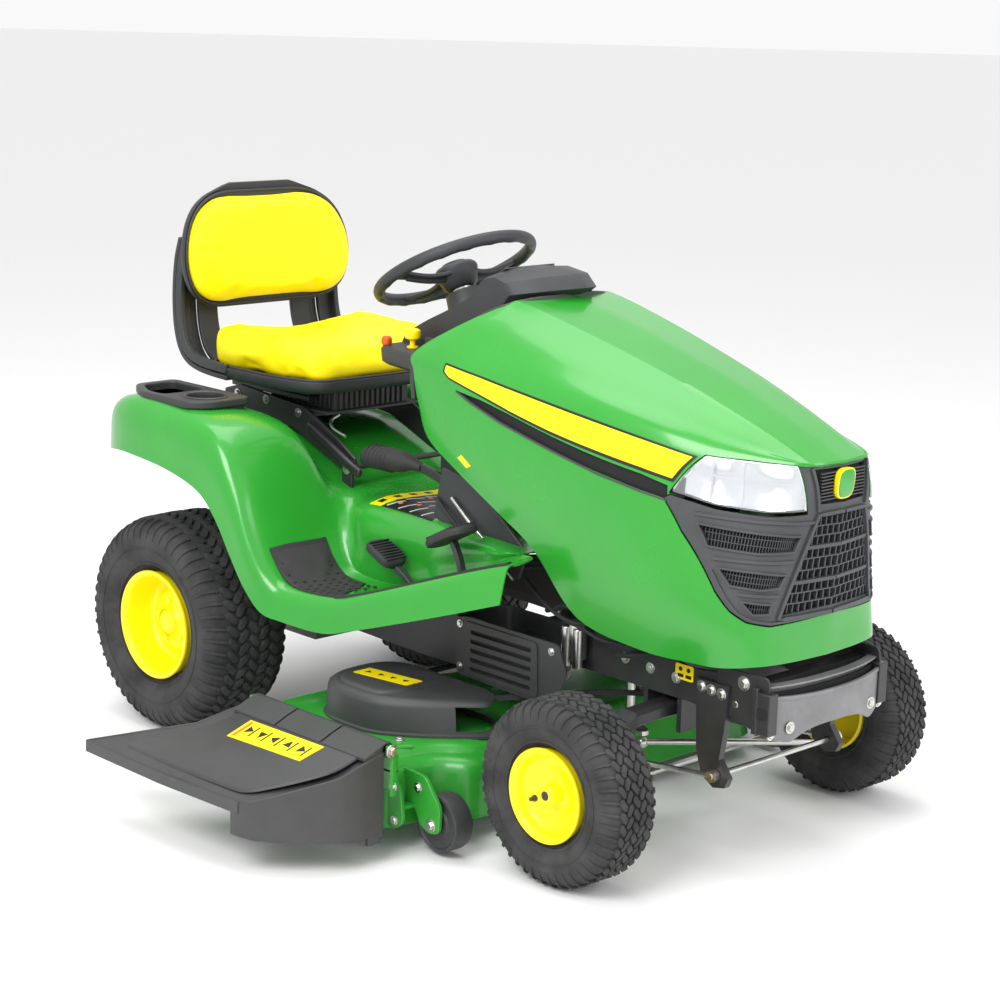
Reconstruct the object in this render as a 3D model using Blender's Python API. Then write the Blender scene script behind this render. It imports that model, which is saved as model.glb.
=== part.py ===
"""Riding lawn mower (lawn tractor) with a 48-inch side-discharge deck.

Tractor frame while modelling: +X forward, +Y to the operator's left, +Z up, ground at z = 0 and
x = 0 at the rear axle. An empty shifts the whole machine so that the middle of its footprint
is at the origin. Every named object is one physical piece; a moving piece has its origin on
its joint's axis.
"""

import math

import bmesh
import bpy
from mathutils import Matrix, Vector

# ---------------------------------------------------------------- driving dimensions (metres)
SHIFT_X = -0.6535  # rear axle to the middle of the footprint
SHIFT_Y = 0.1505
GAP = 0.0003  # running or mating gap between touching pieces
WHEELBASE = 1.282
FRONT_R, FRONT_W, FRONT_TRACK = 0.190, 0.143, 0.4346
FRONT_RIM_R = 0.0924
REAR_R, REAR_W, REAR_TRACK = 0.252, 0.2355, 0.399
REAR_RIM_R = 0.1226
KINGPIN_Y = 0.345
KINGPIN_R = 0.009
SPINDLE_R = 0.0095
ARM_X, ARM_Y = 0.078, -0.045  # drag link arm from the kingpin
TIE_X, TIE_Y = -0.078, -0.020  # tie rod arm from the kingpin
AXLE_PIVOT_Z = 0.292
SECTOR_X = 1.0425
SECTOR_R = 0.2250
PINION_R = 0.0200
PINION_X = SECTOR_X - (SECTOR_R - PINION_R)
RAIL_IN, RAIL_OUT = 0.162, 0.170
RAIL_TOP, RAIL_BOTTOM = 0.420, 0.335
HOOD_T = 0.004
HOOD_PIVOT = (1.540, 0.0, 0.425)
WHEEL_C = (0.460, 0.0, 1.095)  # steering wheel centre
WHEEL_TILT = math.radians(29.3)
WHEEL_R = 0.179
BLADE_R = 0.205
SPINDLES = {"right": (0.68, -0.405), "center": (0.78, 0.0), "left": (0.68, 0.405)}
CRANK_X = 1.130
CHUTE_HINGE = (0.78, -0.640, 0.236)
SEAT_PIVOT = (0.290, 0.0, 0.628)

GREEN = (0.055, 0.36, 0.06)
YELLOW = (1.0, 0.83, 0.0)
BLACK = (0.035, 0.035, 0.038)
GREY = (0.30, 0.30, 0.31)
STEEL = (0.55, 0.55, 0.56)
TYRE = (0.045, 0.045, 0.048)

for old in list(bpy.data.objects):
    bpy.data.objects.remove(old)

ROOT = bpy.data.objects.new("machine_frame", None)
bpy.context.scene.collection.objects.link(ROOT)
ROOT.location = (SHIFT_X, SHIFT_Y, 0.0)

MATERIALS = {}


def material(key, colour, rough=0.5, metal=0.0):
    if key not in MATERIALS:
        made = bpy.data.materials.new(key)
        made.use_nodes = True
        shader = made.node_tree.nodes["Principled BSDF"]
        shader.inputs["Base Color"].default_value = (*colour, 1.0)
        shader.inputs["Roughness"].default_value = rough
        shader.inputs["Metallic"].default_value = metal
        MATERIALS[key] = made
    return MATERIALS[key]


PAINT = ("green_paint", GREEN, 0.3, 0.0)
GLOSS_Y = ("yellow_paint", YELLOW, 0.35, 0.0)
VINYL = ("yellow_vinyl", YELLOW, 0.55, 0.0)
PLASTIC = ("black_plastic", BLACK, 0.55, 0.0)
FRAMEPAINT = ("black_paint", (0.03, 0.03, 0.032), 0.45, 0.0)
PLATE = ("grey_plate", GREY, 0.4, 0.6)
ROD = ("zinc_rod", STEEL, 0.35, 1.0)
CASTING = ("cast_alloy", (0.32, 0.32, 0.33), 0.5, 0.8)
RUBBER = ("tyre_rubber", TYRE, 0.85, 0.0)
LENS = ("lamp_lens", (0.85, 0.87, 0.9), 0.1, 0.0)


# ---------------------------------------------------------------- modelling helpers
def finish(name, bm, look, pivot=(0.0, 0.0, 0.0), smooth=40):
    """Turns a bmesh drawn in the tractor frame into the object NAME with its origin at pivot."""
    bmesh.ops.remove_doubles(bm, verts=bm.verts, dist=1e-6)
    bmesh.ops.triangulate(bm, faces=bm.faces)
    bmesh.ops.recalc_face_normals(bm, faces=bm.faces)
    bm.transform(Matrix.Translation(-Vector(pivot)))
    mesh = bpy.data.meshes.new(name)
    bm.to_mesh(mesh)
    bm.free()
    mesh.shade_smooth()
    mesh.set_sharp_from_angle(angle=math.radians(smooth))
    obj = bpy.data.objects.new(name, mesh)
    bpy.context.scene.collection.objects.link(obj)
    obj.parent = ROOT
    obj.location = pivot
    mesh.materials.append(material(*look))
    return obj


def boolean(base, other, operation="UNION"):
    """Returns the Boolean of two closed bmeshes, with Blender's EXACT solver."""
    objs = []
    for bm in (base, other):
        bmesh.ops.recalc_face_normals(bm, faces=bm.faces)
        mesh = bpy.data.meshes.new("tmp")
        bm.to_mesh(mesh)
        bm.free()
        obj = bpy.data.objects.new("tmp", mesh)
        bpy.context.scene.collection.objects.link(obj)
        objs.append(obj)
    mod = objs[0].modifiers.new("cut", "BOOLEAN")
    mod.object = objs[1]
    mod.operation = operation
    mod.solver = "EXACT"
    bpy.context.view_layer.update()
    graph = bpy.context.evaluated_depsgraph_get()
    result = bmesh.new()
    result.from_mesh(objs[0].evaluated_get(graph).to_mesh())
    for obj in objs:
        bpy.data.objects.remove(obj)
    bmesh.ops.remove_doubles(result, verts=result.verts, dist=1e-6)
    bmesh.ops.dissolve_degenerate(result, edges=result.edges, dist=1e-7)
    return result


def union(first, *rest):
    for other in rest:
        first = boolean(first, other, "UNION")
    return first


def cut(first, *rest):
    for other in rest:
        first = boolean(first, other, "DIFFERENCE")
    return first


def from_rings(rings, closed=False, caps=True):
    """Skin through rings of points, each a closed loop with the same number of points."""
    bm = bmesh.new()
    rows = [[bm.verts.new(p) for p in ring] for ring in rings]
    n = len(rows[0])
    pairs = list(zip(rows, rows[1:]))
    if closed:
        pairs.append((rows[-1], rows[0]))
    for a, b in pairs:
        for i in range(n):
            j = (i + 1) % n
            bm.faces.new((a[i], a[j], b[j], b[i]))
    if caps and not closed:
        bm.faces.new(rows[0][::-1])
        bm.faces.new(rows[-1])
    bmesh.ops.recalc_face_normals(bm, faces=bm.faces)
    return bm


def place(axis, a, b, h):
    return {"x": (h, a, b), "y": (a, h, b), "z": (a, b, h)}[axis]


def prism(points, axis, low, high):
    """A polygon given in the two other coordinates, extruded along axis."""
    rings = [[place(axis, a, b, h) for a, b in points] for h in (low, high)]
    return from_rings(rings)


def box(x0, x1, y0, y1, z0, z1):
    return prism([(x0, y0), (x1, y0), (x1, y1), (x0, y1)], "z", z0, z1)


def circle(cx, cy, r, n, start=0.0):
    return [
        (cx + r * math.cos(start + 2 * math.pi * i / n), cy + r * math.sin(start + 2 * math.pi * i / n))
        for i in range(n)
    ]


def rod(axis, a, b, low, high, r, n=16):
    return prism(circle(a, b, r, n, math.pi / n), axis, low, high)


def turned(profile, axis, centre, n):
    """Revolves a closed profile of (radius, distance along axis), which stays off the axis."""
    rings = []
    for k in range(n):
        t = 2 * math.pi * k / n
        ring = []
        for r, h in profile:
            p = place(axis, r * math.cos(t), r * math.sin(t), h)
            ring.append(tuple(c + d for c, d in zip(centre, p)))
        rings.append(ring)
    return from_rings(rings, closed=True)


def tube(path, r, n=10):
    """A round bar along a path of points, with mitred bends."""
    pts = [Vector(p) for p in path]
    rings = []
    side = None
    for i, p in enumerate(pts):
        a = (pts[i] - pts[i - 1]).normalized() if i else (pts[1] - pts[0]).normalized()
        b = (pts[i + 1] - pts[i]).normalized() if i + 1 < len(pts) else a
        t = (a + b).normalized()
        if side is None:
            ref = Vector((0, 0, 1)) if abs(t.z) < 0.9 else Vector((0, 1, 0))
            side = t.cross(ref).normalized()
        else:
            side = (side - t * side.dot(t)).normalized()
        other = t.cross(side)
        rings.append(
            [p + r * (math.cos(2 * math.pi * k / n) * side + math.sin(2 * math.pi * k / n) * other) for k in range(n)]
        )
    return from_rings(rings)


def bar(path, width, height, up=(0, 0, 1)):
    """A rectangular bar along a path; width is sideways and height is along up."""
    pts = [Vector(p) for p in path]
    up = Vector(up)
    rings = []
    for i, p in enumerate(pts):
        a = pts[min(i + 1, len(pts) - 1)] - pts[max(i - 1, 0)]
        side = a.cross(up).normalized()
        over = side.cross(a).normalized()
        rings.append(
            [p + side * (sx * width / 2) + over * (sz * height / 2) for sx, sz in ((-1, -1), (1, -1), (1, 1), (-1, 1))]
        )
    return from_rings(rings)


def mirrored(bm, plane_y=0.0):
    """A copy of bm on the other side of the machine."""
    other = bm.copy()
    for v in other.verts:
        v.co.y = 2 * plane_y - v.co.y
    bmesh.ops.reverse_faces(other, faces=other.faces)
    return other


# ---------------------------------------------------------------- surfaces given by control rows
def grid_point(rows, u, v):
    """Point of a control grid: rows[v][u], straight between its points."""
    last_v, last_u = len(rows) - 1, len(rows[0]) - 1
    i = min(int(max(v, 0.0)), last_v - 1)
    j = min(int(max(u, 0.0)), last_u - 1)
    fv, fu = v - i, u - j
    a = Vector(rows[i][j]).lerp(Vector(rows[i][j + 1]), fu)
    b = Vector(rows[i + 1][j]).lerp(Vector(rows[i + 1][j + 1]), fu)
    return a.lerp(b, fv)


def grid_normal(rows, u, v):
    last_v, last_u = len(rows) - 1, len(rows[0]) - 1
    h = 0.35
    u = min(max(u, h), last_u - h)
    v = min(max(v, h), last_v - h)
    du = grid_point(rows, u + h, v) - grid_point(rows, u - h, v)
    dv = grid_point(rows, u, v + h) - grid_point(rows, u, v - h)
    return du.cross(dv).normalized()


def slab(us, vs):
    """A flat sheet one unit thick in grid units, divided at us and vs."""
    bm = bmesh.new()
    top = [[bm.verts.new((u, v, 0.0)) for u in us] for v in vs]
    low = [[bm.verts.new((u, v, 1.0)) for u in us] for v in vs]
    nv, nu = len(vs), len(us)
    for i in range(nv - 1):
        for j in range(nu - 1):
            bm.faces.new((top[i][j], top[i][j + 1], top[i + 1][j + 1], top[i + 1][j]))
            bm.faces.new((low[i][j], low[i + 1][j], low[i + 1][j + 1], low[i][j + 1]))
    for i in range(nv - 1):
        bm.faces.new((top[i][0], top[i + 1][0], low[i + 1][0], low[i][0]))
        bm.faces.new((top[i][-1], low[i][-1], low[i + 1][-1], top[i + 1][-1]))
    for j in range(nu - 1):
        bm.faces.new((top[0][j], low[0][j], low[0][j + 1], top[0][j + 1]))
        bm.faces.new((top[-1][j], top[-1][j + 1], low[-1][j + 1], low[-1][j]))
    bmesh.ops.recalc_face_normals(bm, faces=bm.faces)
    return bm


def wrap(bm, rows, outer, inner, sign):
    """Lays a sheet made by slab onto a control surface, outer and inner metres off it."""
    for v in bm.verts:
        u, w, depth = v.co
        p = grid_point(rows, u, w)
        n = grid_normal(rows, u, w) * sign
        off = outer + (inner - outer) * depth
        q = p + n * off
        if abs(p.y) < 1e-7:
            q.y = 0.0
        v.co = q
    return bm


def join_mirror(bm):
    """Mirrors half a sheet and welds it along y = 0, where its rim faces are taken out first."""
    rim = [f for f in bm.faces if all(abs(v.co.y) < 1e-7 for v in f.verts)]
    bmesh.ops.delete(bm, geom=rim, context="FACES")
    other = mirrored(bm)
    mesh = bpy.data.meshes.new("half")
    other.to_mesh(mesh)
    other.free()
    bm.from_mesh(mesh)
    bpy.data.meshes.remove(mesh)
    bmesh.ops.remove_doubles(bm, verts=bm.verts, dist=2e-6)
    bmesh.ops.dissolve_degenerate(bm, edges=bm.edges, dist=1e-7)
    bmesh.ops.recalc_face_normals(bm, faces=bm.faces)
    return bm


# ---------------------------------------------------------------- chassis
def rail(sign):
    outline = [
        (-0.200, 0.350), (-0.200, 0.440), (0.300, 0.440), (0.420, RAIL_TOP), (1.300, RAIL_TOP), (1.345, 0.405),
        (1.500, 0.418), (1.535, 0.416), (1.540, 0.325), (1.470, 0.319), (1.360, RAIL_BOTTOM), (0.420, RAIL_BOTTOM),
        (0.300, 0.350),
    ]
    low, high = sorted((sign * RAIL_IN, sign * RAIL_OUT))
    return prism(outline, "y", low, high)


def hanger(sign):
    """Bracket bolted outside the front of a rail; the draft rod hangs from its foot."""
    outline = [
        (1.385, 0.395), (1.470, 0.395), (1.462, 0.300), (1.452, 0.240), (1.478, 0.205), (1.470, 0.186),
        (1.440, 0.180), (1.408, 0.200), (1.392, 0.250),
    ]
    low, high = sorted((sign * 0.168, sign * 0.184))
    return prism(outline, "y", low, high)


frame = rail(-1)
frame = union(
    frame,
    box(1.500, 1.530, -0.166, 0.166, 0.345, 0.410),
    rail(1),
    box(0.780, 1.075, -0.166, 0.166, 0.3455, 0.3535),
    box(0.975, 1.420, -0.166, 0.166, 0.4120, 0.4190),
    box(0.150, 0.180, -0.166, 0.166, 0.370, 0.430),
    box(1.2300, 1.2420, -0.166, 0.166, 0.262, 0.416),
    box(1.3220, 1.3340, -0.166, 0.166, 0.262, 0.416),
    hanger(-1),
    hanger(1),
    box(-0.199, -0.187, -0.215, 0.215, 0.245, 0.440),
)
frame = cut(
    frame,
    rod("z", SECTOR_X, 0.0, 0.340, 0.360, 0.0116, 16),
    rod("z", PINION_X, 0.0, 0.340, 0.360, 0.0097, 12),
    rod("z", CRANK_X, 0.0, 0.400, 0.430, 0.030, 16),
    rod("x", 0.0, 0.285, -0.210, -0.180, 0.0100, 16),
    rod("y", 1.448, 0.208, -0.200, 0.200, 0.0066, 10),
)
frame = union(frame, rod("x", 0.0, AXLE_PIVOT_Z, 1.2245, 1.3400, 0.0099, 12))
finish("frame", frame, FRAMEPAINT)

# front bumper: a bowed grey plate under the hood's chin
def bow(offset):
    return [
        (1.5415, -0.186), (1.556 + offset, -0.184), (1.578 + offset, -0.130), (1.588 + offset, -0.060), (1.588 + offset, 0.060),
        (1.578 + offset, 0.130), (1.556 + offset, 0.184), (1.5415, 0.186),
    ]


plate = prism(bow(0.004), "z", 0.300, 0.400)
hollow = prism([(1.520, -0.182)] + [(x, y * 0.975) for x, y in bow(-0.002)][1:-1] + [(1.520, 0.182)], "z", 0.290, 0.410)
finish("bumper", cut(plate, hollow, box(1.53, 1.60, -0.115, 0.115, 0.290, 0.315)), PLATE)


# ---------------------------------------------------------------- front axle and steering
def axle_half(s):
    rings = []
    for y, z, wx, hz in (
        (0.0, 0.292, 0.030, 0.050), (0.030, 0.292, 0.030, 0.048), (0.060, 0.300, 0.026, 0.036), (0.180, 0.303, 0.024, 0.034),
        (0.265, 0.300, 0.024, 0.034), (0.305, 0.280, 0.020, 0.036), (0.332, 0.252, 0.018, 0.044),
    ):
        rings.append(
            [(WHEELBASE + a * wx, s * y, z + b * hz / 2) for a, b in ((-1, -0.6), (-0.6, -1), (0.6, -1), (1, -0.6), (1, 0.6), (0.6, 1), (-0.6, 1), (-1, 0.6))]
        )
    return rings


beam = from_rings(axle_half(-1)[::-1] + axle_half(1)[1:])
axle = union(
    beam,
    rod("z", WHEELBASE, -KINGPIN_Y, 0.2060, 0.2820, 0.0165, 16),
    rod("z", WHEELBASE, KINGPIN_Y, 0.2060, 0.2820, 0.0165, 16),
)
axle = cut(
    axle,
    rod("z", WHEELBASE, -KINGPIN_Y, 0.195, 0.320, KINGPIN_R + GAP, 16),
    rod("z", WHEELBASE, KINGPIN_Y, 0.195, 0.320, KINGPIN_R + GAP, 16),
    rod("x", 0.0, AXLE_PIVOT_Z, 1.200, 1.360, 0.0105, 12),
)
axle_pivot = (WHEELBASE, 0.0, AXLE_PIVOT_Z)
finish("front_axle", axle, FRAMEPAINT, axle_pivot)


def knuckle(s):
    """Kingpin, stub axle and steering arms of one front wheel."""
    y = s * KINGPIN_Y
    shaft = rod("z", WHEELBASE, y, 0.1600, 0.2950, KINGPIN_R, 16)
    block = rod("z", WHEELBASE, y, 0.1600, 0.2050, 0.0170, 16)
    low, high = sorted((y, s * (FRONT_TRACK + 0.062)))
    stub = rod("y", WHEELBASE, FRONT_R, low, high, SPINDLE_R, 16)
    rear_arm = bar([(WHEELBASE, y, 0.168), (WHEELBASE + TIE_X, y + s * TIE_Y, 0.168)], 0.024, 0.008)
    rear_end = rod("z", WHEELBASE + TIE_X, y + s * TIE_Y, 0.1640, 0.1720, 0.0140, 12)
    parts = [block, stub, rear_arm, rear_end]
    if s > 0:
        parts.append(bar([(WHEELBASE, y, 0.168), (WHEELBASE + ARM_X, y + ARM_Y, 0.168)], 0.024, 0.008))
        parts.append(rod("z", WHEELBASE + ARM_X, y + ARM_Y, 0.1640, 0.1720, 0.0140, 12))
    cap = rod("z", WHEELBASE, y, 0.2830, 0.2920, 0.0140, 12)
    return union(shaft, *parts, cap)


finish("knuckle_right", knuckle(-1), FRAMEPAINT, (WHEELBASE, -KINGPIN_Y, 0.0))
finish("knuckle_left", knuckle(1), FRAMEPAINT, (WHEELBASE, KINGPIN_Y, 0.0))

TIE_END = (WHEELBASE + TIE_X, KINGPIN_Y + TIE_Y)
tie = tube([(TIE_END[0], -TIE_END[1], 0.130), (TIE_END[0], TIE_END[1], 0.130)], 0.0065, 8)
tie = union(
    tie,
    rod("z", TIE_END[0], -TIE_END[1], 0.1190, 0.1635, 0.0125, 10),
    rod("z", TIE_END[0], TIE_END[1], 0.1190, 0.1635, 0.0125, 10),
)
finish("tie_rod", tie, ROD, (TIE_END[0], -TIE_END[1], 0.130))

ARM_END = (WHEELBASE + ARM_X, KINGPIN_Y + ARM_Y)
PITMAN_END = (SECTOR_X + ARM_X, ARM_Y)
link = tube([(PITMAN_END[0], PITMAN_END[1], 0.163), (ARM_END[0], ARM_END[1], 0.150)], 0.0065, 10)
link = union(
    link,
    rod("z", PITMAN_END[0], PITMAN_END[1], 0.1520, 0.1740, 0.0125, 12),
    rod("z", ARM_END[0], ARM_END[1], 0.1390, 0.1635, 0.0125, 12),
)
finish("drag_link", link, ROD, (ARM_END[0], ARM_END[1], 0.150))


def polar(cx, cy, r, angle):
    return (cx + r * math.cos(angle), cy + r * math.sin(angle))


def steering_sector():
    """Fan-shaped plate whose inner rim carries the teeth that the pinion drives."""
    half = math.radians(40.5)
    outer = [polar(SECTOR_X, 0, SECTOR_R + 0.020, math.pi - half + 2 * half * k / 14) for k in range(15)]
    outer += [(SECTOR_X + 0.010, -0.024), (SECTOR_X + 0.022, 0.0), (SECTOR_X + 0.010, 0.024)]
    plate = prism(outer, "z", 0.3180, 0.3270)
    window = []
    count = 25
    for k in range(count * 4):
        a = math.pi - math.radians(37.5) + math.radians(75) * k / (count * 4 - 1)
        r = SECTOR_R + (0.0040 if k % 4 in (1, 2) else 0.0003)
        window.append(polar(SECTOR_X, 0, r, a))
    window += [polar(SECTOR_X, 0, 0.060, math.pi + math.radians(20)), polar(SECTOR_X, 0, 0.060, math.pi - math.radians(20))]
    plate = cut(plate, prism(window, "z", 0.310, 0.335))
    shaft = rod("z", SECTOR_X, 0.0, 0.1800, 0.3700, 0.0110, 16)
    arm = bar([(SECTOR_X, 0.0, 0.185), (PITMAN_END[0], PITMAN_END[1], 0.185)], 0.026, 0.009)
    end = rod("z", PITMAN_END[0], PITMAN_END[1], 0.1805, 0.1895, 0.0150, 12)
    return union(plate, shaft, arm, end)


finish("steering_sector", steering_sector(), ROD, (SECTOR_X, 0.0, 0.0))

teeth = []
for k in range(8 * 4):
    teeth.append(polar(PINION_X, 0, PINION_R - (0.0045 if k % 4 in (0, 3) else 0.0005), 2 * math.pi * k / 32))
pinion = union(prism(teeth, "z", 0.3150, 0.3300), rod("z", PINION_X, 0.0, 0.3110, 0.3950, 0.0090, 12), rod("z", PINION_X, 0, 0.374, 0.3945, 0.0150, 12))
finish("steering_pinion", pinion, ROD, (PINION_X, 0.0, 0.0))


def steering_wheel():
    n, m = 24, 6
    rings = []
    for k in range(n):
        t = 2 * math.pi * k / n
        ring = []
        for j in range(m):
            p = 2 * math.pi * j / m
            r = WHEEL_R + 0.0125 * math.cos(p)
            ring.append((r * math.cos(t), r * math.sin(t), 0.0145 * math.sin(p)))
        rings.append(ring)
    rim = from_rings(rings, closed=True)
    hub = turned([(0.002, -0.045), (0.040, -0.045), (0.055, -0.020), (0.050, 0.002), (0.002, 0.006)], "z", (0, 0, 0), 14)
    hub = rod("z", 0, 0, -0.048, 0.004, 0.048, 14)
    spokes = []
    for deg in (-90, 90, 180):
        a = math.radians(deg)
        c, s = math.cos(a), math.sin(a)
        spokes.append(bar([(0.03 * c, 0.03 * s, -0.018), (0.10 * c, 0.10 * s, -0.014), (0.176 * c, 0.176 * s, -0.002)], 0.030, 0.011))
    length = (WHEEL_C[2] - 0.452) / math.cos(WHEEL_TILT)
    shaft = rod("z", 0, 0, -length, -0.040, 0.0100, 12)
    yoke = rod("z", 0, 0, -length - 0.006, -length + 0.030, 0.0150, 12)
    bm = union(rim, hub, *spokes, shaft, yoke)
    turn = Matrix.Rotation(-WHEEL_TILT, 4, "Y")
    bm.transform(Matrix.Translation(Vector(WHEEL_C)) @ turn)
    return bm


finish("steering_wheel", steering_wheel(), PLASTIC, WHEEL_C)


# ---------------------------------------------------------------- wheels
def tyre(r, w, rim_r, y, n):
    h = w / 2
    profile = [
        (rim_r + 0.0006, -h * 0.70), (rim_r + (r - rim_r) * 0.30, -h * 0.97), (r - 0.030, -h * 0.97), (r - 0.006, -h * 0.74),
        (r, -h * 0.42), (r, h * 0.42), (r - 0.006, h * 0.74), (r - 0.030, h * 0.97), (rim_r + (r - rim_r) * 0.30, h * 0.97), (rim_r + 0.0006, h * 0.70),
    ]
    # a flat facet faces the ground, at the tyre's radius
    flat = 1.0 / math.cos(math.pi / n)
    profile = [(a * flat, b) for a, b in profile]
    bm = turned(profile, "y", (0, 0, 0), n)
    bm.transform(Matrix.Rotation(math.pi / 2 + math.pi / n, 4, "Y"))
    return bm, y


def wheel_rim(rim_r, w, hub_r, hub_len, disc_off, s):
    """Pressed rim: an open bowl towards the outside (s) with its disc and a hub tube."""
    h = w / 2
    f = s
    profile = [
        (hub_r + 0.011, f * (disc_off - hub_len)), (hub_r + 0.011, f * (disc_off - 0.006)), (rim_r * 0.78, f * (disc_off - 0.016)), (rim_r * 0.88, -f * h * 0.66),
        (rim_r * 0.99, -f * h * 0.68), (rim_r * 0.93, -f * h * 0.50), (rim_r * 0.93, f * h * 0.50), (rim_r * 0.995, f * h * 0.66), (rim_r * 0.99, f * h * 0.84),
        (rim_r * 0.93, f * h * 0.82), (rim_r * 0.84, f * h * 0.50), (rim_r * 0.76, f * disc_off), (hub_r + 0.014, f * (disc_off + 0.008)), (hub_r, f * (disc_off + 0.012)),
        (hub_r, f * (disc_off - hub_len)),
    ]
    return profile


for side, s in (("right", -1), ("left", 1)):
    centre = (WHEELBASE, s * FRONT_TRACK, FRONT_R)
    body, _ = tyre(FRONT_R, FRONT_W, FRONT_RIM_R, 0, 26)
    body.transform(Matrix.Translation(Vector(centre)))
    finish("tyre_front_" + side, body, RUBBER, centre, 30)
    profile = wheel_rim(FRONT_RIM_R, FRONT_W, SPINDLE_R + 0.0005, 0.055, 0.030, s)
    finish("rim_front_" + side, turned(profile, "y", centre, 18), GLOSS_Y, centre, 30)
    centre = (0.0, s * REAR_TRACK, REAR_R)
    body, _ = tyre(REAR_R, REAR_W, REAR_RIM_R, 0, 28)
    body.transform(Matrix.Translation(Vector(centre)))
    finish("tyre_rear_" + side, body, RUBBER, centre, 30)
    profile = wheel_rim(REAR_RIM_R, REAR_W, 0.0100, 0.080, 0.035, s)
    bm = turned(profile, "y", centre, 20)
    low, high = sorted((s * 0.150, s * (REAR_TRACK + 0.047)))
    bm = union(bm, rod("y", 0.0, REAR_R, low, high, 0.0125, 16))
    finish("rim_rear_" + side, bm, GLOSS_Y, centre, 30)

# ---------------------------------------------------------------- transaxle, engine, tank, battery
case = union(
    box(-0.110, 0.110, -0.105, 0.105, 0.170, 0.325),
    rod("y", 0.0, REAR_R, -0.255, 0.255, 0.034, 16),
    box(-0.060, 0.095, -0.158, 0.158, 0.2900, 0.3440),
)
case = cut(case, rod("y", 0.0, REAR_R, -0.300, -0.145, 0.0135, 16), rod("y", 0.0, REAR_R, 0.145, 0.300, 0.0135, 16), rod("z", 0.050, 0.0, 0.300, 0.400, 0.0100, 12))
finish("transaxle_case", case, CASTING)

fan = union(
    rod("z", 0.050, 0.0, 0.3100, 0.4100, 0.0090, 12),
    turned([(0.006, 0.372), (0.056, 0.372), (0.048, 0.382), (0.056, 0.392), (0.006, 0.392)], "z", (0.050, 0, 0), 18),
    rod("z", 0.050, 0.0, 0.3925, 0.4060, 0.0300, 12),
    *[box(0.050 - 0.070, 0.050 + 0.070, -0.006, 0.006, 0.3915, 0.4050)],
    *[box(0.050 - 0.006, 0.050 + 0.006, -0.070, 0.070, 0.3915, 0.4050)],
)
finish("transaxle_pulley", fan, CASTING, (0.050, 0.0, 0.0))

block = union(
    rod("z", CRANK_X, 0.0, 0.4193, 0.6000, 0.118, 20),
    prism([(CRANK_X + 0.02, -0.10), (CRANK_X + 0.09, -0.02), (CRANK_X + 0.215, -0.115), (CRANK_X + 0.145, -0.195)], "z", 0.455, 0.585),
    prism([(CRANK_X + 0.02, 0.10), (CRANK_X + 0.09, 0.02), (CRANK_X + 0.215, 0.115), (CRANK_X + 0.145, 0.195)], "z", 0.455, 0.585),
    rod("z", CRANK_X - 0.010, 0.0, 0.5900, 0.7100, 0.150, 24),
    box(CRANK_X - 0.110, CRANK_X + 0.150, -0.100, 0.100, 0.690, 0.775),
    rod("x", -0.130, 0.480, CRANK_X - 0.030, CRANK_X + 0.060, 0.038, 14),
)
block = cut(block, rod("z", CRANK_X, 0.0, 0.400, 0.470, 0.0180, 16))
finish("engine_block", block, CASTING)

pulley = union(
    rod("z", CRANK_X, 0.0, 0.2550, 0.4600, 0.0127, 16),
    turned([(0.008, 0.375), (0.052, 0.375), (0.043, 0.385), (0.052, 0.395), (0.008, 0.395)], "z", (CRANK_X, 0, 0), 18),
    turned([(0.008, 0.268), (0.056, 0.268), (0.056, 0.2705), (0.0465, 0.2705), (0.0465, 0.2875), (0.062, 0.2875), (0.062, 0.335), (0.008, 0.335)], "z", (CRANK_X, 0, 0), 18),
)
finish("engine_pulley", pulley, ROD, (CRANK_X, 0.0, 0.0))

muffler = union(rod("y", 1.445, 0.500, -0.135, 0.135, 0.050, 18), rod("x", -0.150, 0.472, 1.415, 1.475, 0.014, 12), tube([(1.445, -0.120, 0.500), (1.445, -0.148, 0.490), (1.445, -0.150, 0.472)], 0.014, 10))
finish("muffler", muffler, CASTING)
finish("battery", union(box(-0.130, 0.040, -0.095, 0.095, 0.470, 0.640), rod("z", -0.110, 0.070, 0.638, 0.655, 0.008, 10), rod("z", -0.110, -0.070, 0.638, 0.655, 0.008, 10)), PLASTIC)

tank = union(box(-0.190, 0.100, 0.250, 0.440, 0.560, 0.670), rod("z", -0.120, 0.370, 0.660, 0.7920, 0.026, 16))
finish("fuel_tank", tank, PLASTIC)
cap = cut(rod("z", -0.120, 0.370, 0.7860, 0.8160, 0.040, 16), rod("z", -0.120, 0.370, 0.7700, 0.8000, 0.0300, 16))
finish("fuel_cap", cap, PLASTIC, (-0.120, 0.370, 0.0))

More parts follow.
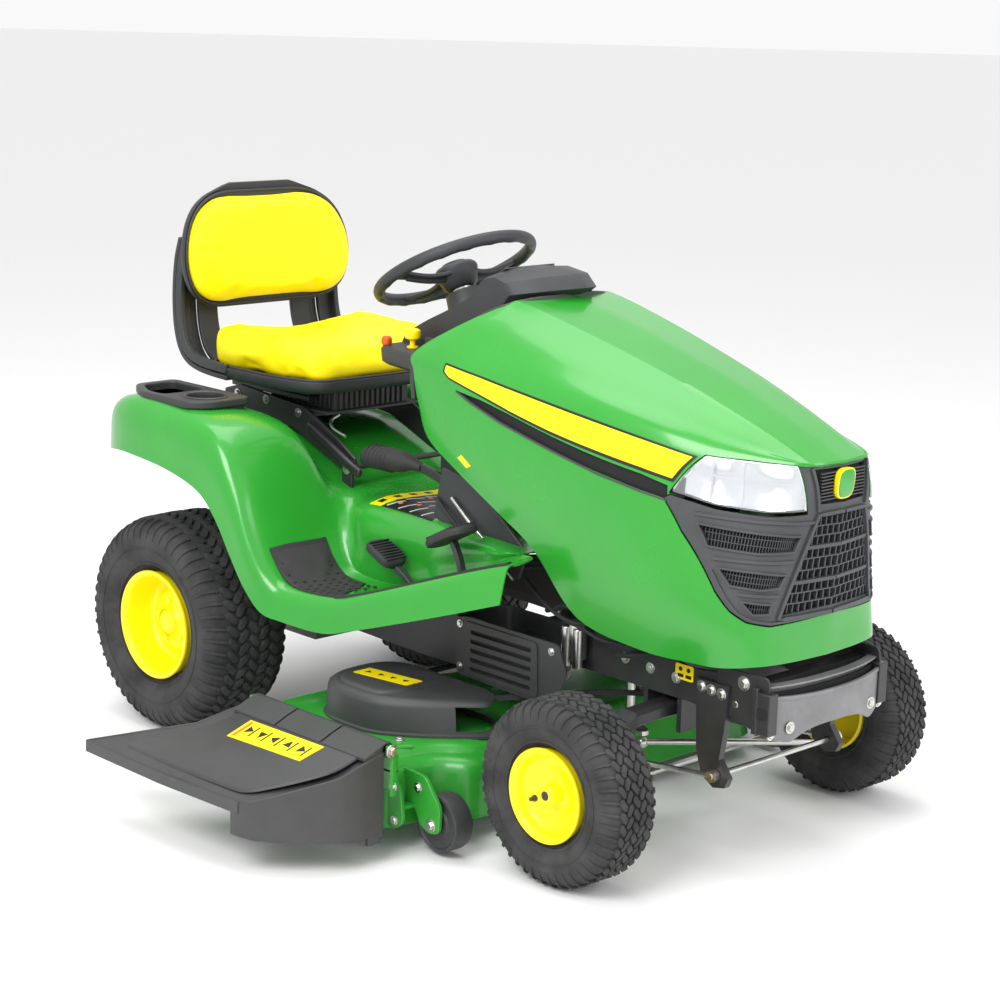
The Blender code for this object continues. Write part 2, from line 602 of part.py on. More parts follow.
# ---------------------------------------------------------------- hood, grille and headlights
# Rows run from the bottom edge up to the middle of the top; each goes from the rear edge to the nose.
HOOD_ROWS = [
    [(0.612, 0.243, 0.843), (0.650, 0.246, 0.768), (0.747, 0.250, 0.712), (0.872, 0.252, 0.648), (0.985, 0.250, 0.585), (1.110, 0.246, 0.468), (1.282, 0.240, 0.438), (1.400, 0.230, 0.438), (1.470, 0.217, 0.440), (1.534, 0.184, 0.450), (1.555, 0.110, 0.450), (1.562, 0.0, 0.449)],
    [(0.608, 0.246, 0.868), (0.652, 0.250, 0.808), (0.750, 0.256, 0.764), (0.870, 0.259, 0.714), (1.000, 0.258, 0.668), (1.130, 0.253, 0.585), (1.282, 0.245, 0.560), (1.400, 0.232, 0.550), (1.470, 0.214, 0.545), (1.528, 0.178, 0.541), (1.552, 0.120, 0.538), (1.566, 0.0, 0.536)],
    [(0.602, 0.248, 0.908), (0.655, 0.252, 0.882), (0.750, 0.257, 0.856), (0.870, 0.258, 0.830), (1.000, 0.256, 0.802), (1.140, 0.248, 0.775), (1.282, 0.228, 0.760), (1.390, 0.200, 0.754), (1.470, 0.168, 0.751), (1.535, 0.134, 0.750), (1.572, 0.095, 0.748), (1.584, 0.0, 0.745)],
    [(0.600, 0.245, 0.946), (0.660, 0.248, 0.945), (0.750, 0.250, 0.934), (0.870, 0.249, 0.920), (1.000, 0.243, 0.905), (1.140, 0.232, 0.888), (1.280, 0.210, 0.868), (1.384, 0.180, 0.850), (1.460, 0.150, 0.844), (1.525, 0.120, 0.840), (1.564, 0.086, 0.837), (1.577, 0.0, 0.836)],
    [(0.694, 0.205, 1.012), (0.735, 0.206, 1.010), (0.800, 0.205, 1.002), (0.900, 0.202, 0.987), (1.015, 0.195, 0.965), (1.145, 0.183, 0.940), (1.280, 0.164, 0.912), (1.388, 0.142, 0.885), (1.466, 0.122, 0.865), (1.527, 0.103, 0.850), (1.567, 0.080, 0.840), (1.5775, 0.0, 0.839)],
    [(0.800, 0.140, 1.073), (0.822, 0.139, 1.070), (0.860, 0.137, 1.063), (0.930, 0.133, 1.047), (1.030, 0.127, 1.022), (1.150, 0.118, 0.989), (1.280, 0.108, 0.950), (1.390, 0.098, 0.912), (1.470, 0.090, 0.882), (1.530, 0.083, 0.857), (1.570, 0.075, 0.841), (1.578, 0.0, 0.842)],
    [(0.812, 0.0, 1.080), (0.832, 0.0, 1.077), (0.870, 0.0, 1.070), (0.940, 0.0, 1.054), (1.040, 0.0, 1.029), (1.158, 0.0, 0.996), (1.286, 0.0, 0.957), (1.392, 0.0, 0.918), (1.472, 0.0, 0.887), (1.532, 0.0, 0.861), (1.571, 0.0, 0.845), (1.578, 0.0, 0.842)],
]
LAMP = [(6.35, 2.03), (7.00, 2.92), (9.55, 2.96), (9.95, 2.05), (8.50, 1.93)]
# the grille's frame: its outer top corner, the taper down to its foot, along the bottom and up to the badge panel
GRILLE = [(6.75, 1.88), (8.40, 0.98), (9.05, 0.42), (9.60, 0.80), (11.20, 0.84), (11.20, 2.98), (10.00, 2.98), (10.02, 2.04), (8.50, 1.88)]


def grow(points, d):
    """Moves a polygon's sides outwards by d, or inwards where d is negative."""
    area = sum(a[0] * b[1] - b[0] * a[1] for a, b in zip(points, points[1:] + points[:1]))
    s = 1.0 if area > 0 else -1.0
    out = []
    n = len(points)
    for i in range(n):
        p, q, r = (Vector(points[(i + k - 1) % n]) for k in range(3))
        a, b = (q - p).normalized(), (r - q).normalized()
        na, nb = Vector((a.y, -a.x)) * s, Vector((b.y, -b.x)) * s
        m = (na + nb).normalized()
        out.append(tuple(q + m * (d / max(0.35, m.dot(na)))))
    return out


def panel_of(region, d, outer, inner, us, vs, keep_middle):
    """A piece of the nose skin: the part of the sheet inside region."""
    sheet = slab(us, vs)
    sheet = boolean(sheet, prism(grow(region, d), "z", -1.0, 2.0), "INTERSECT")
    return wrap(sheet, HOOD_ROWS, outer, inner, HOOD_SIGN)


HOOD_SIGN = -1.0  # turns the grid's normal outwards
US = [float(k) for k in range(12)]
VS = [float(k) for k in range(7)]
skin = slab(US, VS)
skin = cut(skin, prism(grow(LAMP, 0.0), "z", -1.0, 2.0), prism(grow(GRILLE, 0.0), "z", -1.0, 2.0))
skin = wrap(skin, HOOD_ROWS, 0.0, -HOOD_T, HOOD_SIGN)
finish("hood", join_mirror(skin), PAINT, HOOD_PIVOT, 25)
sheet = panel_of(GRILLE, -0.02, -0.002, -0.014, US[6:], VS[:4], True)
finish("grille", join_mirror(sheet), PLASTIC, HOOD_PIVOT, 25)
for side, s in (("right", -1), ("left", 1)):
    lamp = panel_of(LAMP, -0.02, 0.001, -0.020, US[6:11], VS[1:4], False)
    if s < 0:
        lamp = mirrored(lamp)
    finish("headlight_" + side, lamp, LENS, HOOD_PIVOT, 25)

# ---------------------------------------------------------------- dash
pod_outline = [
    (0.415, 0.895), (0.425, 0.955), (0.530, 1.020), (0.640, 1.085), (0.700, 1.120), (0.770, 1.128), (0.795, 1.095),
    (0.790, 1.060), (0.700, 1.000), (0.640, 0.930), (0.600, 0.700), (0.600, 0.620), (0.555, 0.620), (0.545, 0.700), (0.530, 0.850),
]
pod = prism(pod_outline, "y", -0.125, 0.125)
shelf = prism([(0.415, -0.19), (0.600, -0.215), (0.590, 0.215), (0.415, 0.19)], "z", 0.895, 0.935)
tunnel = Matrix.Translation(Vector(WHEEL_C)) @ Matrix.Rotation(-WHEEL_TILT, 4, "Y")
bore = rod("z", 0, 0, -0.90, 0.20, 0.016, 14)
bore.transform(tunnel)
column = rod("z", 0, 0, -0.140, -0.052, 0.040, 16)
column.transform(tunnel)
pod = cut(union(pod, shelf, column), bore)
finish("dash_pod", pod, PLASTIC)

KNOB = (0.500, -0.160, 0.9353)
finish("pto_knob", union(rod("z", KNOB[0], KNOB[1], 0.9353, 0.962, 0.006, 10), rod("z", KNOB[0], KNOB[1], 0.950, 0.978, 0.017, 14)), VINYL, KNOB)
KEY = (0.560, -0.165, 0.9353)
finish("ignition_key", union(rod("z", KEY[0], KEY[1], 0.9353, 0.944, 0.011, 12), box(KEY[0] - 0.010, KEY[0] + 0.010, KEY[1] - 0.002, KEY[1] + 0.002, 0.942, 0.966)), ROD, KEY)
THROTTLE = (0.520, 0.165, 0.9400)
lever = union(rod("y", THROTTLE[0], THROTTLE[2] + 0.004, 0.157, 0.173, 0.008, 12), box(0.515, 0.525, 0.162, 0.168, 0.945, 1.005), box(0.508, 0.532, 0.157, 0.173, 0.998, 1.022))
finish("throttle_lever", lever, PLASTIC, (THROTTLE[0], THROTTLE[1], THROTTLE[2] + 0.004))

# ---------------------------------------------------------------- fenders and footrests
# Each station is a cross-section from the middle of the machine out to the lip of the fender.
FENDER_X = [-0.285, -0.262, -0.205, -0.110, 0.050, 0.170, 0.235, 0.290, 0.340]
FENDER_HALF = [0.380, 0.425, 0.470, 0.497, 0.502, 0.502, 0.502, 0.502, 0.502]
FENDER_Z = [
    (0.648, 0.648, 0.648, 0.650, 0.652, 0.645, 0.610), (0.668, 0.668, 0.670, 0.690, 0.700, 0.690, 0.620),
    (0.684, 0.684, 0.686, 0.722, 0.746, 0.732, 0.632), (0.688, 0.688, 0.690, 0.742, 0.772, 0.754, 0.642),
    (0.678, 0.678, 0.680, 0.745, 0.772, 0.748, 0.630), (0.640, 0.640, 0.655, 0.735, 0.756, 0.728, 0.600),
    (0.612, 0.612, 0.630, 0.708, 0.718, 0.688, 0.548), (0.592, 0.590, 0.602, 0.640, 0.640, 0.606, 0.474),
    (0.586, 0.582, 0.560, 0.550, 0.540, 0.512, 0.412),
]
FENDER_Y = (0.0, 0.300, 0.440, 0.540, 0.840, 0.975, 1.0)  # shares of the half width
# foot platform, flat behind and ramped up in front: x, then y and z across the half
FENDER_COLS = [
    (0.390, (0.0, 0.190, 0.240, 0.280, 0.415, 0.478, 0.496), (0.584, 0.580, 0.500, 0.462, 0.455, 0.440, 0.366)),
    (0.440, (0.0, 0.222, 0.252, 0.272, 0.405, 0.462, 0.482), (0.584, 0.580, 0.452, 0.424, 0.420, 0.416, 0.354)),
    (0.560, (0.0, 0.234, 0.257, 0.270, 0.392, 0.440, 0.464), (0.582, 0.577, 0.446, 0.423, 0.420, 0.418, 0.350)),
    (0.640, (0.0, 0.232, 0.256, 0.269, 0.380, 0.424, 0.447), (0.580, 0.575, 0.464, 0.445, 0.442, 0.440, 0.370)),
    (0.760, (0.0, 0.232, 0.252, 0.267, 0.362, 0.402, 0.425), (0.578, 0.573, 0.502, 0.487, 0.484, 0.482, 0.408)),
    (0.880, (0.0, 0.232, 0.251, 0.264, 0.342, 0.380, 0.403), (0.576, 0.571, 0.540, 0.530, 0.527, 0.525, 0.448)),
    (0.960, (0.0, 0.230, 0.248, 0.262, 0.330, 0.362, 0.385), (0.574, 0.570, 0.560, 0.557, 0.555, 0.553, 0.476)),
    (1.012, (0.0, 0.228, 0.246, 0.260, 0.320, 0.350, 0.371), (0.573, 0.569, 0.568, 0.573, 0.572, 0.570, 0.494)),
]
FENDER_ROWS = []
for k, share in enumerate(FENDER_Y):
    FENDER_ROWS.append([(x, half * share, zs[k]) for x, half, zs in zip(FENDER_X, FENDER_HALF, FENDER_Z)] + [(x, ys[k], zs[k]) for x, ys, zs in FENDER_COLS])
fender = wrap(slab([float(k) for k in range(17)], [float(k) for k in range(7)]), FENDER_ROWS, 0.0, -0.004, 1.0)
fender = join_mirror(fender)
TRAY = [(-0.165, -0.318), (-0.165, -0.420), (-0.085, -0.462), (0.085, -0.462), (0.115, -0.425), (0.115, -0.318)]
fender = cut(fender, prism(grow(TRAY, 0.0006), "z", 0.600, 0.900), rod("z", -0.120, 0.370, 0.600, 0.900, 0.0280, 16))
bore = rod("z", 0, 0, -0.80, -0.30, 0.022, 12)
bore.transform(tunnel)
# the front of the tunnel stops short of the hood, and each pedal arm has a slot
fender = cut(fender, bore, box(0.955, 1.060, -0.274, 0.274, 0.500, 0.620), box(0.598, 0.718, -0.318, -0.282, 0.400, 0.500), *[box(0.785, 0.878, *sorted((s * 0.282, s * 0.318)), 0.440, 0.580) for s in (-1, 1)])
# lugs and pin that the seat bracket tips on
for s in (-1, 1):
    fender = union(fender, box(0.272, 0.308, *sorted((s * 0.1585, s * 0.1665)), 0.585, 0.648))
fender = union(fender, rod("y", SEAT_PIVOT[0], SEAT_PIVOT[2], -0.1650, 0.1650, 0.0066, 10))
finish("fender_deck", fender, PAINT, (0, 0, 0), 35)

tray = prism(TRAY, "z", 0.655, 0.786)
tray = cut(tray, rod("z", 0.055, -0.390, 0.675, 0.900, 0.044, 18), prism(grow(TRAY[:3] + [(-0.010, -0.462), (-0.010, -0.318)], -0.012), "z", 0.730, 0.900))
finish("cup_tray", tray, PLASTIC)

# ---------------------------------------------------------------- seat
arm_outline = [(-0.185, 0.715), (-0.180, 0.748), (-0.120, 0.765), (0.120, 0.745), (0.305, 0.652), (0.305, 0.622), (0.275, 0.612), (0.080, 0.690)]
bracket = prism(arm_outline, "y", -0.155, -0.147)
bracket = union(bracket, box(-0.150, 0.150, -0.1475, 0.1475, 0.7250, 0.7330), prism(arm_outline, "y", 0.147, 0.155), box(-0.060, 0.180, -0.110, 0.110, 0.7320, 0.7900))
bracket = cut(bracket, rod("y", SEAT_PIVOT[0], SEAT_PIVOT[2], -0.200, 0.200, 0.0070, 12))
finish("seat_bracket", bracket, PLASTIC, SEAT_PIVOT)


def seat_frame():
    """Moulded pan and back shell joined by two uprights, with the gap between them open."""
    pan = prism([(-0.190, -0.175), (-0.120, -0.246), (0.150, -0.248), (0.235, -0.200), (0.246, 0.0), (0.235, 0.200), (0.150, 0.248), (-0.120, 0.246), (-0.190, 0.175)], "z", 0.7903, 0.8160)
    back = prism([(-0.285, -0.165), (-0.285, 0.165), (-0.250, 0.246), (-0.240, 0.246), (-0.262, 0.165), (-0.262, -0.165), (-0.240, -0.246), (-0.250, -0.246)], "z", 0.945, 1.242)
    posts = []
    for s in (-1, 1):
        low, high = sorted((s * 0.135, s * 0.195))
        posts.append(prism([(-0.186, 0.7925), (-0.150, 0.814), (-0.204, 0.838), (-0.242, 0.880), (-0.258, 0.960), (-0.282, 0.960), (-0.273, 0.880), (-0.235, 0.815)], "y", low, high))
    return union(pan, back, *posts)


finish("seat_frame", seat_frame(), PLASTIC)


def pad(rings_of, n=20):
    return from_rings(rings_of)


def rounded(cx, cy, hx, hy, r, steps=3):
    pts = []
    for ox, oy, start in ((1, 1, 0), (-1, 1, 90), (-1, -1, 180), (1, -1, 270)):
        for k in range(steps + 1):
            a = math.radians(start + 90 * k / steps)
            pts.append((cx + ox * (hx - r) + r * math.cos(a), cy + oy * (hy - r) + r * math.sin(a)))
    return pts


cushion = from_rings(
    [[(x, y, z) for x, y in rounded(0.042, 0.0, hx, hy, 0.080)] for z, hx, hy in ((0.8163, 0.176, 0.222), (0.840, 0.190, 0.236), (0.872, 0.190, 0.236), (0.894, 0.176, 0.222))]
)
finish("seat_cushion", cushion, VINYL)
back = from_rings(
    [[(x, y, z) for y, z in rounded(0.0, 1.080, hy, hz, 0.100)] for x, hy, hz in ((-0.2615, 0.160, 0.120), (-0.238, 0.244, 0.133), (-0.208, 0.244, 0.133), (-0.188, 0.228, 0.116))]
)
finish("back_cushion", back, VINYL)


# ---------------------------------------------------------------- pedals and lift lever
def pedal(px, py, pz, pad_x0, pad_x1, pad_z0, pad_z1, half_y):
    """Pad on a bent arm that turns about a cross pin at (px, pz)."""
    dx, dz = pad_x1 - pad_x0, pad_z1 - pad_z0
    ln = math.hypot(dx, dz)
    nx, nz = -dz / ln * 0.009, dx / ln * 0.009
    mid = ((pad_x0 + pad_x1) / 2, (pad_z0 + pad_z1) / 2)
    padp = prism([(pad_x0 - nx, pad_z0 - nz), (pad_x1 - nx, pad_z1 - nz), (pad_x1 + nx, pad_z1 + nz), (pad_x0 + nx, pad_z0 + nz)], "y", py - half_y, py + half_y)
    arm = bar([(px, py, pz), ((px + mid[0]) / 2 + 0.006, py, (pz + mid[1]) / 2), (mid[0] + 0.004, py, mid[1] - 0.004)], 0.010, 0.016, (0, 1, 0))
    hub = rod("y", px, pz, py - 0.014, py + 0.014, 0.011, 12)
    return union(padp, arm, hub)


REVERSE = (0.690, -0.300, 0.4355)
FORWARD = (0.830, -0.300, 0.4790)
BRAKE = (0.830, 0.300, 0.4790)
finish("reverse_pedal", pedal(*REVERSE, 0.545, 0.615, 0.520, 0.486, 0.034), PLASTIC, REVERSE)
finish("forward_pedal", pedal(*FORWARD, 0.742, 0.838, 0.560, 0.610, 0.040), PLASTIC, FORWARD)
finish("brake_pedal", pedal(*BRAKE, 0.742, 0.838, 0.560, 0.610, 0.045), PLASTIC, BRAKE)

LIFT = (0.660, -0.160, 0.640)
grip = from_rings([[(x, LIFT[1] + a * wy, z + b * hz) for a, b in ((-1, -0.5), (-0.5, -1), (0.5, -1), (1, -0.5), (1, 0.5), (0.5, 1), (-0.5, 1), (-1, 0.5))] for x, z, wy, hz in ((0.340, 0.700, 0.018, 0.014), (0.355, 0.700, 0.026, 0.020), (0.440, 0.704, 0.026, 0.021), (0.485, 0.703, 0.018, 0.013), (0.530, 0.692, 0.010, 0.010))])
lift = union(grip, bar([(0.505, LIFT[1], 0.698), (0.600, LIFT[1], 0.668), (0.660, LIFT[1], 0.640)], 0.012, 0.020, (0, 0, 1)), rod("y", LIFT[0], LIFT[2], LIFT[1] - 0.012, LIFT[1] + 0.012, 0.016, 14))
finish("lift_lever", lift, PLASTIC, LIFT)

# ---------------------------------------------------------------- side shields
for side, s in (("right", -1), ("left", 1)):
    low, high = sorted((s * 0.250, s * 0.256))
    panel = prism([(0.775, 0.292), (0.765, 0.395), (1.055, 0.395), (1.075, 0.340), (1.040, 0.286)], "y", low, high)
    louvres = []
    for k in range(4):
        lo, hi = sorted((s * 0.255, s * 0.262))
        louvres.append(box(0.835, 1.010, lo, hi, 0.306 + 0.021 * k, 0.314 + 0.021 * k))
    foot = box(0.880, 0.980, *sorted((s * 0.1703, s * 0.252)), 0.372, 0.380)
    finish("side_shield_" + side, union(panel, *louvres, foot), PLASTIC)

# ---------------------------------------------------------------- mower deck
DECK = [
    (0.440, -0.470), (0.500, -0.580), (0.580, -0.626), (0.900, -0.626), (0.945, -0.600), (0.952, -0.478), (1.018, -0.440), (1.018, 0.440),
    (0.952, 0.478), (0.945, 0.600), (0.900, 0.624), (0.600, 0.624), (0.500, 0.570), (0.440, 0.460), (0.430, 0.250), (0.520, 0.120),
    (0.520, -0.120), (0.430, -0.250),
]
shell = prism(DECK, "z", 0.0500, 0.1750)
shell = union(shell, prism([(0.470, -0.520), (0.560, -0.590), (0.890, -0.590), (0.920, -0.460), (0.975, -0.410), (0.975, 0.410), (0.920, 0.460), (0.890, 0.585), (0.620, 0.585), (0.490, 0.480), (0.480, 0.250), (0.560, 0.080), (0.560, -0.080), (0.480, -0.250)], "z", 0.1700, 0.1950))
shell = cut(
    shell,
    prism(grow(DECK, -0.004), "z", 0.0400, 0.1700),
    box(0.600, 0.890, -0.640, -0.560, 0.0400, 0.1450),
    prism([(0.500, -0.500), (0.570, -0.570), (0.880, -0.570), (0.905, -0.450), (0.960, -0.400), (0.960, 0.400), (0.905, 0.450), (0.880, 0.565), (0.625, 0.565), (0.505, 0.470), (0.500, 0.250), (0.580, 0.080), (0.580, -0.080), (0.500, -0.250)], "z", 0.1600, 0.1910),
    *[rod("z", x, y, 0.180, 0.210, 0.0160, 16) for x, y in SPINDLES.values()],
)
for s in (-1, 1):
    # gauge wheel arm welded to the front corner
    low, high = sorted((s * 0.550, s * 0.558))
    shell = union(shell, prism([(0.930, 0.100), (0.930, 0.170), (1.010, 0.165), (1.045, 0.110), (1.045, 0.058), (1.005, 0.055), (0.980, 0.100)], "y", low, high))
shell = union(shell, box(0.570, 0.990, -0.632, -0.615, 0.150, 0.2250), box(1.005, 1.035, -0.186, -0.178, 0.110, 0.180), box(1.005, 1.035, 0.178, 0.186, 0.110, 0.180))
shell = cut(shell, *[rod("y", 1.025, 0.070, *sorted((s * 0.540, s * 0.570)), 0.0070, 10) for s in (-1, 1)])
# hinge bar of the chute, on two brackets welded to the deck
shell = union(
    shell,
    rod("x", CHUTE_HINGE[1], 0.236, 0.550, 1.000, 0.0040, 10),
    prism([(CHUTE_HINGE[1] - 0.009, 0.245), (CHUTE_HINGE[1] + 0.0150, 0.245), (CHUTE_HINGE[1] + 0.0150, 0.100), (CHUTE_HINGE[1] + 0.003, 0.100), (CHUTE_HINGE[1] + 0.003, 0.224), (CHUTE_HINGE[1] - 0.009, 0.228)], "x", 0.9865, 0.9945),
    prism([(CHUTE_HINGE[1] - 0.009, 0.245), (CHUTE_HINGE[1] + 0.0150, 0.245), (CHUTE_HINGE[1] + 0.0150, 0.160), (CHUTE_HINGE[1] + 0.003, 0.160), (CHUTE_HINGE[1] + 0.003, 0.224), (CHUTE_HINGE[1] - 0.009, 0.228)], "x", 0.5515, 0.5590),
)
finish("deck_shell", shell, PAINT)

for side, s in (("right", -1), ("left", 1)):
    centre = (1.025, s * 0.5200, 0.070)
    wheel = turned([(0.018, -0.024), (0.054, -0.024), (0.060, -0.016), (0.060, 0.016), (0.054, 0.024), (0.018, 0.024)], "y", centre, 18)
    wheel = union(wheel, rod("y", 1.025, 0.070, *sorted((s * 0.4965, s * 0.5490)), 0.020, 10), rod("y", 1.025, 0.070, *sorted((s * 0.4930, s * 0.5640)), 0.0065, 10))
    finish("gauge_wheel_" + side, wheel, PLASTIC, centre)

for side, (x, y) in SPINDLES.items():
    shaft = union(
        rod("z", x, y, 0.0620, 0.2550, 0.0120, 14),
        rod("z", x, y, 0.0860, 0.1780, 0.0150, 14),
        turned([(0.008, 0.2180), (0.060, 0.2180), (0.060, 0.2205), (0.0505, 0.2205), (0.0505, 0.2375), (0.060, 0.2375), (0.060, 0.2400), (0.008, 0.2400)], "z", (x, y, 0), 16),
    )
    finish("spindle_" + side, shaft, ROD, (x, y, 0.0))
    ang = {"right": 25, "center": -20, "left": 70}[side]
    plan = [(-BLADE_R, -0.026), (-0.120, -0.030), (0.0, -0.030), (0.120, -0.030), (BLADE_R, -0.022), (BLADE_R, 0.026), (0.120, 0.030), (0.0, 0.030), (-0.120, 0.030), (-BLADE_R, 0.022)]
    low_r = []
    for h in (0.0, 0.0045):
        ring = []
        for a, b in plan:
            lift_tip = 0.016 if abs(a) > 0.15 and (a * b) > 0 else 0.0
            ring.append((a, b, 0.0715 + h + lift_tip))
        low_r.append(ring)
    blade = from_rings(low_r)
    blade.transform(Matrix.Translation((x, y, 0)) @ Matrix.Rotation(math.radians(ang), 4, "Z"))
    blade = cut(blade, rod("z", x, y, 0.0500, 0.0840, 0.0120 + GAP, 14))
    finish("blade_" + side, blade, ROD, (x, y, 0.0))

for side, s in (("right", -1), ("left", 1)):
    outline = [(0.595, s * 0.330), (0.590, s * 0.430), (0.620, s * 0.500), (0.700, s * 0.545), (0.820, s * 0.545), (0.890, s * 0.480), (0.960, s * 0.350), (0.900, s * 0.280), (0.640, s * 0.280)]
    outer = prism(outline, "z", 0.1954, 0.2700)
    inner = prism(grow(outline, -0.004), "z", 0.1900, 0.2660)
    slot = box(0.580, 0.980, *sorted((s * 0.270, s * 0.400)), 0.2080, 0.2600)
    finish("belt_cover_" + side, cut(outer, inner, slot), PLASTIC)


# chute: a sloping lid with walls in front and behind, hinged along the deck's side
def chute():
    hinge_y = CHUTE_HINGE[1]
    top = [[(0.568, hinge_y - 0.008, 0.236), (0.340, -0.925, 0.150), (0.860, -0.905, 0.150), (0.985, -0.760, 0.190), (0.985, hinge_y - 0.008, 0.236)]]
    upper = top[0]
    lower = [(x, y, z - 0.005) for x, y, z in upper]
    lid = from_rings([lower, upper])
    wall = from_rings([[(0.9790, hinge_y - 0.0110, 0.060), (0.9790, hinge_y - 0.0110, 0.2335), (0.9790, -0.7575, 0.1880), (0.8560, -0.9000, 0.1480), (0.8560, -0.9000, 0.075), (0.9790, -0.7575, 0.062)],
                       [(0.9842, hinge_y - 0.0110, 0.060), (0.9842, hinge_y - 0.0110, 0.2335), (0.9842, -0.7595, 0.1880), (0.8595, -0.9040, 0.1480), (0.8595, -0.9040, 0.075), (0.9842, -0.7595, 0.062)]])
    barrel = rod("x", hinge_y, 0.236, 0.562, 0.985, 0.0095, 12)
    lip = bar([(0.346, -0.9215, 0.1335), (0.8585, -0.9020, 0.1335)], 0.005, 0.030)
    return cut(union(lid, wall, barrel, lip), rod("x", hinge_y, 0.236, 0.540, 1.010, 0.0043, 10))


finish("chute", chute(), PLASTIC, CHUTE_HINGE)

# draft rods: two bars on one cross shaft that turns in the feet of the front brackets
DRAFT = (1.448, 0.0, 0.208)
draft = union(
    tube([(1.448, -0.1935, 0.208), (1.070, -0.1935, 0.165)], 0.0060, 8),
    tube([(1.448, 0.1935, 0.208), (1.070, 0.1935, 0.165)], 0.0060, 8),
    rod("y", 1.448, 0.208, -0.2050, 0.2050, 0.0060, 10),
    rod("y", 1.448, 0.208, -0.2020, -0.1855, 0.0120, 10),
    rod("y", 1.448, 0.208, 0.1855, 0.2020, 0.0120, 10),
)
finish("draft_rod", draft, ROD, DRAFT)


# drive belt: from the engine's clutch pulley round the two outer spindle pulleys
def belt():
    def level(x):
        return 0.2290 + (0.2790 - 0.2290) * min(max((x - 0.74) / (CRANK_X - 0.05 - 0.74), 0.0), 1.0)

    stops = [(CRANK_X, 0.0, 0.0500), (SPINDLES["left"][0], SPINDLES["left"][1], 0.0540), (SPINDLES["right"][0], SPINDLES["right"][1], 0.0540)]
    line = []
    count = len(stops)
    for i in range(count):
        (x0, y0, r0), (x1, y1, r1), (x2, y2, r2) = stops[i - 1], stops[i], stops[(i + 1) % count]

        def leave(xa, ya, ra, xb, yb, rb):
            d = math.hypot(xb - xa, yb - ya)
            base = math.atan2(yb - ya, xb - xa)
            return base - math.acos((ra - rb) / d)

        a0 = leave(x0, y0, r0, x1, y1, r1)
        a1 = leave(x1, y1, r1, x2, y2, r2)
        while a1 < a0:
            a1 += 2 * math.pi
        for k in range(7):
            a = a0 + (a1 - a0) * k / 6
            line.append((x1, y1, r1, a))
    rings = []
    for x, y, r, a in line:
        z = level(x + r * math.cos(a))
        ring = []
        for dr, dz in ((0.0, -0.0045), (0.0080, -0.0060), (0.0080, 0.0060), (0.0, 0.0045)):
            ring.append((x + (r + dr) * math.cos(a), y + (r + dr) * math.sin(a), z + dz))
        rings.append(ring)
    return from_rings(rings, closed=True)


finish("drive_belt", belt(), RUBBER)
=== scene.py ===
"""Looks of the riding lawn mower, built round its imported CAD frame."""

import math

import bmesh
import bpy
from mathutils import Matrix, Vector


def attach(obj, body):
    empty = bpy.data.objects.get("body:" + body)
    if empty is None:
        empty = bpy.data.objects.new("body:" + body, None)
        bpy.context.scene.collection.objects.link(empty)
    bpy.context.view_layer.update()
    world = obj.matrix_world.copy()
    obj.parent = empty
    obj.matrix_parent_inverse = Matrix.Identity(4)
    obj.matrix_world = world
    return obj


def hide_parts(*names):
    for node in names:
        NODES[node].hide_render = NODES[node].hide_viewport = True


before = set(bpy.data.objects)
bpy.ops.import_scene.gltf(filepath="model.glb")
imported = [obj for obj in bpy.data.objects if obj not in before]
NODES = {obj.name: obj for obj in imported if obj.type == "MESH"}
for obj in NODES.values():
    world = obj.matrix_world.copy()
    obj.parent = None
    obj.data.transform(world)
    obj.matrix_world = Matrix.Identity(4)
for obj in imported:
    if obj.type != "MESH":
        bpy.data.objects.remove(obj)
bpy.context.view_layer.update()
SHIFT = Vector((-0.6535, 0.1505, 0.0))  # rear axle's middle, on the ground, in the row frame


# ================================================================ materials
def nodes_of(name):
    m = bpy.data.materials.new(name)
    m.use_nodes = True
    t = m.node_tree
    return m, t, t.nodes["Principled BSDF"]


def node(t, kind, **values):
    n = t.nodes.new(kind)
    for k, v in values.items():
        if hasattr(n, k):
            setattr(n, k, v)
        else:
            n.inputs[k.replace("_", " ")].default_value = v
    return n


def mix(t, fac, a, b, blend="MIX"):
    n = t.nodes.new("ShaderNodeMix")
    n.data_type = "RGBA"
    n.blend_type = blend
    if isinstance(fac, float):
        n.inputs[0].default_value = fac
    else:
        t.links.new(fac, n.inputs[0])
    for i, c in ((6, a), (7, b)):
        if isinstance(c, tuple):
            n.inputs[i].default_value = (*c, 1.0)
        else:
            t.links.new(c, n.inputs[i])
    return n.outputs[2]


def ranged(t, value, a0, a1, b0, b1):
    n = node(t, "ShaderNodeMapRange", From_Min=a0, From_Max=a1, To_Min=b0, To_Max=b1)
    t.links.new(value, n.inputs[0])
    return n.outputs[0]


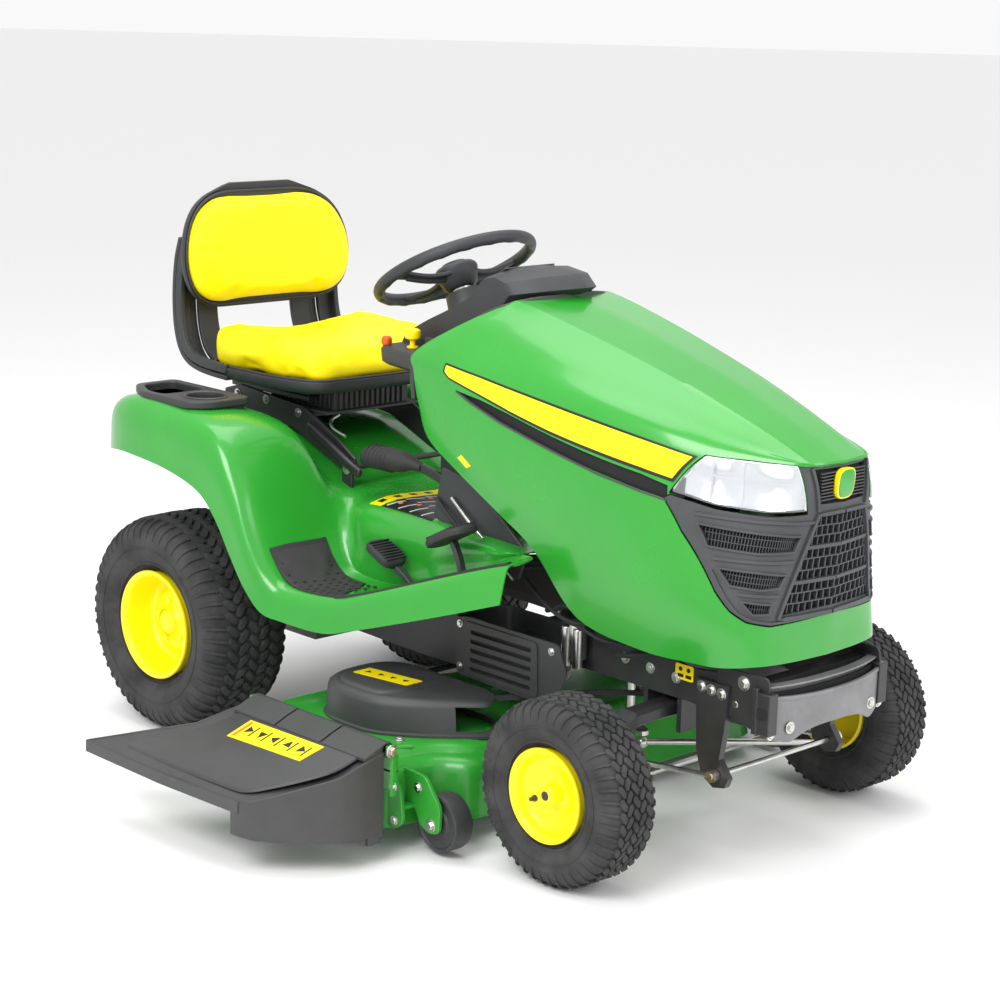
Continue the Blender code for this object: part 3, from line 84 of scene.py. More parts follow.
def surface(name, colour, rough, metal=0.0, vary=0.10, patch=7.0, grain=500.0, strength=0.15, depth=0.0004, spread=0.06,
            dust=0.0, dust_colour=(0.16, 0.15, 0.13), dust_top=0.35, coat=0.0, cells=0.0, stretch=None, second=None, specular=0.5,
            scuff=0.0, scuff_colour=(0.3, 0.3, 0.3), sheen=0.0):
    """A finish with patchy colour, uneven gloss and a fine grain; dust settles on the lower part."""
    m, t, b = nodes_of(name)
    at = node(t, "ShaderNodeTexCoord")
    where = at.outputs["Object"]
    if stretch:
        mapping = node(t, "ShaderNodeMapping")
        mapping.inputs["Scale"].default_value = stretch
        t.links.new(where, mapping.inputs[0])
        fine_where = mapping.outputs[0]
    else:
        fine_where = where
    big = node(t, "ShaderNodeTexNoise", Scale=patch, Detail=4.0, Roughness=0.6)
    t.links.new(where, big.inputs["Vector"])
    fine = node(t, "ShaderNodeTexNoise", Scale=grain, Detail=3.0, Roughness=0.6)
    t.links.new(fine_where, fine.inputs["Vector"])
    lo = tuple(c * (1.0 - vary) for c in colour)
    hi = second or tuple(min(1.0, c * (1.0 + vary)) for c in colour)
    col = mix(t, ranged(t, big.outputs[0], 0.3, 0.7, 0.0, 1.0), lo, hi)
    height = fine.outputs[0]
    if cells:
        v = node(t, "ShaderNodeTexVoronoi", Scale=cells)
        t.links.new(fine_where, v.inputs["Vector"])
        mid = node(t, "ShaderNodeMath", operation="ADD")
        t.links.new(v.outputs["Distance"], mid.inputs[0])
        t.links.new(fine.outputs[0], mid.inputs[1])
        height = mid.outputs[0]
        col = mix(t, ranged(t, v.outputs["Distance"], 0.0, 0.6, 0.12, 0.0), col, tuple(c * 0.45 for c in colour))
    if scuff:
        worn = node(t, "ShaderNodeTexNoise", Scale=38.0, Detail=8.0, Roughness=0.75)
        t.links.new(where, worn.inputs["Vector"])
        col = mix(t, ranged(t, worn.outputs[0], 0.62, 0.74, 0.0, scuff), col, scuff_colour)
    if dust:
        split = node(t, "ShaderNodeSeparateXYZ")
        t.links.new(where, split.inputs[0])
        low = ranged(t, split.outputs[2], 0.0, dust_top, dust, 0.0)
        soft = node(t, "ShaderNodeTexNoise", Scale=26.0, Detail=5.0)
        t.links.new(where, soft.inputs["Vector"])
        prod = node(t, "ShaderNodeMath", operation="MULTIPLY")
        t.links.new(low, prod.inputs[0])
        t.links.new(ranged(t, soft.outputs[0], 0.35, 0.65, 0.2, 1.3), prod.inputs[1])
        col = mix(t, prod.outputs[0], col, dust_colour)
    t.links.new(col, b.inputs["Base Color"])
    r = ranged(t, big.outputs[0], 0.25, 0.75, max(0.02, rough - spread), min(1.0, rough + spread))
    t.links.new(r, b.inputs["Roughness"])
    bump = node(t, "ShaderNodeBump", Strength=strength, Distance=depth)
    t.links.new(height, bump.inputs["Height"])
    t.links.new(bump.outputs[0], b.inputs["Normal"])
    b.inputs["Metallic"].default_value = metal
    b.inputs["Specular IOR Level"].default_value = specular
    if coat:
        b.inputs["Coat Weight"].default_value = coat
        b.inputs["Coat Roughness"].default_value = 0.08
    if sheen:
        b.inputs["Sheen Weight"].default_value = sheen
    return m


GREEN = surface("green_powder_coat", (0.022, 0.300, 0.024), 0.26, vary=0.07, patch=3.0, grain=260.0, strength=0.05, depth=0.0003, coat=0.35, spread=0.04)
GREEN_LOW = surface("green_deck_paint", (0.020, 0.290, 0.022), 0.34, vary=0.10, patch=6.0, grain=180.0, strength=0.10, depth=0.0004, coat=0.2, dust=0.10, dust_top=0.25, scuff=0.12, scuff_colour=(0.05, 0.16, 0.05))
DARK_GREEN = surface("green_in_shade", (0.010, 0.130, 0.012), 0.5, grain=200.0)
YELLOW = surface("yellow_enamel", (1.0, 0.80, 0.0), 0.36, vary=0.03, patch=9.0, grain=240.0, strength=0.06, coat=0.12, second=(1.0, 0.83, 0.001))
VINYL = surface("yellow_vinyl", (1.0, 0.80, 0.0), 0.52, vary=0.025, patch=8.0, grain=900.0, strength=0.22, depth=0.0005, cells=620.0, second=(1.0, 0.84, 0.001), sheen=0.0, specular=0.3)
YELLOW_LABEL = surface("yellow_printed_film", (1.0, 0.76, 0.0), 0.30, vary=0.03, patch=20.0, grain=300.0, strength=0.03, second=(1.0, 0.80, 0.0))
INK = surface("black_printed_film", (0.012, 0.012, 0.013), 0.35, grain=300.0, strength=0.04)
WHITE_INK = surface("pale_printed_film", (0.62, 0.63, 0.65), 0.35, grain=300.0, strength=0.04)
ORANGE_INK = surface("orange_printed_film", (0.85, 0.20, 0.02), 0.35, grain=300.0, strength=0.04)
PLASTIC = surface("black_moulded_plastic", (0.030, 0.031, 0.034), 0.50, vary=0.16, patch=9.0, grain=1300.0, strength=0.30, depth=0.0004, cells=1500.0, dust=0.05, dust_top=0.5)
GRILLE_PLASTIC = surface("charcoal_grille_plastic", (0.052, 0.054, 0.058), 0.42, vary=0.10, patch=9.0, grain=1100.0, strength=0.18, depth=0.0003)
GREY_PLASTIC = surface("dark_grey_moulded_plastic", (0.040, 0.040, 0.042), 0.46, vary=0.14, patch=7.0, grain=900.0, strength=0.28, depth=0.0005, cells=1000.0, dust=0.08, dust_top=0.3)
RECESS = surface("unlit_recess", (0.006, 0.006, 0.007), 0.8, grain=300.0)
PEDAL = surface("ribbed_pedal_rubber", (0.024, 0.024, 0.026), 0.68, vary=0.15, grain=700.0, strength=0.35, cells=900.0)
MAT = surface("foot_mat_rubber", (0.020, 0.020, 0.021), 0.72, vary=0.18, grain=600.0, strength=0.4, dust=0.10, dust_top=0.8)
FRAME_PAINT = surface("black_chassis_paint", (0.022, 0.022, 0.024), 0.42, vary=0.2, patch=8.0, grain=220.0, strength=0.18, depth=0.0005, coat=0.1, dust=0.16, dust_top=0.45, scuff=0.10, scuff_colour=(0.12, 0.12, 0.12))
PLATE = surface("pressed_grey_steel", (0.20, 0.20, 0.205), 0.44, metal=0.35, vary=0.22, patch=10.0, grain=160.0, strength=0.22, depth=0.0006, stretch=(1.0, 0.2, 1.0), scuff=0.35, scuff_colour=(0.42, 0.42, 0.42))
ZINC = surface("zinc_plated_steel", (0.58, 0.58, 0.57), 0.30, metal=1.0, vary=0.14, patch=22.0, grain=420.0, strength=0.12, second=(0.70, 0.69, 0.64))
BLADE = surface("ground_blade_steel", (0.34, 0.34, 0.34), 0.38, metal=1.0, vary=0.2, grain=300.0, strength=0.25, stretch=(0.2, 1.0, 1.0), dust=0.3, dust_top=0.3)
CAST = surface("rough_cast_alloy", (0.20, 0.20, 0.205), 0.56, metal=0.75, vary=0.22, patch=12.0, grain=260.0, strength=0.55, depth=0.0010, dust=0.2, dust_top=0.6)
ENGINE_BLACK = surface("engine_blower_housing", (0.018, 0.018, 0.019), 0.5, vary=0.2, grain=380.0, strength=0.3, dust=0.1, dust_top=0.7)
EXHAUST = surface("heat_stained_steel", (0.16, 0.13, 0.11), 0.52, metal=0.8, vary=0.35, patch=14.0, grain=240.0, strength=0.3, second=(0.24, 0.17, 0.12))
TYRE = surface("dusty_tyre_rubber", (0.030, 0.030, 0.032), 0.80, vary=0.30, patch=16.0, grain=330.0, strength=0.45, depth=0.0008, dust=0.0, second=(0.058, 0.057, 0.058), specular=0.35)
BELT = surface("wrapped_belt_rubber", (0.020, 0.020, 0.021), 0.78, vary=0.2, grain=700.0, strength=0.4)
REFLECT = surface("bright_lamp_reflector", (0.88, 0.89, 0.91), 0.16, metal=0.85, vary=0.04, patch=14.0, grain=160.0, strength=0.10, depth=0.0006)
BRASS = surface("yellow_zinc_nut", (0.62, 0.47, 0.20), 0.34, metal=1.0, vary=0.2, patch=30.0, grain=400.0)
RED = surface("red_orange_moulding", (0.62, 0.09, 0.01), 0.4, vary=0.1, grain=600.0)
BADGE_GREEN = surface("badge_green", (0.030, 0.32, 0.030), 0.22, vary=0.06, grain=300.0, strength=0.05, coat=0.5)


def lens():
    m, t, b = nodes_of("clear_lamp_cover")
    at = node(t, "ShaderNodeTexCoord")
    flute = node(t, "ShaderNodeTexWave", Scale=42.0, Distortion=0.6, Detail=2.0)
    t.links.new(at.outputs["Object"], flute.inputs["Vector"])
    haze = node(t, "ShaderNodeTexNoise", Scale=30.0, Detail=4.0)
    t.links.new(at.outputs["Object"], haze.inputs["Vector"])
    t.links.new(ranged(t, haze.outputs[0], 0.3, 0.7, 0.03, 0.14), b.inputs["Roughness"])
    t.links.new(mix(t, haze.outputs[0], (0.93, 0.95, 0.98), (0.99, 1.0, 1.0)), b.inputs["Base Color"])
    bump = node(t, "ShaderNodeBump", Strength=0.10, Distance=0.0008)
    t.links.new(flute.outputs[0], bump.inputs["Height"])
    t.links.new(bump.outputs[0], b.inputs["Normal"])
    b.inputs["Transmission Weight"].default_value = 0.90
    b.inputs["IOR"].default_value = 1.30
    return m


LENS = lens()


# ================================================================ mesh helpers (tractor frame, metres)
def from_rings(rings, closed=False, caps=True):
    bm = bmesh.new()
    rows = [[bm.verts.new(p) for p in ring] for ring in rings]
    n = len(rows[0])
    pairs = list(zip(rows, rows[1:]))
    if closed:
        pairs.append((rows[-1], rows[0]))
    for a, b in pairs:
        for i in range(n):
            j = (i + 1) % n
            bm.faces.new((a[i], a[j], b[j], b[i]))
    if caps and not closed:
        bm.faces.new(rows[0][::-1])
        bm.faces.new(rows[-1])
    bmesh.ops.recalc_face_normals(bm, faces=bm.faces)
    return bm


def place(axis, a, b, h):
    return {"x": (h, a, b), "y": (a, h, b), "z": (a, b, h)}[axis]


def prism(points, axis, low, high):
    return from_rings([[place(axis, a, b, h) for a, b in points] for h in (low, high)])


def box(x0, x1, y0, y1, z0, z1):
    x0, x1 = min(x0, x1), max(x0, x1)
    y0, y1 = min(y0, y1), max(y0, y1)
    return prism([(x0, y0), (x1, y0), (x1, y1), (x0, y1)], "z", z0, z1)


def circle(cx, cy, r, n, start=0.0):
    return [(cx + r * math.cos(start + 2 * math.pi * i / n), cy + r * math.sin(start + 2 * math.pi * i / n)) for i in range(n)]


def rod(axis, a, b, low, high, r, n=24):
    low, high = min(low, high), max(low, high)
    return prism(circle(a, b, r, n, math.pi / n), axis, low, high)


def turned(profile, axis, centre, n):
    rings = []
    for k in range(n):
        t = 2 * math.pi * k / n
        rings.append([tuple(c + d for c, d in zip(centre, place(axis, r * math.cos(t), r * math.sin(t), h))) for r, h in profile])
    return from_rings(rings, closed=True)


def tube(path, r, n=12, radii=None):
    pts = [Vector(p) for p in path]
    rings, side = [], None
    for i, p in enumerate(pts):
        a = (pts[i] - pts[i - 1]).normalized() if i else (pts[1] - pts[0]).normalized()
        b = (pts[i + 1] - pts[i]).normalized() if i + 1 < len(pts) else a
        t = (a + b).normalized()
        if side is None:
            ref = Vector((0, 0, 1)) if abs(t.z) < 0.9 else Vector((0, 1, 0))
            side = t.cross(ref).normalized()
        else:
            side = (side - t * side.dot(t)).normalized()
        other = t.cross(side)
        rr = radii[i] if radii else r
        rings.append([p + rr * (math.cos(2 * math.pi * k / n) * side + math.sin(2 * math.pi * k / n) * other) for k in range(n)])
    return from_rings(rings)


def curve_points(points, per=6):
    """Catmull-Rom points through the given ones."""
    pts = [Vector(p) for p in points]
    out = []
    for i in range(len(pts) - 1):
        p1, p2 = pts[i], pts[i + 1]
        p0 = pts[i - 1] if i else 2 * p1 - p2
        p3 = pts[i + 2] if i + 2 < len(pts) else 2 * p2 - p1
        for k in range(per):
            t = k / per
            out.append(0.5 * ((2 * p1) + (p2 - p0) * t + (2 * p0 - 5 * p1 + 4 * p2 - p3) * t * t + (3 * p1 - p0 - 3 * p2 + p3) * t ** 3))
    out.append(pts[-1])
    return out


def bar(path, width, height, up=(0, 0, 1)):
    pts = [Vector(p) for p in path]
    up = Vector(up)
    rings = []
    for i, p in enumerate(pts):
        a = pts[min(i + 1, len(pts) - 1)] - pts[max(i - 1, 0)]
        side = a.cross(up).normalized()
        over = side.cross(a).normalized()
        w = width[i] if isinstance(width, (list, tuple)) else width
        h = height[i] if isinstance(height, (list, tuple)) else height
        rings.append([p + side * (sx * w / 2) + over * (sz * h / 2) for sx, sz in ((-1, -1), (1, -1), (1, 1), (-1, 1))])
    return from_rings(rings)


def mirrored(bm):
    other = bm.copy()
    for v in other.verts:
        v.co.y = -v.co.y
    bmesh.ops.reverse_faces(other, faces=other.faces)
    return other


def join(*bms):
    """Puts several closed shapes into one mesh without welding them."""
    out = bmesh.new()
    for bm in bms:
        mesh = bpy.data.meshes.new("part")
        bm.to_mesh(mesh)
        bm.free()
        out.from_mesh(mesh)
        bpy.data.meshes.remove(mesh)
    return out


def moved(bm, matrix):
    bm.transform(matrix)
    return bm


def boolean(base, other, operation="UNION"):
    objs = []
    for bm in (base, other):
        bmesh.ops.recalc_face_normals(bm, faces=bm.faces)
        mesh = bpy.data.meshes.new("tmp")
        bm.to_mesh(mesh)
        bm.free()
        obj = bpy.data.objects.new("tmp", mesh)
        bpy.context.scene.collection.objects.link(obj)
        objs.append(obj)
    mod = objs[0].modifiers.new("cut", "BOOLEAN")
    mod.object = objs[1]
    mod.operation = operation
    mod.solver = "EXACT"
    bpy.context.view_layer.update()
    graph = bpy.context.evaluated_depsgraph_get()
    result = bmesh.new()
    result.from_mesh(objs[0].evaluated_get(graph).to_mesh())
    for obj in objs:
        mesh = obj.data
        bpy.data.objects.remove(obj)
        bpy.data.meshes.remove(mesh)
    bmesh.ops.remove_doubles(result, verts=result.verts, dist=1e-6)
    return result


def union(first, *rest):
    for other in rest:
        first = boolean(first, other, "UNION")
    return first


def cut(first, *rest):
    for other in rest:
        first = boolean(first, other, "DIFFERENCE")
    return first


def add(name, bm, mat, body, replaces=(), bevel=0.0, segments=2, sub=0, smooth=35, tractor=True, recalc=True):
    """Makes the object name from a shape drawn in the tractor frame and lets it ride on a body."""
    if recalc:
        bmesh.ops.recalc_face_normals(bm, faces=bm.faces)
    if tractor:
        bm.transform(Matrix.Translation(SHIFT))
    mesh = bpy.data.meshes.new(name)
    bm.to_mesh(mesh)
    bm.free()
    mesh.shade_smooth()
    if not sub:
        mesh.set_sharp_from_angle(angle=math.radians(smooth))
    obj = bpy.data.objects.new(name, mesh)
    bpy.context.scene.collection.objects.link(obj)
    for m in mat if isinstance(mat, (list, tuple)) else (mat,):
        mesh.materials.append(m)
    if bevel:
        mod = obj.modifiers.new("soft_edges", "BEVEL")
        mod.width = bevel
        mod.segments = segments
        mod.limit_method = "ANGLE"
        mod.angle_limit = math.radians(32)
        mod.use_clamp_overlap = True
        mod.harden_normals = False
    if sub:
        mod = obj.modifiers.new("smooth", "SUBSURF")
        mod.levels = mod.render_levels = sub
    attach(obj, body)
    if replaces:
        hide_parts(*replaces)
    return obj


def grow(points, d):
    area = sum(a[0] * b[1] - b[0] * a[1] for a, b in zip(points, points[1:] + points[:1]))
    s = 1.0 if area > 0 else -1.0
    out = []
    n = len(points)
    for i in range(n):
        p, q, r = (Vector(points[(i + k - 1) % n]) for k in range(3))
        a, b = (q - p).normalized(), (r - q).normalized()
        na, nb = Vector((a.y, -a.x)) * s, Vector((b.y, -b.x)) * s
        m = (na + nb).normalized()
        out.append(tuple(q + m * (d / max(0.35, m.dot(na)))))
    return out


def rounded_polygon(points, r, steps=4):
    """Polygon with its corners rounded to about r."""
    out = []
    n = len(points)
    for i in range(n):
        p, q, s = (Vector(points[(i + k - 1) % n]) for k in range(3))
        a, b = (p - q), (s - q)
        d = min(r, a.length * 0.45, b.length * 0.45)
        e, f = q + a.normalized() * d, q + b.normalized() * d
        for k in range(steps + 1):
            t = k / steps
            out.append(tuple((1 - t) ** 2 * e + 2 * t * (1 - t) * q + t * t * f))
    return out


def bolt(p, axis, r=0.009, h=0.006, washer=True):
    """Hexagon head on a washer; axis is the direction it faces."""
    z = Vector(axis).normalized()
    rot = z.to_track_quat("Z", "Y").to_matrix().to_4x4()
    rings = [[(rr * math.cos(math.pi * k / 3 + 0.3), rr * math.sin(math.pi * k / 3 + 0.3), hh) for k in range(6)] for rr, hh in ((r, 0.0015), (r, h * 0.8), (r * 0.86, h))]
    head = from_rings(rings)
    shapes = [head]
    if washer:
        rings = [[(rr * math.cos(math.pi * k / 10), rr * math.sin(math.pi * k / 10), hh) for k in range(20)] for rr, hh in ((r * 1.5, -0.001), (r * 1.5, 0.0012), (r * 1.42, 0.0018))]
        shapes.append(from_rings(rings))
    return moved(join(*shapes), Matrix.Translation(Vector(p)) @ rot)


# ================================================================ control surfaces
def spline(P, u):
    n = len(P) - 1
    i = min(max(int(u), 0), n - 1)
    t = u - i
    p1, p2 = P[i], P[i + 1]
    p0 = P[i - 1] if i > 0 else 2 * p1 - p2
    p3 = P[i + 2] if i + 2 <= n else 2 * p2 - p1
    return 0.5 * ((2 * p1) + (p2 - p0) * t + (2 * p0 - 5 * p1 + 4 * p2 - p3) * t * t + (3 * p1 - p0 - 3 * p2 + p3) * t ** 3)


class Skin:
    """A smooth sheet through rows of points, creased along the rows named in creases."""

    def __init__(self, rows, creases=(), sign=1.0):
        self.rows = [[Vector(p) for p in row] for row in rows]
        self.parts = [0, *creases, len(rows) - 1]
        self.sign = sign
        self.last_u = len(rows[0]) - 1
        self.last_v = len(rows) - 1

    def point(self, u, v):
        u = min(max(u, 0.0), self.last_u)
        v = min(max(v, 0.0), self.last_v)
        for a, b in zip(self.parts, self.parts[1:]):
            if v <= b:
                break
        return spline([spline(self.rows[k], u) for k in range(a, b + 1)], v - a)

    def normal(self, u, v):
        h = 0.04
        u = min(max(u, h), self.last_u - h)
        v = min(max(v, h), self.last_v - h)
        du = self.point(u + h, v) - self.point(u - h, v)
        dv = self.point(u, v + h) - self.point(u, v - h)
        return du.cross(dv).normalized() * self.sign

    def off(self, u, v, d):
        q = self.point(u, v) + self.normal(u, v) * d
        return q

    def wrap(self, bm, outer, inner, flat=True):
        for v in bm.verts:
            u, w, depth = v.co
            p = self.point(u, w)
            q = p + self.normal(u, w) * (outer + (inner - outer) * depth)
            if flat and abs(p.y) < 1e-6:
                q.y = 0.0
            v.co = q
        return bm

    def ribbon(self, path, width, outer, inner):
        """A square-edged strip along a path of (u, v) points; width in metres."""
        rings = []
        pts = [self.point(u, v) for u, v in path]
        for i, (u, v) in enumerate(path):
            n = self.normal(u, v)
            a = (pts[min(i + 1, len(pts) - 1)] - pts[max(i - 1, 0)]).normalized()
            s = a.cross(n).normalized() * (width / 2)
            p = pts[i]
            rings.append([p + s + n * outer, p - s + n * outer, p - s * 1.1 + n * inner, p + s * 1.1 + n * inner])
        return from_rings(rings)


def slab(us, vs):
    bm = bmesh.new()
    top = [[bm.verts.new((u, v, 0.0)) for u in us] for v in vs]
    low = [[bm.verts.new((u, v, 1.0)) for u in us] for v in vs]
    nv, nu = len(vs), len(us)
    for i in range(nv - 1):
        for j in range(nu - 1):
            bm.faces.new((top[i][j], top[i][j + 1], top[i + 1][j + 1], top[i + 1][j]))
            bm.faces.new((low[i][j], low[i + 1][j], low[i + 1][j + 1], low[i][j + 1]))
    for i in range(nv - 1):
        bm.faces.new((top[i][0], top[i + 1][0], low[i + 1][0], low[i][0]))
        bm.faces.new((top[i][-1], low[i][-1], low[i + 1][-1], top[i + 1][-1]))
    for j in range(nu - 1):
        bm.faces.new((top[0][j], low[0][j], low[0][j + 1], top[0][j + 1]))
        bm.faces.new((top[-1][j], top[-1][j + 1], low[-1][j + 1], low[-1][j]))
    bmesh.ops.recalc_face_normals(bm, faces=bm.faces)
    return bm


def steps(a, b, n):
    return [a + (b - a) * k / n for k in range(n + 1)]


def join_mirror(bm):
    rim = [f for f in bm.faces if all(abs(v.co.y) < 1e-6 for v in f.verts)]
    bmesh.ops.delete(bm, geom=rim, context="FACES")
    other = mirrored(bm)
    mesh = bpy.data.meshes.new("half")
    other.to_mesh(mesh)
    other.free()
    bm.from_mesh(mesh)
    bpy.data.meshes.remove(mesh)
    bmesh.ops.remove_doubles(bm, verts=bm.verts, dist=2e-6)
    bmesh.ops.recalc_face_normals(bm, faces=bm.faces)
    return bm


def both(bm):
    return join(bm, mirrored(bm))


# ================================================================ hood
HOOD_ROWS = [
    [(0.612, 0.243, 0.843), (0.650, 0.246, 0.768), (0.747, 0.250, 0.712), (0.872, 0.252, 0.648), (0.985, 0.250, 0.585), (1.110, 0.246, 0.468), (1.282, 0.240, 0.438), (1.400, 0.230, 0.438), (1.470, 0.217, 0.440), (1.534, 0.184, 0.450), (1.555, 0.110, 0.450), (1.562, 0.0, 0.449)],
    [(0.608, 0.246, 0.868), (0.652, 0.250, 0.808), (0.750, 0.256, 0.764), (0.870, 0.259, 0.714), (1.000, 0.258, 0.668), (1.130, 0.253, 0.585), (1.282, 0.245, 0.560), (1.400, 0.232, 0.550), (1.470, 0.214, 0.545), (1.528, 0.178, 0.541), (1.552, 0.120, 0.538), (1.566, 0.0, 0.536)],
    [(0.602, 0.248, 0.908), (0.655, 0.252, 0.882), (0.750, 0.257, 0.856), (0.870, 0.258, 0.830), (1.000, 0.256, 0.802), (1.140, 0.248, 0.775), (1.282, 0.228, 0.760), (1.390, 0.200, 0.754), (1.470, 0.168, 0.751), (1.535, 0.134, 0.750), (1.572, 0.095, 0.748), (1.584, 0.0, 0.745)],
    [(0.600, 0.245, 0.946), (0.660, 0.248, 0.945), (0.750, 0.250, 0.934), (0.870, 0.249, 0.920), (1.000, 0.243, 0.905), (1.140, 0.232, 0.888), (1.280, 0.210, 0.868), (1.384, 0.180, 0.850), (1.460, 0.150, 0.844), (1.525, 0.120, 0.840), (1.564, 0.086, 0.837), (1.577, 0.0, 0.836)],
    [(0.694, 0.205, 1.012), (0.735, 0.206, 1.010), (0.800, 0.205, 1.002), (0.900, 0.202, 0.987), (1.015, 0.195, 0.965), (1.145, 0.183, 0.940), (1.280, 0.164, 0.912), (1.388, 0.142, 0.885), (1.466, 0.122, 0.865), (1.527, 0.103, 0.850), (1.567, 0.080, 0.840), (1.5775, 0.0, 0.839)],
    [(0.800, 0.140, 1.073), (0.822, 0.139, 1.070), (0.860, 0.137, 1.063), (0.930, 0.133, 1.047), (1.030, 0.127, 1.022), (1.150, 0.118, 0.989), (1.280, 0.108, 0.950), (1.390, 0.098, 0.912), (1.470, 0.090, 0.882), (1.530, 0.083, 0.857), (1.570, 0.075, 0.841), (1.578, 0.0, 0.842)],
    [(0.812, 0.0, 1.080), (0.832, 0.0, 1.077), (0.870, 0.0, 1.070), (0.940, 0.0, 1.054), (1.040, 0.0, 1.029), (1.158, 0.0, 0.996), (1.286, 0.0, 0.957), (1.392, 0.0, 0.918), (1.472, 0.0, 0.887), (1.532, 0.0, 0.861), (1.571, 0.0, 0.845), (1.578, 0.0, 0.842)],
]
hood = Skin([[(x, y, z) for x, y, z in row] for row in HOOD_ROWS], creases=(5,), sign=-1.0)
LAMP = [(6.38, 2.06), (6.98, 2.88), (8.20, 2.96), (9.52, 3.02), (9.92, 2.03), (8.70, 1.97), (7.30, 1.98)]
GRILLE = [(6.23, 1.97), (6.30, 1.90), (6.65, 1.66), (7.17, 1.42), (7.63, 1.22), (8.17, 1.05), (8.66, 0.95), (9.47, 0.91), (10.33, 0.95), (11.2, 1.00), (11.2, 3.01), (10.0, 3.01),
          (9.56, 3.03), (9.96, 2.01), (8.70, 1.95), (7.30, 1.96), (6.36, 2.03)]
SLOT = [(1.95, 2.36), (2.37, 2.23), (3.10, 2.11), (4.40, 2.06), (5.80, 1.98), (6.32, 1.95), (6.30, 2.13), (5.80, 2.20), (4.17, 2.30), (3.33, 2.36), (2.63, 2.40)]
us = steps(0, 11, 66)
vs = steps(0, 6, 42)
sheet = slab(us, vs)
sheet = cut(sheet, prism(grow(LAMP, 0.03), "z", -1, 2), prism(GRILLE, "z", -1, 2), prism(SLOT, "z", -1, 2))
hood_skin = join_mirror(hood.wrap(sheet, 0.0, -0.004))
hood_obj = add("hood_panel", hood_skin, GREEN, "bonnet", ["hood"], smooth=28, recalc=False)
mod = hood_obj.modifiers.new("edge", "BEVEL")
mod.width, mod.segments, mod.limit_method, mod.angle_limit = 0.0012, 2, "ANGLE", math.radians(50)

# near-black sheet seen through the vent slot: painted shade for the dark inside under the hood
slot_shade_sheet = slab(steps(1.6, 6.6, 24), steps(1.85, 2.60, 4))
add("vent_slot_painted_shade", both(hood.wrap(slot_shade_sheet, -0.008, -0.012, False)), RECESS, "bonnet")
# thin grey lip along the slot's lower edge
lip = [(1.98, 2.33), (2.37, 2.215), (3.10, 2.095), (3.8, 2.07), (4.40, 2.045), (5.1, 2.01), (5.80, 1.965), (6.30, 1.935)]
lip = [tuple(p) for p in (Vector((a, b)) for a, b in lip)]
add("vent_slot_lip", both(hood.ribbon(lip, 0.004, 0.0012, -0.006)), GRILLE_PLASTIC, "bonnet", bevel=0.0006)

STRIPE_TOP = [(1.62, 2.93), (2.57, 2.93), (3.70, 2.89), (5.03, 2.84), (5.73, 2.81), (6.72, 2.76)]
STRIPE_LOW = [(6.37, 2.25), (5.77, 2.30), (5.10, 2.34), (4.17, 2.38), (3.33, 2.44), (2.37, 2.56), (1.77, 2.63), (1.62, 2.74)]


def decal(region, lift, thick, us, vs, surf=hood):
    bm = slab(us, vs)
    bm = boolean(bm, prism(region, "z", -1, 2), "INTERSECT")
    return surf.wrap(bm, lift, lift - thick, False)


stripe = STRIPE_TOP + STRIPE_LOW
border = grow(stripe, 0.055)
add("side_stripe_border", both(decal(border, 0.0005, 0.0012, steps(1.4, 7.0, 34), steps(2.0, 3.0, 8))), INK, "bonnet", smooth=20)
add("side_stripe", both(decal(stripe, 0.0010, 0.0010, steps(1.4, 7.0, 34), steps(2.0, 3.0, 8))), YELLOW_LABEL, "bonnet", smooth=20)
marker = [(2.05, 0.70), (2.30, 0.62), (2.42, 0.84), (2.16, 0.92)]
add("hood_latch_marker", both(decal(marker, 0.0012, 0.002, steps(1.9, 2.6, 4), steps(0.5, 1.1, 4))), YELLOW_LABEL, "bonnet")

# grille: backing (a near-black sheet of painted shade behind the openings), frame sheet with its openings, raised rims
# and mesh
back = boolean(slab(steps(6, 11, 30), steps(0.8, 3.0, 12)), prism(grow(GRILLE, -0.03), "z", -1, 2), "INTERSECT")
add("grille_painted_shade_sheet", join_mirror(hood.wrap(back, -0.012, -0.014)), RECESS, "bonnet", recalc=False)
VENTS = [
    [(6.97, 1.77), (8.5, 1.76), (9.90, 1.765), (9.78, 1.63), (8.6, 1.59), (7.27, 1.59)],
    [(7.62, 1.43), (8.7, 1.44), (9.68, 1.44), (9.53, 1.33), (8.9, 1.30), (8.05, 1.30)],
    [(8.42, 1.18), (9.36, 1.18), (9.36, 1.08), (8.82, 1.06)],
]
MESH = [(10.36, 1.95), (11.2, 1.98), (11.2, 1.10), (9.80, 1.06)]
BADGE = [(10.12, 2.90), (11.2, 2.90), (11.2, 2.12), (10.34, 2.12)]
front = boolean(slab(steps(6, 11, 40), steps(0.8, 3.1, 20)), prism(grow(GRILLE, -0.02), "z", -1, 2), "INTERSECT")
front = cut(front, *[prism(v, "z", -1, 2) for v in VENTS], prism(MESH, "z", -1, 2), prism(BADGE, "z", -1, 2))
add("grille_frame", join_mirror(hood.wrap(front, -0.0015, -0.009)), GRILLE_PLASTIC, "bonnet", ["grille"], bevel=0.0012, recalc=False)


def follow(points, per=5):
    out = []
    for a, b in zip(points, points[1:]):
        for k in range(per):
            out.append((a[0] + (b[0] - a[0]) * k / per, a[1] + (b[1] - a[1]) * k / per))
    out.append(points[-1])
    return out


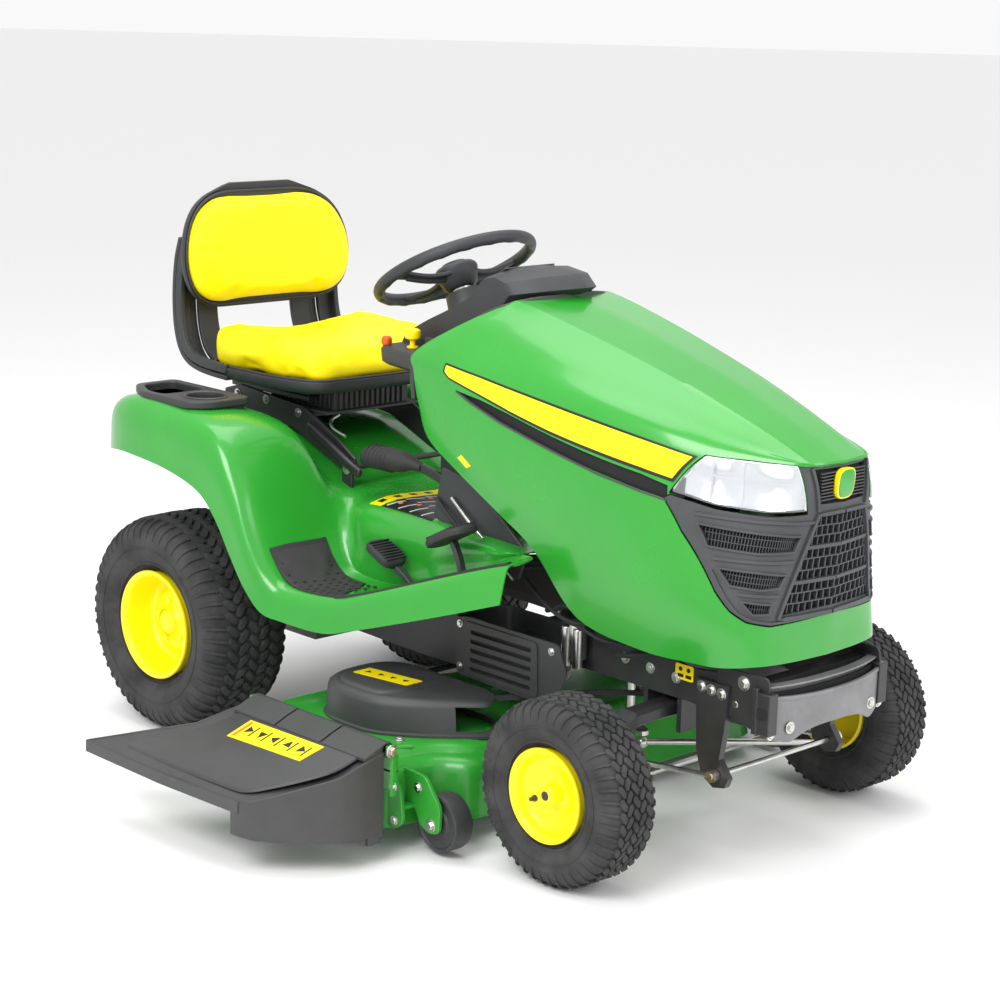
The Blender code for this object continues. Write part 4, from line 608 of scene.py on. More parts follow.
rims = []
for v in VENTS:
    rims.append(hood.ribbon(follow(v + v[:1]), 0.0042, 0.0035, -0.006))
rims.append(hood.ribbon(follow([(10.98, 2.00), (10.30, 1.98), (9.72, 1.02), (10.98, 1.03)], 6), 0.007, 0.0045, -0.006))
rims.append(hood.ribbon(follow([(10.04, 2.96), (10.28, 2.02)], 4), 0.006, 0.0040, -0.006))
rims.append(hood.ribbon(follow([(6.9, 1.86), (8.5, 1.87), (10.26, 1.90)], 6), 0.006, 0.0030, -0.006))
rims.append(hood.ribbon(follow([(7.45, 1.50), (8.6, 1.52), (9.86, 1.55)], 6), 0.006, 0.0030, -0.006))
rims.append(hood.ribbon(follow([(8.30, 1.24), (9.60, 1.26)], 6), 0.006, 0.0030, -0.006))
rims.append(hood.ribbon(follow([(7.45, 1.40), (7.95, 1.20), (8.40, 1.05), (8.85, 0.985), (9.45, 0.965), (10.3, 0.99), (10.98, 1.01)], 6), 0.005, 0.0030, -0.006))
add("grille_rims", both(join(*rims)), GRILLE_PLASTIC, "bonnet", bevel=0.0010)

bars = []
rows_at = steps(1.08, 1.95, 9)
for k, v in enumerate(rows_at[1:-1], 1):
    left = 9.80 + (10.36 - 9.80) * (v - 1.06) / 0.89
    wide = 0.0075 if k % 3 == 0 else 0.0028
    bars.append(hood.ribbon(steps_uv := [(u, v) for u in steps(left - 0.02, 10.995, 8)], wide, 0.002 if k % 3 == 0 else -0.001, -0.009))
for band in range(9):
    v0, v1 = rows_at[band], rows_at[band + 1]
    shift = 0.5 if band % 2 else 0.0
    for c in range(9):
        u = 11.0 - (c + shift) * 0.145
        left = 9.80 + (10.36 - 9.80) * ((v0 + v1) / 2 - 1.06) / 0.89
        if u > left:
            bars.append(hood.ribbon([(u, v0), (u - 0.01, v1)], 0.0030, -0.0015, -0.009))
add("grille_mesh", both(join(*bars)), GRILLE_PLASTIC, "bonnet", bevel=0.0006)
# fine mesh behind the side vents
fine = []
for v in VENTS:
    u0, u1 = min(p[0] for p in v), max(p[0] for p in v)
    v0, v1 = min(p[1] for p in v), max(p[1] for p in v)
    rows = max(2, int((v1 - v0) / 0.045))
    for k in range(rows + 1):
        fine.append(hood.ribbon([(u, v0 + (v1 - v0) * k / rows) for u in steps(u0, u1, 12)], 0.0016, -0.0075, -0.0095))
    cols = int((u1 - u0) / 0.085)
    for k in range(cols + 1):
        u = u0 + (u1 - u0) * k / cols
        fine.append(hood.ribbon([(u, v0), (u, v1)], 0.0018, -0.0072, -0.0095))
add("grille_fine_mesh", both(join(*fine)), GRILLE_PLASTIC, "bonnet")

# plain shield-shaped emblem with a raised rim
ring_out, ring_in = [], []
for k in range(32):
    a = 2 * math.pi * k / 32
    c, s = math.cos(a), math.sin(a)
    fx = abs(c) ** 0.62 * (1 if c > 0 else -1)
    fz = abs(s) ** 0.62 * (1 if s > 0 else -1)
    ring_out.append((fx, fz))
def emblem(scale, x0, x1):
    rings = []
    for x, k in ((x0, 1.0), (x1 - 0.001, 1.0), (x1, 0.94)):
        rings.append([(x - 0.10 * (0.799 - (0.799 + z * 0.031 * scale * k)), y * 0.0265 * scale * k, 0.799 + z * 0.031 * scale * k) for y, z in ring_out])
    return from_rings(rings)
add("emblem_rim", emblem(1.0, 1.574, 1.5860), YELLOW_LABEL, "bonnet", bevel=0.0008)
add("emblem_face", emblem(0.92, 1.575, 1.5868), BADGE_GREEN, "bonnet", bevel=0.0008)
ribs = [box(1.570, 1.5770, -0.066, 0.066, 0.770 + 0.0065 * k, 0.7725 + 0.0065 * k) for k in range(9)]
add("emblem_panel_ribs", join(*ribs), GRILLE_PLASTIC, "bonnet")

# headlights: clear cover, stepped reflector bowl and its trim
for side, s in (("right", -1), ("left", 1)):
    cover = boolean(slab(steps(6, 10.2, 30), steps(1.8, 3.2, 10)), prism(grow(LAMP, -0.012), "z", -1, 2), "INTERSECT")
    cover = hood.wrap(cover, 0.0015, -0.0015, False)
    bowl = boolean(slab(steps(6, 10.2, 30), steps(1.8, 3.2, 10)), prism(grow(LAMP, -0.03), "z", -1, 2), "INTERSECT")
    for v in bowl.verts:
        u, w, depth = v.co
        dip = 0.010 + 0.012 * (math.sin(max(0.0, min(1.0, (u - 6.6) / 1.3)) * math.pi) ** 2 if u < 7.9 else math.sin((u - 7.9) / 1.8 * math.pi) ** 2) * math.sin(max(0.0, min(1.0, (w - 2.0) / 0.95)) * math.pi)
        v.co = hood.off(u, w, -dip - 0.0015 * depth)
    trim = hood.ribbon(follow([(6.42, 2.10), (7.00, 2.86), (9.50, 2.99), (9.88, 2.05)], 8), 0.0035, 0.0005, -0.012)
    shelf = [hood.ribbon([(u, 2.45) for u in steps(6.75, 9.70, 14)], 0.004, -0.006, -0.016), hood.ribbon([(7.9, w) for w in steps(2.05, 2.92, 8)], 0.005, -0.004, -0.016), hood.ribbon([(7.15, w) for w in steps(2.05, 2.86, 8)], 0.004, -0.006, -0.016)]
    if s > 0:
        cover, bowl, trim = mirrored(cover), mirrored(bowl), mirrored(trim)
        shelf = [mirrored(b) for b in shelf]
    add("headlight_cover_" + side, cover, LENS, "bonnet", ["headlight_" + side], smooth=30)
    add("headlight_reflector_" + side, join(bowl, *shelf), REFLECT, "bonnet", smooth=25)
    add("headlight_trim_" + side, trim, REFLECT, "bonnet", bevel=0.0006)

# ================================================================ wheels
def wheel_sets():
    out = []
    for side, s in (("right", -1), ("left", 1)):
        out.append(("front_" + side, "wheel_f" + side[0], (1.282, s * 0.4346, 0.190), 0.190, 0.0715, 0.0924, s, 46, 0.0062))
        out.append(("rear_" + side, "wheel_r" + side[0], (0.0, s * 0.399, 0.252), 0.252, 0.11775, 0.1226, s, 52, 0.0078))
    return out


def tyre_profile(r, h, rim):
    """(radius, offset) of the casing from one bead to the other."""
    tall = r - rim
    half = [
        (rim + 0.0010, 0.640 * h), (rim + 0.006, 0.720 * h), (rim + 0.10 * tall, 0.760 * h), (rim + 0.22 * tall, 0.860 * h), (rim + 0.40 * tall, 0.955 * h),
        (rim + 0.58 * tall, 0.968 * h), (rim + 0.74 * tall, 0.930 * h), (rim + 0.86 * tall, 0.810 * h), (rim + 0.925 * tall, 0.600 * h), (r - 0.0085, 0.300 * h), (r - 0.0075, 0.0),
    ]
    line = [Vector((a, b)) for a, b in half] + [Vector((a, -b)) for a, b in half[-2::-1]]
    return curve_points([(p.x, p.y, 0) for p in line], 5)


def make_tyre(centre, r, h, rim, pitches, deep):
    prof = tyre_profile(r, h, rim)
    n = 120
    # inside of the casing closes the section
    loop = [(p.x, p.y) for p in prof] + [(rim + 0.0010, -0.50 * h), (rim + 0.0010, 0.50 * h)]
    casing = turned(loop, "y", (0, 0, 0), n)
    # arc length along the profile from its middle
    mid = len(prof) // 2
    dist = [0.0]
    for a, b in zip(prof, prof[1:]):
        dist.append(dist[-1] + (b - a).length)
    base = dist[mid]
    dist = [d - base for d in dist]

    def at(s):
        k = 0
        while k < len(dist) - 2 and dist[k + 1] < s:
            k += 1
        f = (s - dist[k]) / (dist[k + 1] - dist[k])
        p = prof[k].lerp(prof[k + 1], f)
        t = (prof[k + 1] - prof[k]).normalized()
        nrm = Vector((-t.y, t.x, 0)) if (-t.y) * 1.0 > 0 else Vector((t.y, -t.x, 0))
        return p, nrm

    def lay(s, turn, up):
        p, nrm = at(s)
        q = p + nrm * up
        return (q.x * math.cos(turn), q.y, q.x * math.sin(turn))

    lugs = []
    step = 2 * math.pi / pitches
    reach = abs(dist[next(i for i, p in enumerate(prof) if p.x > rim + 0.60 * (r - rim))])
    # each row: (arc from, arc to, sideways lean at start, at end, wave)
    crown = 0.60 * h
    rows = []
    bands = [(-1.02, -0.64), (-0.60, -0.23), (-0.19, 0.19), (0.23, 0.60), (0.64, 1.02)]
    for q, (a, b) in enumerate(bands):
        rows.append((a * crown, b * crown, 0.5 * (q % 2)))
    for a, b, phase in rows:
        for k in range(pitches):
            t0 = (k + phase) * step
            path = []
            for j in range(7):
                f = j / 6
                s = a + (b - a) * f
                lean = 0.26 * math.sin((f - 0.5) * math.pi * 1.05) * (1 if phase == 0 else -1)
                path.append((s, t0 + lean * step * 1.25))
            lugs.append((path, 0.60 * step * r, deep))
    # shoulder bars that run down the side
    for sgn in (-1, 1):
        for k in range(pitches):
            t0 = (k + 0.25) * step
            path = []
            for j in range(7):
                f = j / 6
                s = sgn * (crown * 1.06 + (reach - crown * 1.06) * f)
                path.append((s, t0 + 0.20 * step * math.sin(f * 2.2)))
            lugs.append((path, 0.30 * step * r, deep * 0.95))
    out = bmesh.new()
    for path, width, up in lugs:
        rings = []
        m = len(path)
        for j, (s, t) in enumerate(path):
            end = 0.62 if j in (0, m - 1) else 1.0
            w = width / r / 2 * end
            drop = up if 0 < j < m - 1 else up * 0.8
            if abs(s) > crown:
                drop *= 1.0 - 0.80 * min(1.0, (abs(s) - crown) / (reach - crown))
            s1 = path[min(j + 1, m - 1)][0] - path[max(j - 1, 0)][0]
            t1 = (path[min(j + 1, m - 1)][1] - path[max(j - 1, 0)][1]) * r
            ln = math.hypot(s1, t1)
            ds, dt = -t1 / ln * w * r, s1 / ln * w
            rings.append([lay(s + ds, t + dt, -0.002), lay(s + ds * 0.72, t + dt * 0.72, drop), lay(s - ds * 0.72, t - dt * 0.72, drop), lay(s - ds, t - dt, -0.002)])
        verts = [[out.verts.new(p) for p in ring] for ring in rings]
        for p, q in zip(verts, verts[1:]):
            for i in range(4):
                j = (i + 1) % 4
                out.faces.new((p[i], p[j], q[j], q[i]))
        out.faces.new(verts[0][::-1])
        out.faces.new(verts[-1])
    bmesh.ops.recalc_face_normals(out, faces=out.faces)
    # raised rings on the sides
    rings = []
    for sgn in (-1, 1):
        for frac, w, up in ((0.16, 0.004, 0.0022), (0.46, 0.0025, 0.0012)):
            rr = rim + frac * (r - rim)
            k = next(i for i, p in enumerate(prof) if p.x > rr)
            y = abs(prof[k].y)
            rings.append(turned([(rr - w, sgn * (y - 0.0035)), (rr - w * 0.5, sgn * (y + up)), (rr + w * 0.5, sgn * (y + up)), (rr + w, sgn * (y - 0.0035))], "y", (0, 0, 0), 96))
    bm = join(casing, out, *rings)
    bm.transform(Matrix.Translation(Vector(centre)))
    return bm


def make_rim(centre, r, h, s, rear):
    """Pressed wheel: flange, bead seat, well and a dished centre."""
    o = s
    e = 0.66 * h
    if rear:
        dish = [(0.0305, 0.064), (0.0330, 0.058), (0.040, 0.050), (0.052, 0.046), (0.066, 0.044), (0.078, 0.034), (0.090, 0.028), (0.100, 0.036), (0.104, 0.052), (0.108, 0.074), (0.112, 0.094), (0.117, 0.1005), (0.1225, 0.1040), (0.1262, 0.1030), (0.1275, 0.0985), (0.1262, 0.0945), (0.1220, 0.0930)]
    else:
        dish = [(0.0180, 0.030), (0.0200, 0.026), (0.030, 0.024), (0.042, 0.028), (0.055, 0.035), (0.064, 0.038), (0.071, 0.040), (0.077, 0.047), (0.0805, 0.057), (0.084, 0.0625), (0.0885, 0.0650), (0.0925, 0.0675), (0.0950, 0.0668), (0.0962, 0.0630), (0.0950, 0.0590), (0.0915, 0.0580)]
    pts = curve_points([(a, b, 0) for a, b in dish], 3)
    outer = [(p.x, o * p.y) for p in pts]
    inner = [(r * 0.99, o * 0.020), (r * 0.94, -o * 0.01), (r * 0.99, -o * (h * 0.70)), (r * 0.93, -o * (h * 0.74)), (r * 0.88, -o * h * 0.6), (r * 0.86, o * 0.012), (outer[0][0] + 0.01, o * (dish[2][1] - 0.012)), (outer[0][0], o * (dish[0][1] - 0.014))]
    bm = turned(outer + inner, "y", centre, 96)
    return bm


for name, body, centre, r, h, rim, s, pitches, deep in wheel_sets():
    rear = name.startswith("rear")
    add("tyre_turf_" + name, make_tyre(centre, r, h, rim, pitches, deep), TYRE, body, ["tyre_" + name], smooth=38, recalc=False)
    add("rim_pressed_" + name, make_rim(centre, rim, h, s, rear), YELLOW, body, ["rim_" + name], smooth=40)
    x, y, z = centre
    if rear:
        hub = turned([(0.001, s * 0.070), (0.012, s * 0.0705), (0.022, s * 0.067), (0.030, s * 0.060), (0.031, s * 0.040), (0.001, s * 0.040)], "y", centre, 48)
        add("hub_cap_" + name, hub, YELLOW, body, smooth=40)
        bolts = [bolt((x + 0.048 * math.cos(a), y + s * 0.046, z + 0.048 * math.sin(a)), (0, s, 0), 0.0085, 0.008) for a in (0.5 + 2 * math.pi * k / 5 for k in range(5))]
        add("lug_bolts_" + name, join(*bolts), YELLOW, body, bevel=0.0006)
        axle = [rod("y", x, z, s * 0.150, y + s * 0.040, 0.0125, 24)]
        add("axle_shaft_" + name, join(*axle), ZINC, body, bevel=0.0008)
    else:
        hub = turned([(0.001, s * 0.0620), (0.010, s * 0.0614), (0.0165, s * 0.0575), (0.0195, s * 0.051), (0.0195, s * 0.012), (0.0162, s * 0.012), (0.0162, s * 0.050), (0.001, s * 0.0590)], "y", centre, 48)
        add("hub_cap_" + name, hub, YELLOW, body, smooth=40)
    rr = r * 0.30 if not rear else r * 0.29
    a = math.radians(205 if not rear else -28)
    px, pz = x + rr * math.cos(a), z + rr * math.sin(a)
    base = y + s * (0.036 if not rear else 0.032)
    stem = turned([(0.0005, 0), (0.0066, 0), (0.0066, 0.003), (0.0050, 0.006), (0.0042, 0.010), (0.0042, 0.013), (0.0030, 0.0145), (0.0005, 0.0145)], "y", (0, 0, 0), 20)
    if s < 0:
        for v in stem.verts:
            v.co.y = -v.co.y
    add("valve_" + name, moved(stem, Matrix.Translation((px, base, pz))), PLASTIC, body)

# ================================================================ fenders and footrests
FENDER_X = [-0.285, -0.262, -0.205, -0.110, 0.050, 0.170, 0.235, 0.290, 0.340]
FENDER_HALF = [0.380, 0.425, 0.470, 0.497, 0.502, 0.502, 0.502, 0.502, 0.502]
FENDER_Z = [
    (0.648, 0.648, 0.648, 0.650, 0.652, 0.645, 0.610), (0.668, 0.668, 0.670, 0.690, 0.700, 0.690, 0.620),
    (0.684, 0.684, 0.686, 0.722, 0.746, 0.732, 0.632), (0.688, 0.688, 0.690, 0.742, 0.772, 0.754, 0.642),
    (0.678, 0.678, 0.680, 0.745, 0.772, 0.748, 0.630), (0.640, 0.640, 0.655, 0.735, 0.756, 0.728, 0.600),
    (0.612, 0.612, 0.630, 0.708, 0.718, 0.688, 0.548), (0.592, 0.590, 0.602, 0.640, 0.640, 0.606, 0.474),
    (0.586, 0.582, 0.560, 0.550, 0.540, 0.512, 0.412),
]
FENDER_Y = (0.0, 0.300, 0.440, 0.540, 0.840, 0.975, 1.0)  # shares of the half width
# foot platform, flat behind and ramped up in front: x, then y and z across the half
FENDER_COLS = [
    (0.390, (0.0, 0.190, 0.240, 0.280, 0.415, 0.478, 0.496), (0.584, 0.580, 0.500, 0.462, 0.455, 0.440, 0.366)),
    (0.440, (0.0, 0.222, 0.252, 0.272, 0.405, 0.462, 0.482), (0.584, 0.580, 0.452, 0.424, 0.420, 0.416, 0.354)),
    (0.560, (0.0, 0.234, 0.257, 0.270, 0.392, 0.440, 0.464), (0.582, 0.577, 0.446, 0.423, 0.420, 0.418, 0.350)),
    (0.640, (0.0, 0.232, 0.256, 0.269, 0.380, 0.424, 0.447), (0.580, 0.575, 0.464, 0.445, 0.442, 0.440, 0.370)),
    (0.760, (0.0, 0.232, 0.252, 0.267, 0.362, 0.402, 0.425), (0.578, 0.573, 0.502, 0.487, 0.484, 0.482, 0.408)),
    (0.880, (0.0, 0.232, 0.251, 0.264, 0.342, 0.380, 0.403), (0.576, 0.571, 0.540, 0.530, 0.527, 0.525, 0.448)),
    (0.960, (0.0, 0.230, 0.248, 0.262, 0.330, 0.362, 0.385), (0.574, 0.570, 0.560, 0.557, 0.555, 0.553, 0.476)),
    (1.012, (0.0, 0.228, 0.246, 0.260, 0.320, 0.350, 0.371), (0.573, 0.569, 0.568, 0.573, 0.572, 0.570, 0.494)),
]
SET_BACK = {0.960: (0.034, 0.034, 0.032, 0.008, 0.0, 0.0, 0.0), 1.012: (0.066, 0.066, 0.062, 0.020, 0.0, 0.0, 0.0)}
rows = [[(x, half * share, zs[k]) for x, half, zs in zip(FENDER_X, FENDER_HALF, FENDER_Z)] + [(x - SET_BACK.get(x, (0,) * 7)[k], ys[k], zs[k]) for x, ys, zs in FENDER_COLS] for k, share in enumerate(FENDER_Y)]
FENDER_X = FENDER_X + [c[0] for c in FENDER_COLS]
fender = Skin(rows, creases=(), sign=1.0)
TRAY = [(-0.165, -0.318), (-0.165, -0.420), (-0.085, -0.462), (0.085, -0.462), (0.115, -0.425), (0.115, -0.318)]
shell = join_mirror(fender.wrap(slab(steps(0, 16, 96), steps(0, 6, 42)), 0.0, -0.0035))
WHEEL_C = (0.460, 0.0, 1.095)
TILT = math.radians(29.3)
tunnel = Matrix.Translation(Vector(WHEEL_C)) @ Matrix.Rotation(-TILT, 4, "Y")
shell = cut(shell, prism(grow(TRAY, 0.001), "z", 0.60, 0.90), rod("z", -0.120, 0.370, 0.60, 0.90, 0.028, 32), moved(rod("z", 0, 0, -0.8, -0.3, 0.022, 24), tunnel),
            prism(rounded_polygon([(0.598, -0.318), (0.718, -0.318), (0.718, -0.282), (0.598, -0.282)], 0.012), "z", 0.400, 0.500), *[prism(rounded_polygon([(0.785, y - 0.018), (0.878, y - 0.018), (0.878, y + 0.018), (0.785, y + 0.018)], 0.012), "z", 0.440, 0.580) for y in (-0.300, 0.300)])
add("fender_panel", shell, GREEN, "machine", ["fender_deck"], smooth=34)
lugs = [box(0.272, 0.308, s * 0.1585, s * 0.1665, 0.585, 0.648) for s in (-1, 1)]
add("seat_pivot_lugs", join(*lugs, rod("y", 0.290, 0.628, -0.172, 0.172, 0.0066, 20)), FRAME_PAINT, "machine", bevel=0.002)


def fender_z(x, y):
    """Height of the shell at (x, y), found on its control sheet."""
    u = 0.0
    for k in range(len(FENDER_X) - 1):
        if FENDER_X[k] <= x <= FENDER_X[k + 1]:
            u = k + (x - FENDER_X[k]) / (FENDER_X[k + 1] - FENDER_X[k])
    lo, hi = 0.0, 6.0
    for _ in range(30):
        mid = (lo + hi) / 2
        if fender.point(u, mid).y < abs(y):
            lo = mid
        else:
            hi = mid
    return fender.point(u, lo).z


def on_fender(points, lift, thick, per=8):
    """A thin patch with the outline points laid on the shell, given in plan."""
    outline = []
    n = len(points)
    cx = sum(p[0] for p in points) / n
    cy = sum(p[1] for p in points) / n
    for a, b in zip(points, points[1:] + points[:1]):
        for k in range(per):
            outline.append((a[0] + (b[0] - a[0]) * k / per, a[1] + (b[1] - a[1]) * k / per))
    bm = bmesh.new()
    rings = []
    layers = [1.0, 0.97, 0.75, 0.5, 0.25]
    def ring(f, h):
        return [bm.verts.new((cx + (x - cx) * f, cy + (y - cy) * f, fender_z(cx + (x - cx) * f, cy + (y - cy) * f) + h)) for x, y in outline]
    top = [ring(f, lift if f < 1 else lift * 0.6) for f in layers]
    skirt = ring(1.0, lift - thick)
    m = len(outline)
    def band(a, b):
        for i in range(m):
            j = (i + 1) % m
            bm.faces.new((a[i], a[j], b[j], b[i]))
    band(skirt, top[0])
    for a, b in zip(top, top[1:]):
        band(a, b)
    mid = bm.verts.new((cx, cy, fender_z(cx, cy) + lift))
    for i in range(m):
        bm.faces.new((top[-1][i], top[-1][(i + 1) % m], mid))
    low = bm.verts.new((cx, cy, fender_z(cx, cy) + lift - thick))
    for i in range(m):
        bm.faces.new((skirt[(i + 1) % m], skirt[i], low))
    bmesh.ops.recalc_face_normals(bm, faces=bm.faces)
    return bm


foot_mats = []
for sgn in (-1, 1):
    plan = [(0.362, sgn * 0.448), (0.366, sgn * 0.290), (0.500, sgn * 0.285), (0.560, sgn * 0.425)]
    foot_mats.append(on_fender(plan if sgn > 0 else plan[::-1], 0.0035, 0.005, 6))
    strip = [(0.565 + 0.0554 * k, sgn * (0.431 - 0.0105 * k)) for k in range(9)]
    rings = []
    for x, y in strip:
        z = fender_z(x, y - sgn * 0.006)
        rings.append([(x, y - sgn * 0.011, z - 0.002), (x, y - sgn * 0.011, z + 0.0045), (x, y + sgn * 0.001, z + 0.0045), (x, y + sgn * 0.001, z - 0.002)])
    foot_mats.append(from_rings(rings))
add("foot_mats", join(*foot_mats), MAT, "machine")
studs = []
for sgn in (-1, 1):
    for i in range(8):
        for j in range(6):
            x = 0.384 + 0.0205 * i + 0.004 * j
            y = sgn * (0.430 - 0.0245 * j - 0.001 * i)
            z = fender_z(x, y)
            studs.append(from_rings([[(x + r * math.cos(t), y + r * math.sin(t), z + h) for t in (math.pi * k / 4 for k in range(8))] for r, h in ((0.0050, 0.0028), (0.0046, 0.0058), (0.0026, 0.0064))]))
add("foot_mat_studs", join(*studs), MAT, "machine")

tray = prism(rounded_polygon(TRAY, 0.02), "z", 0.655, 0.772)
rim_shape = prism(rounded_polygon(grow(TRAY, 0.008), 0.024), "z", 0.768, 0.786)
tray = union(tray, rim_shape)
tray = cut(tray, rod("z", 0.055, -0.390, 0.675, 0.90, 0.044, 48), prism(rounded_polygon(grow(TRAY[:3] + [(-0.010, -0.462), (-0.010, -0.318)], -0.012), 0.02), "z", 0.730, 0.90))
add("cup_tray_moulding", tray, PLASTIC, "machine", ["cup_tray"], bevel=0.004, segments=3)
add("cup_holder_ring", turned([(0.0440, 0.782), (0.0500, 0.782), (0.0510, 0.7875), (0.0480, 0.7895), (0.0445, 0.7870)], "z", (0.055, -0.390, 0), 48), GREY_PLASTIC, "machine")
add("cup_holder_bottom", join(turned([(0.001, 0.6745), (0.043, 0.6745), (0.043, 0.6775), (0.001, 0.6775)], "z", (0.055, -0.390, 0), 40), *[box(0.055 - 0.03, 0.055 + 0.03, -0.391 + d, -0.389 + d, 0.677, 0.679) for d in (-0.02, -0.01, 0, 0.01, 0.02)]), GREY_PLASTIC, "machine")

# operator label on the platform: yellow header, dark rows with pale pictogram lines
def flat_label(name, x0, x1, y0, y1, lift, mat, body="machine"):
    add(name, on_fender([(x0, y0), (x0, y1), (x1, y1), (x1, y0)], lift, 0.0012, 5), mat, body)


flat_label("platform_label_header", 0.436, 0.474, -0.222, 0.020, 0.0012, YELLOW_LABEL)
flat_label("platform_label_ground", 0.476, 0.640, -0.222, 0.020, 0.0010, INK)
marks = []
for k in range(4):
    for j in range(4):
        x = 0.486 + 0.038 * k
        y = -0.216 + 0.058 * j
        marks.append(on_fender([(x, y), (x + 0.010, y + 0.046), (x + 0.014, y + 0.046), (x + 0.004, y)], 0.0016, 0.0008, 2))
add("platform_label_lines", join(*marks), WHITE_INK, "machine")
marks = []
for k in range(3):
    for j in range(2):
        marks.append(on_fender(circle(0.504 + 0.040 * k, -0.190 + 0.09 * j + 0.02 * k, 0.006, 8), 0.0018, 0.0008, 1))
add("platform_label_spots", join(*marks), ORANGE_INK, "machine")
marks = []
for k in range(5):
    y = -0.210 + 0.046 * k
    marks.append(on_fender([(0.447, y), (0.447, y + 0.018), (0.463, y + 0.018), (0.463, y)], 0.0016, 0.0008, 1))
add("platform_label_pictograms", join(*marks), INK, "machine")

# ================================================================ seat
def solid_of(bm):
    mesh = bpy.data.meshes.new("pad")
    bm.to_mesh(mesh)
    bm.free()
    return mesh


def evaluated_copy(obj):
    bpy.context.view_layer.update()
    graph = bpy.context.evaluated_depsgraph_get()
    return bpy.data.meshes.new_from_object(obj.evaluated_get(graph), depsgraph=graph)


def stuffed(name, bm, mat, body, replaces, cap, floor_test, voxel=0.0055, pressure=4.0):
    """A foam cushion: remeshed, blown up a little as cloth, then smoothed."""
    bm.transform(Matrix.Translation(SHIFT))
    mesh = solid_of(bm)
    obj = bpy.data.objects.new(name, mesh)
    bpy.context.scene.collection.objects.link(obj)
    sub = obj.modifiers.new("round", "SUBSURF")
    sub.levels = 2
    mod = obj.modifiers.new("even", "REMESH")
    mod.mode = "VOXEL"
    mod.voxel_size = voxel
    obj.data = evaluated_copy(obj)
    obj.modifiers.clear()
    start = [v.co.copy() for v in obj.data.vertices]
    cloth = obj.modifiers.new("Cloth", "CLOTH")
    c = cloth.settings
    c.quality = 5
    c.mass = 0.35
    c.tension_stiffness = c.compression_stiffness = 18
    c.shear_stiffness = 8
    c.bending_stiffness = 2.0
    c.use_pressure = True
    c.uniform_pressure_force = pressure
    c.effector_weights.gravity = 0.0
    cloth.collision_settings.use_collision = False
    cloth.point_cache.frame_start = 1
    cloth.point_cache.frame_end = 20
    scene = bpy.context.scene
    for f in range(1, 21):
        scene.frame_set(f)
    out = evaluated_copy(obj)
    obj.modifiers.clear()
    for a, b, v in zip(start, out.vertices, obj.data.vertices):
        d = b.co - a
        if d.length > cap:
            d = d.normalized() * cap
        v.co = a + d
    scene.frame_set(1)
    for v in obj.data.vertices:
        v.co = floor_test(v.co - SHIFT) + SHIFT
    # evens out small ripples
    tidy = bmesh.new()
    tidy.from_mesh(obj.data)
    for _ in range(4):
        bmesh.ops.smooth_vert(tidy, verts=tidy.verts, factor=0.5, use_axis_x=True, use_axis_y=True, use_axis_z=True)
    tidy.to_mesh(obj.data)
    tidy.free()
    obj.data.shade_smooth()
    obj.data.materials.clear()
    obj.data.materials.append(mat)
    mod = obj.modifiers.new("smooth", "SUBSURF")
    mod.levels = mod.render_levels = 1
    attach(obj, body)
    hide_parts(*replaces)
    return obj


def super_ring(cx, cy, hx, hy, z, power, n=28, tail=0.0, lift=None):
    ring = []
    for k in range(n):
        a = 2 * math.pi * k / n
        c, s = math.cos(a), math.sin(a)
        px = abs(c) ** (2 / power) * (1 if c > 0 else -1)
        py = abs(s) ** (2 / power) * (1 if s > 0 else -1)
        x = cx + hx * px
        y = cy + hy * py * (1.0 - tail * max(0.0, -px))
        ring.append((x, y, z + (lift(px, py) if lift else 0.0)))
    return ring


def bolster(x, y):
    """The sides and the back of the seat stand up round the dished middle; the front rolls down."""
    side = min(1.0, abs(y) / 0.232) ** 2.2
    rear = max(0.0, min(1.0, (0.06 - x) / 0.20)) ** 1.5
    front = max(0.0, min(1.0, (x - 0.10) / 0.135)) ** 2.0
    return (0.030 * side - 0.008) * (1.0 - 0.55 * front) + 0.012 * rear * side - 0.016 * front


SEAT_PLAN = rounded_polygon([(-0.146, -0.226), (-0.060, -0.243), (0.120, -0.240), (0.236, -0.205), (0.246, 0.0), (0.236, 0.205), (0.120, 0.240), (-0.060, 0.243), (-0.146, 0.226), (-0.156, 0.0)], 0.050, 6)


def seat_plan(f, d, z, w):
    return [(0.042 + (x - 0.042) * f, y * f, z + bolster(0.042 + (x - 0.042) * f, y * f) * w) for x, y in grow(SEAT_PLAN, d)]


rings = [seat_plan(1, -0.022, 0.8175, 0.0), seat_plan(1, -0.008, 0.8195, 0.02), seat_plan(1, -0.001, 0.828, 0.15), seat_plan(1, 0.001, 0.845, 0.45), seat_plan(1, 0.0, 0.862, 0.8), seat_plan(1, -0.006, 0.877, 1.0), seat_plan(1, -0.018, 0.888, 1.0)]
rings += [seat_plan(f, -0.018, 0.8915, 1.0) for f in (0.93, 0.84, 0.72, 0.58, 0.42, 0.24, 0.08)]
bm = from_rings(rings)


def seat_floor(p):
    p = Vector(p)
    if p.z < 0.8168:
        p.z = 0.8168
    return p


stuffed("seat_cushion_foam", bm, VINYL, "seat", ["seat_cushion"], 0.012, seat_floor)


BACK_X = -0.198
BACK_HALF = [(0.0, 0.947), (0.150, 0.947), (0.196, 0.958), (0.228, 0.985), (0.244, 1.025), (0.247, 1.062), (0.241, 1.105), (0.226, 1.145), (0.200, 1.178), (0.160, 1.202), (0.110, 1.2115), (0.0, 1.2125)]
BACK_PLAN = rounded_polygon(BACK_HALF[1:-1] + [(-y, z) for y, z in reversed(BACK_HALF[1:-1])], 0.020, 3)


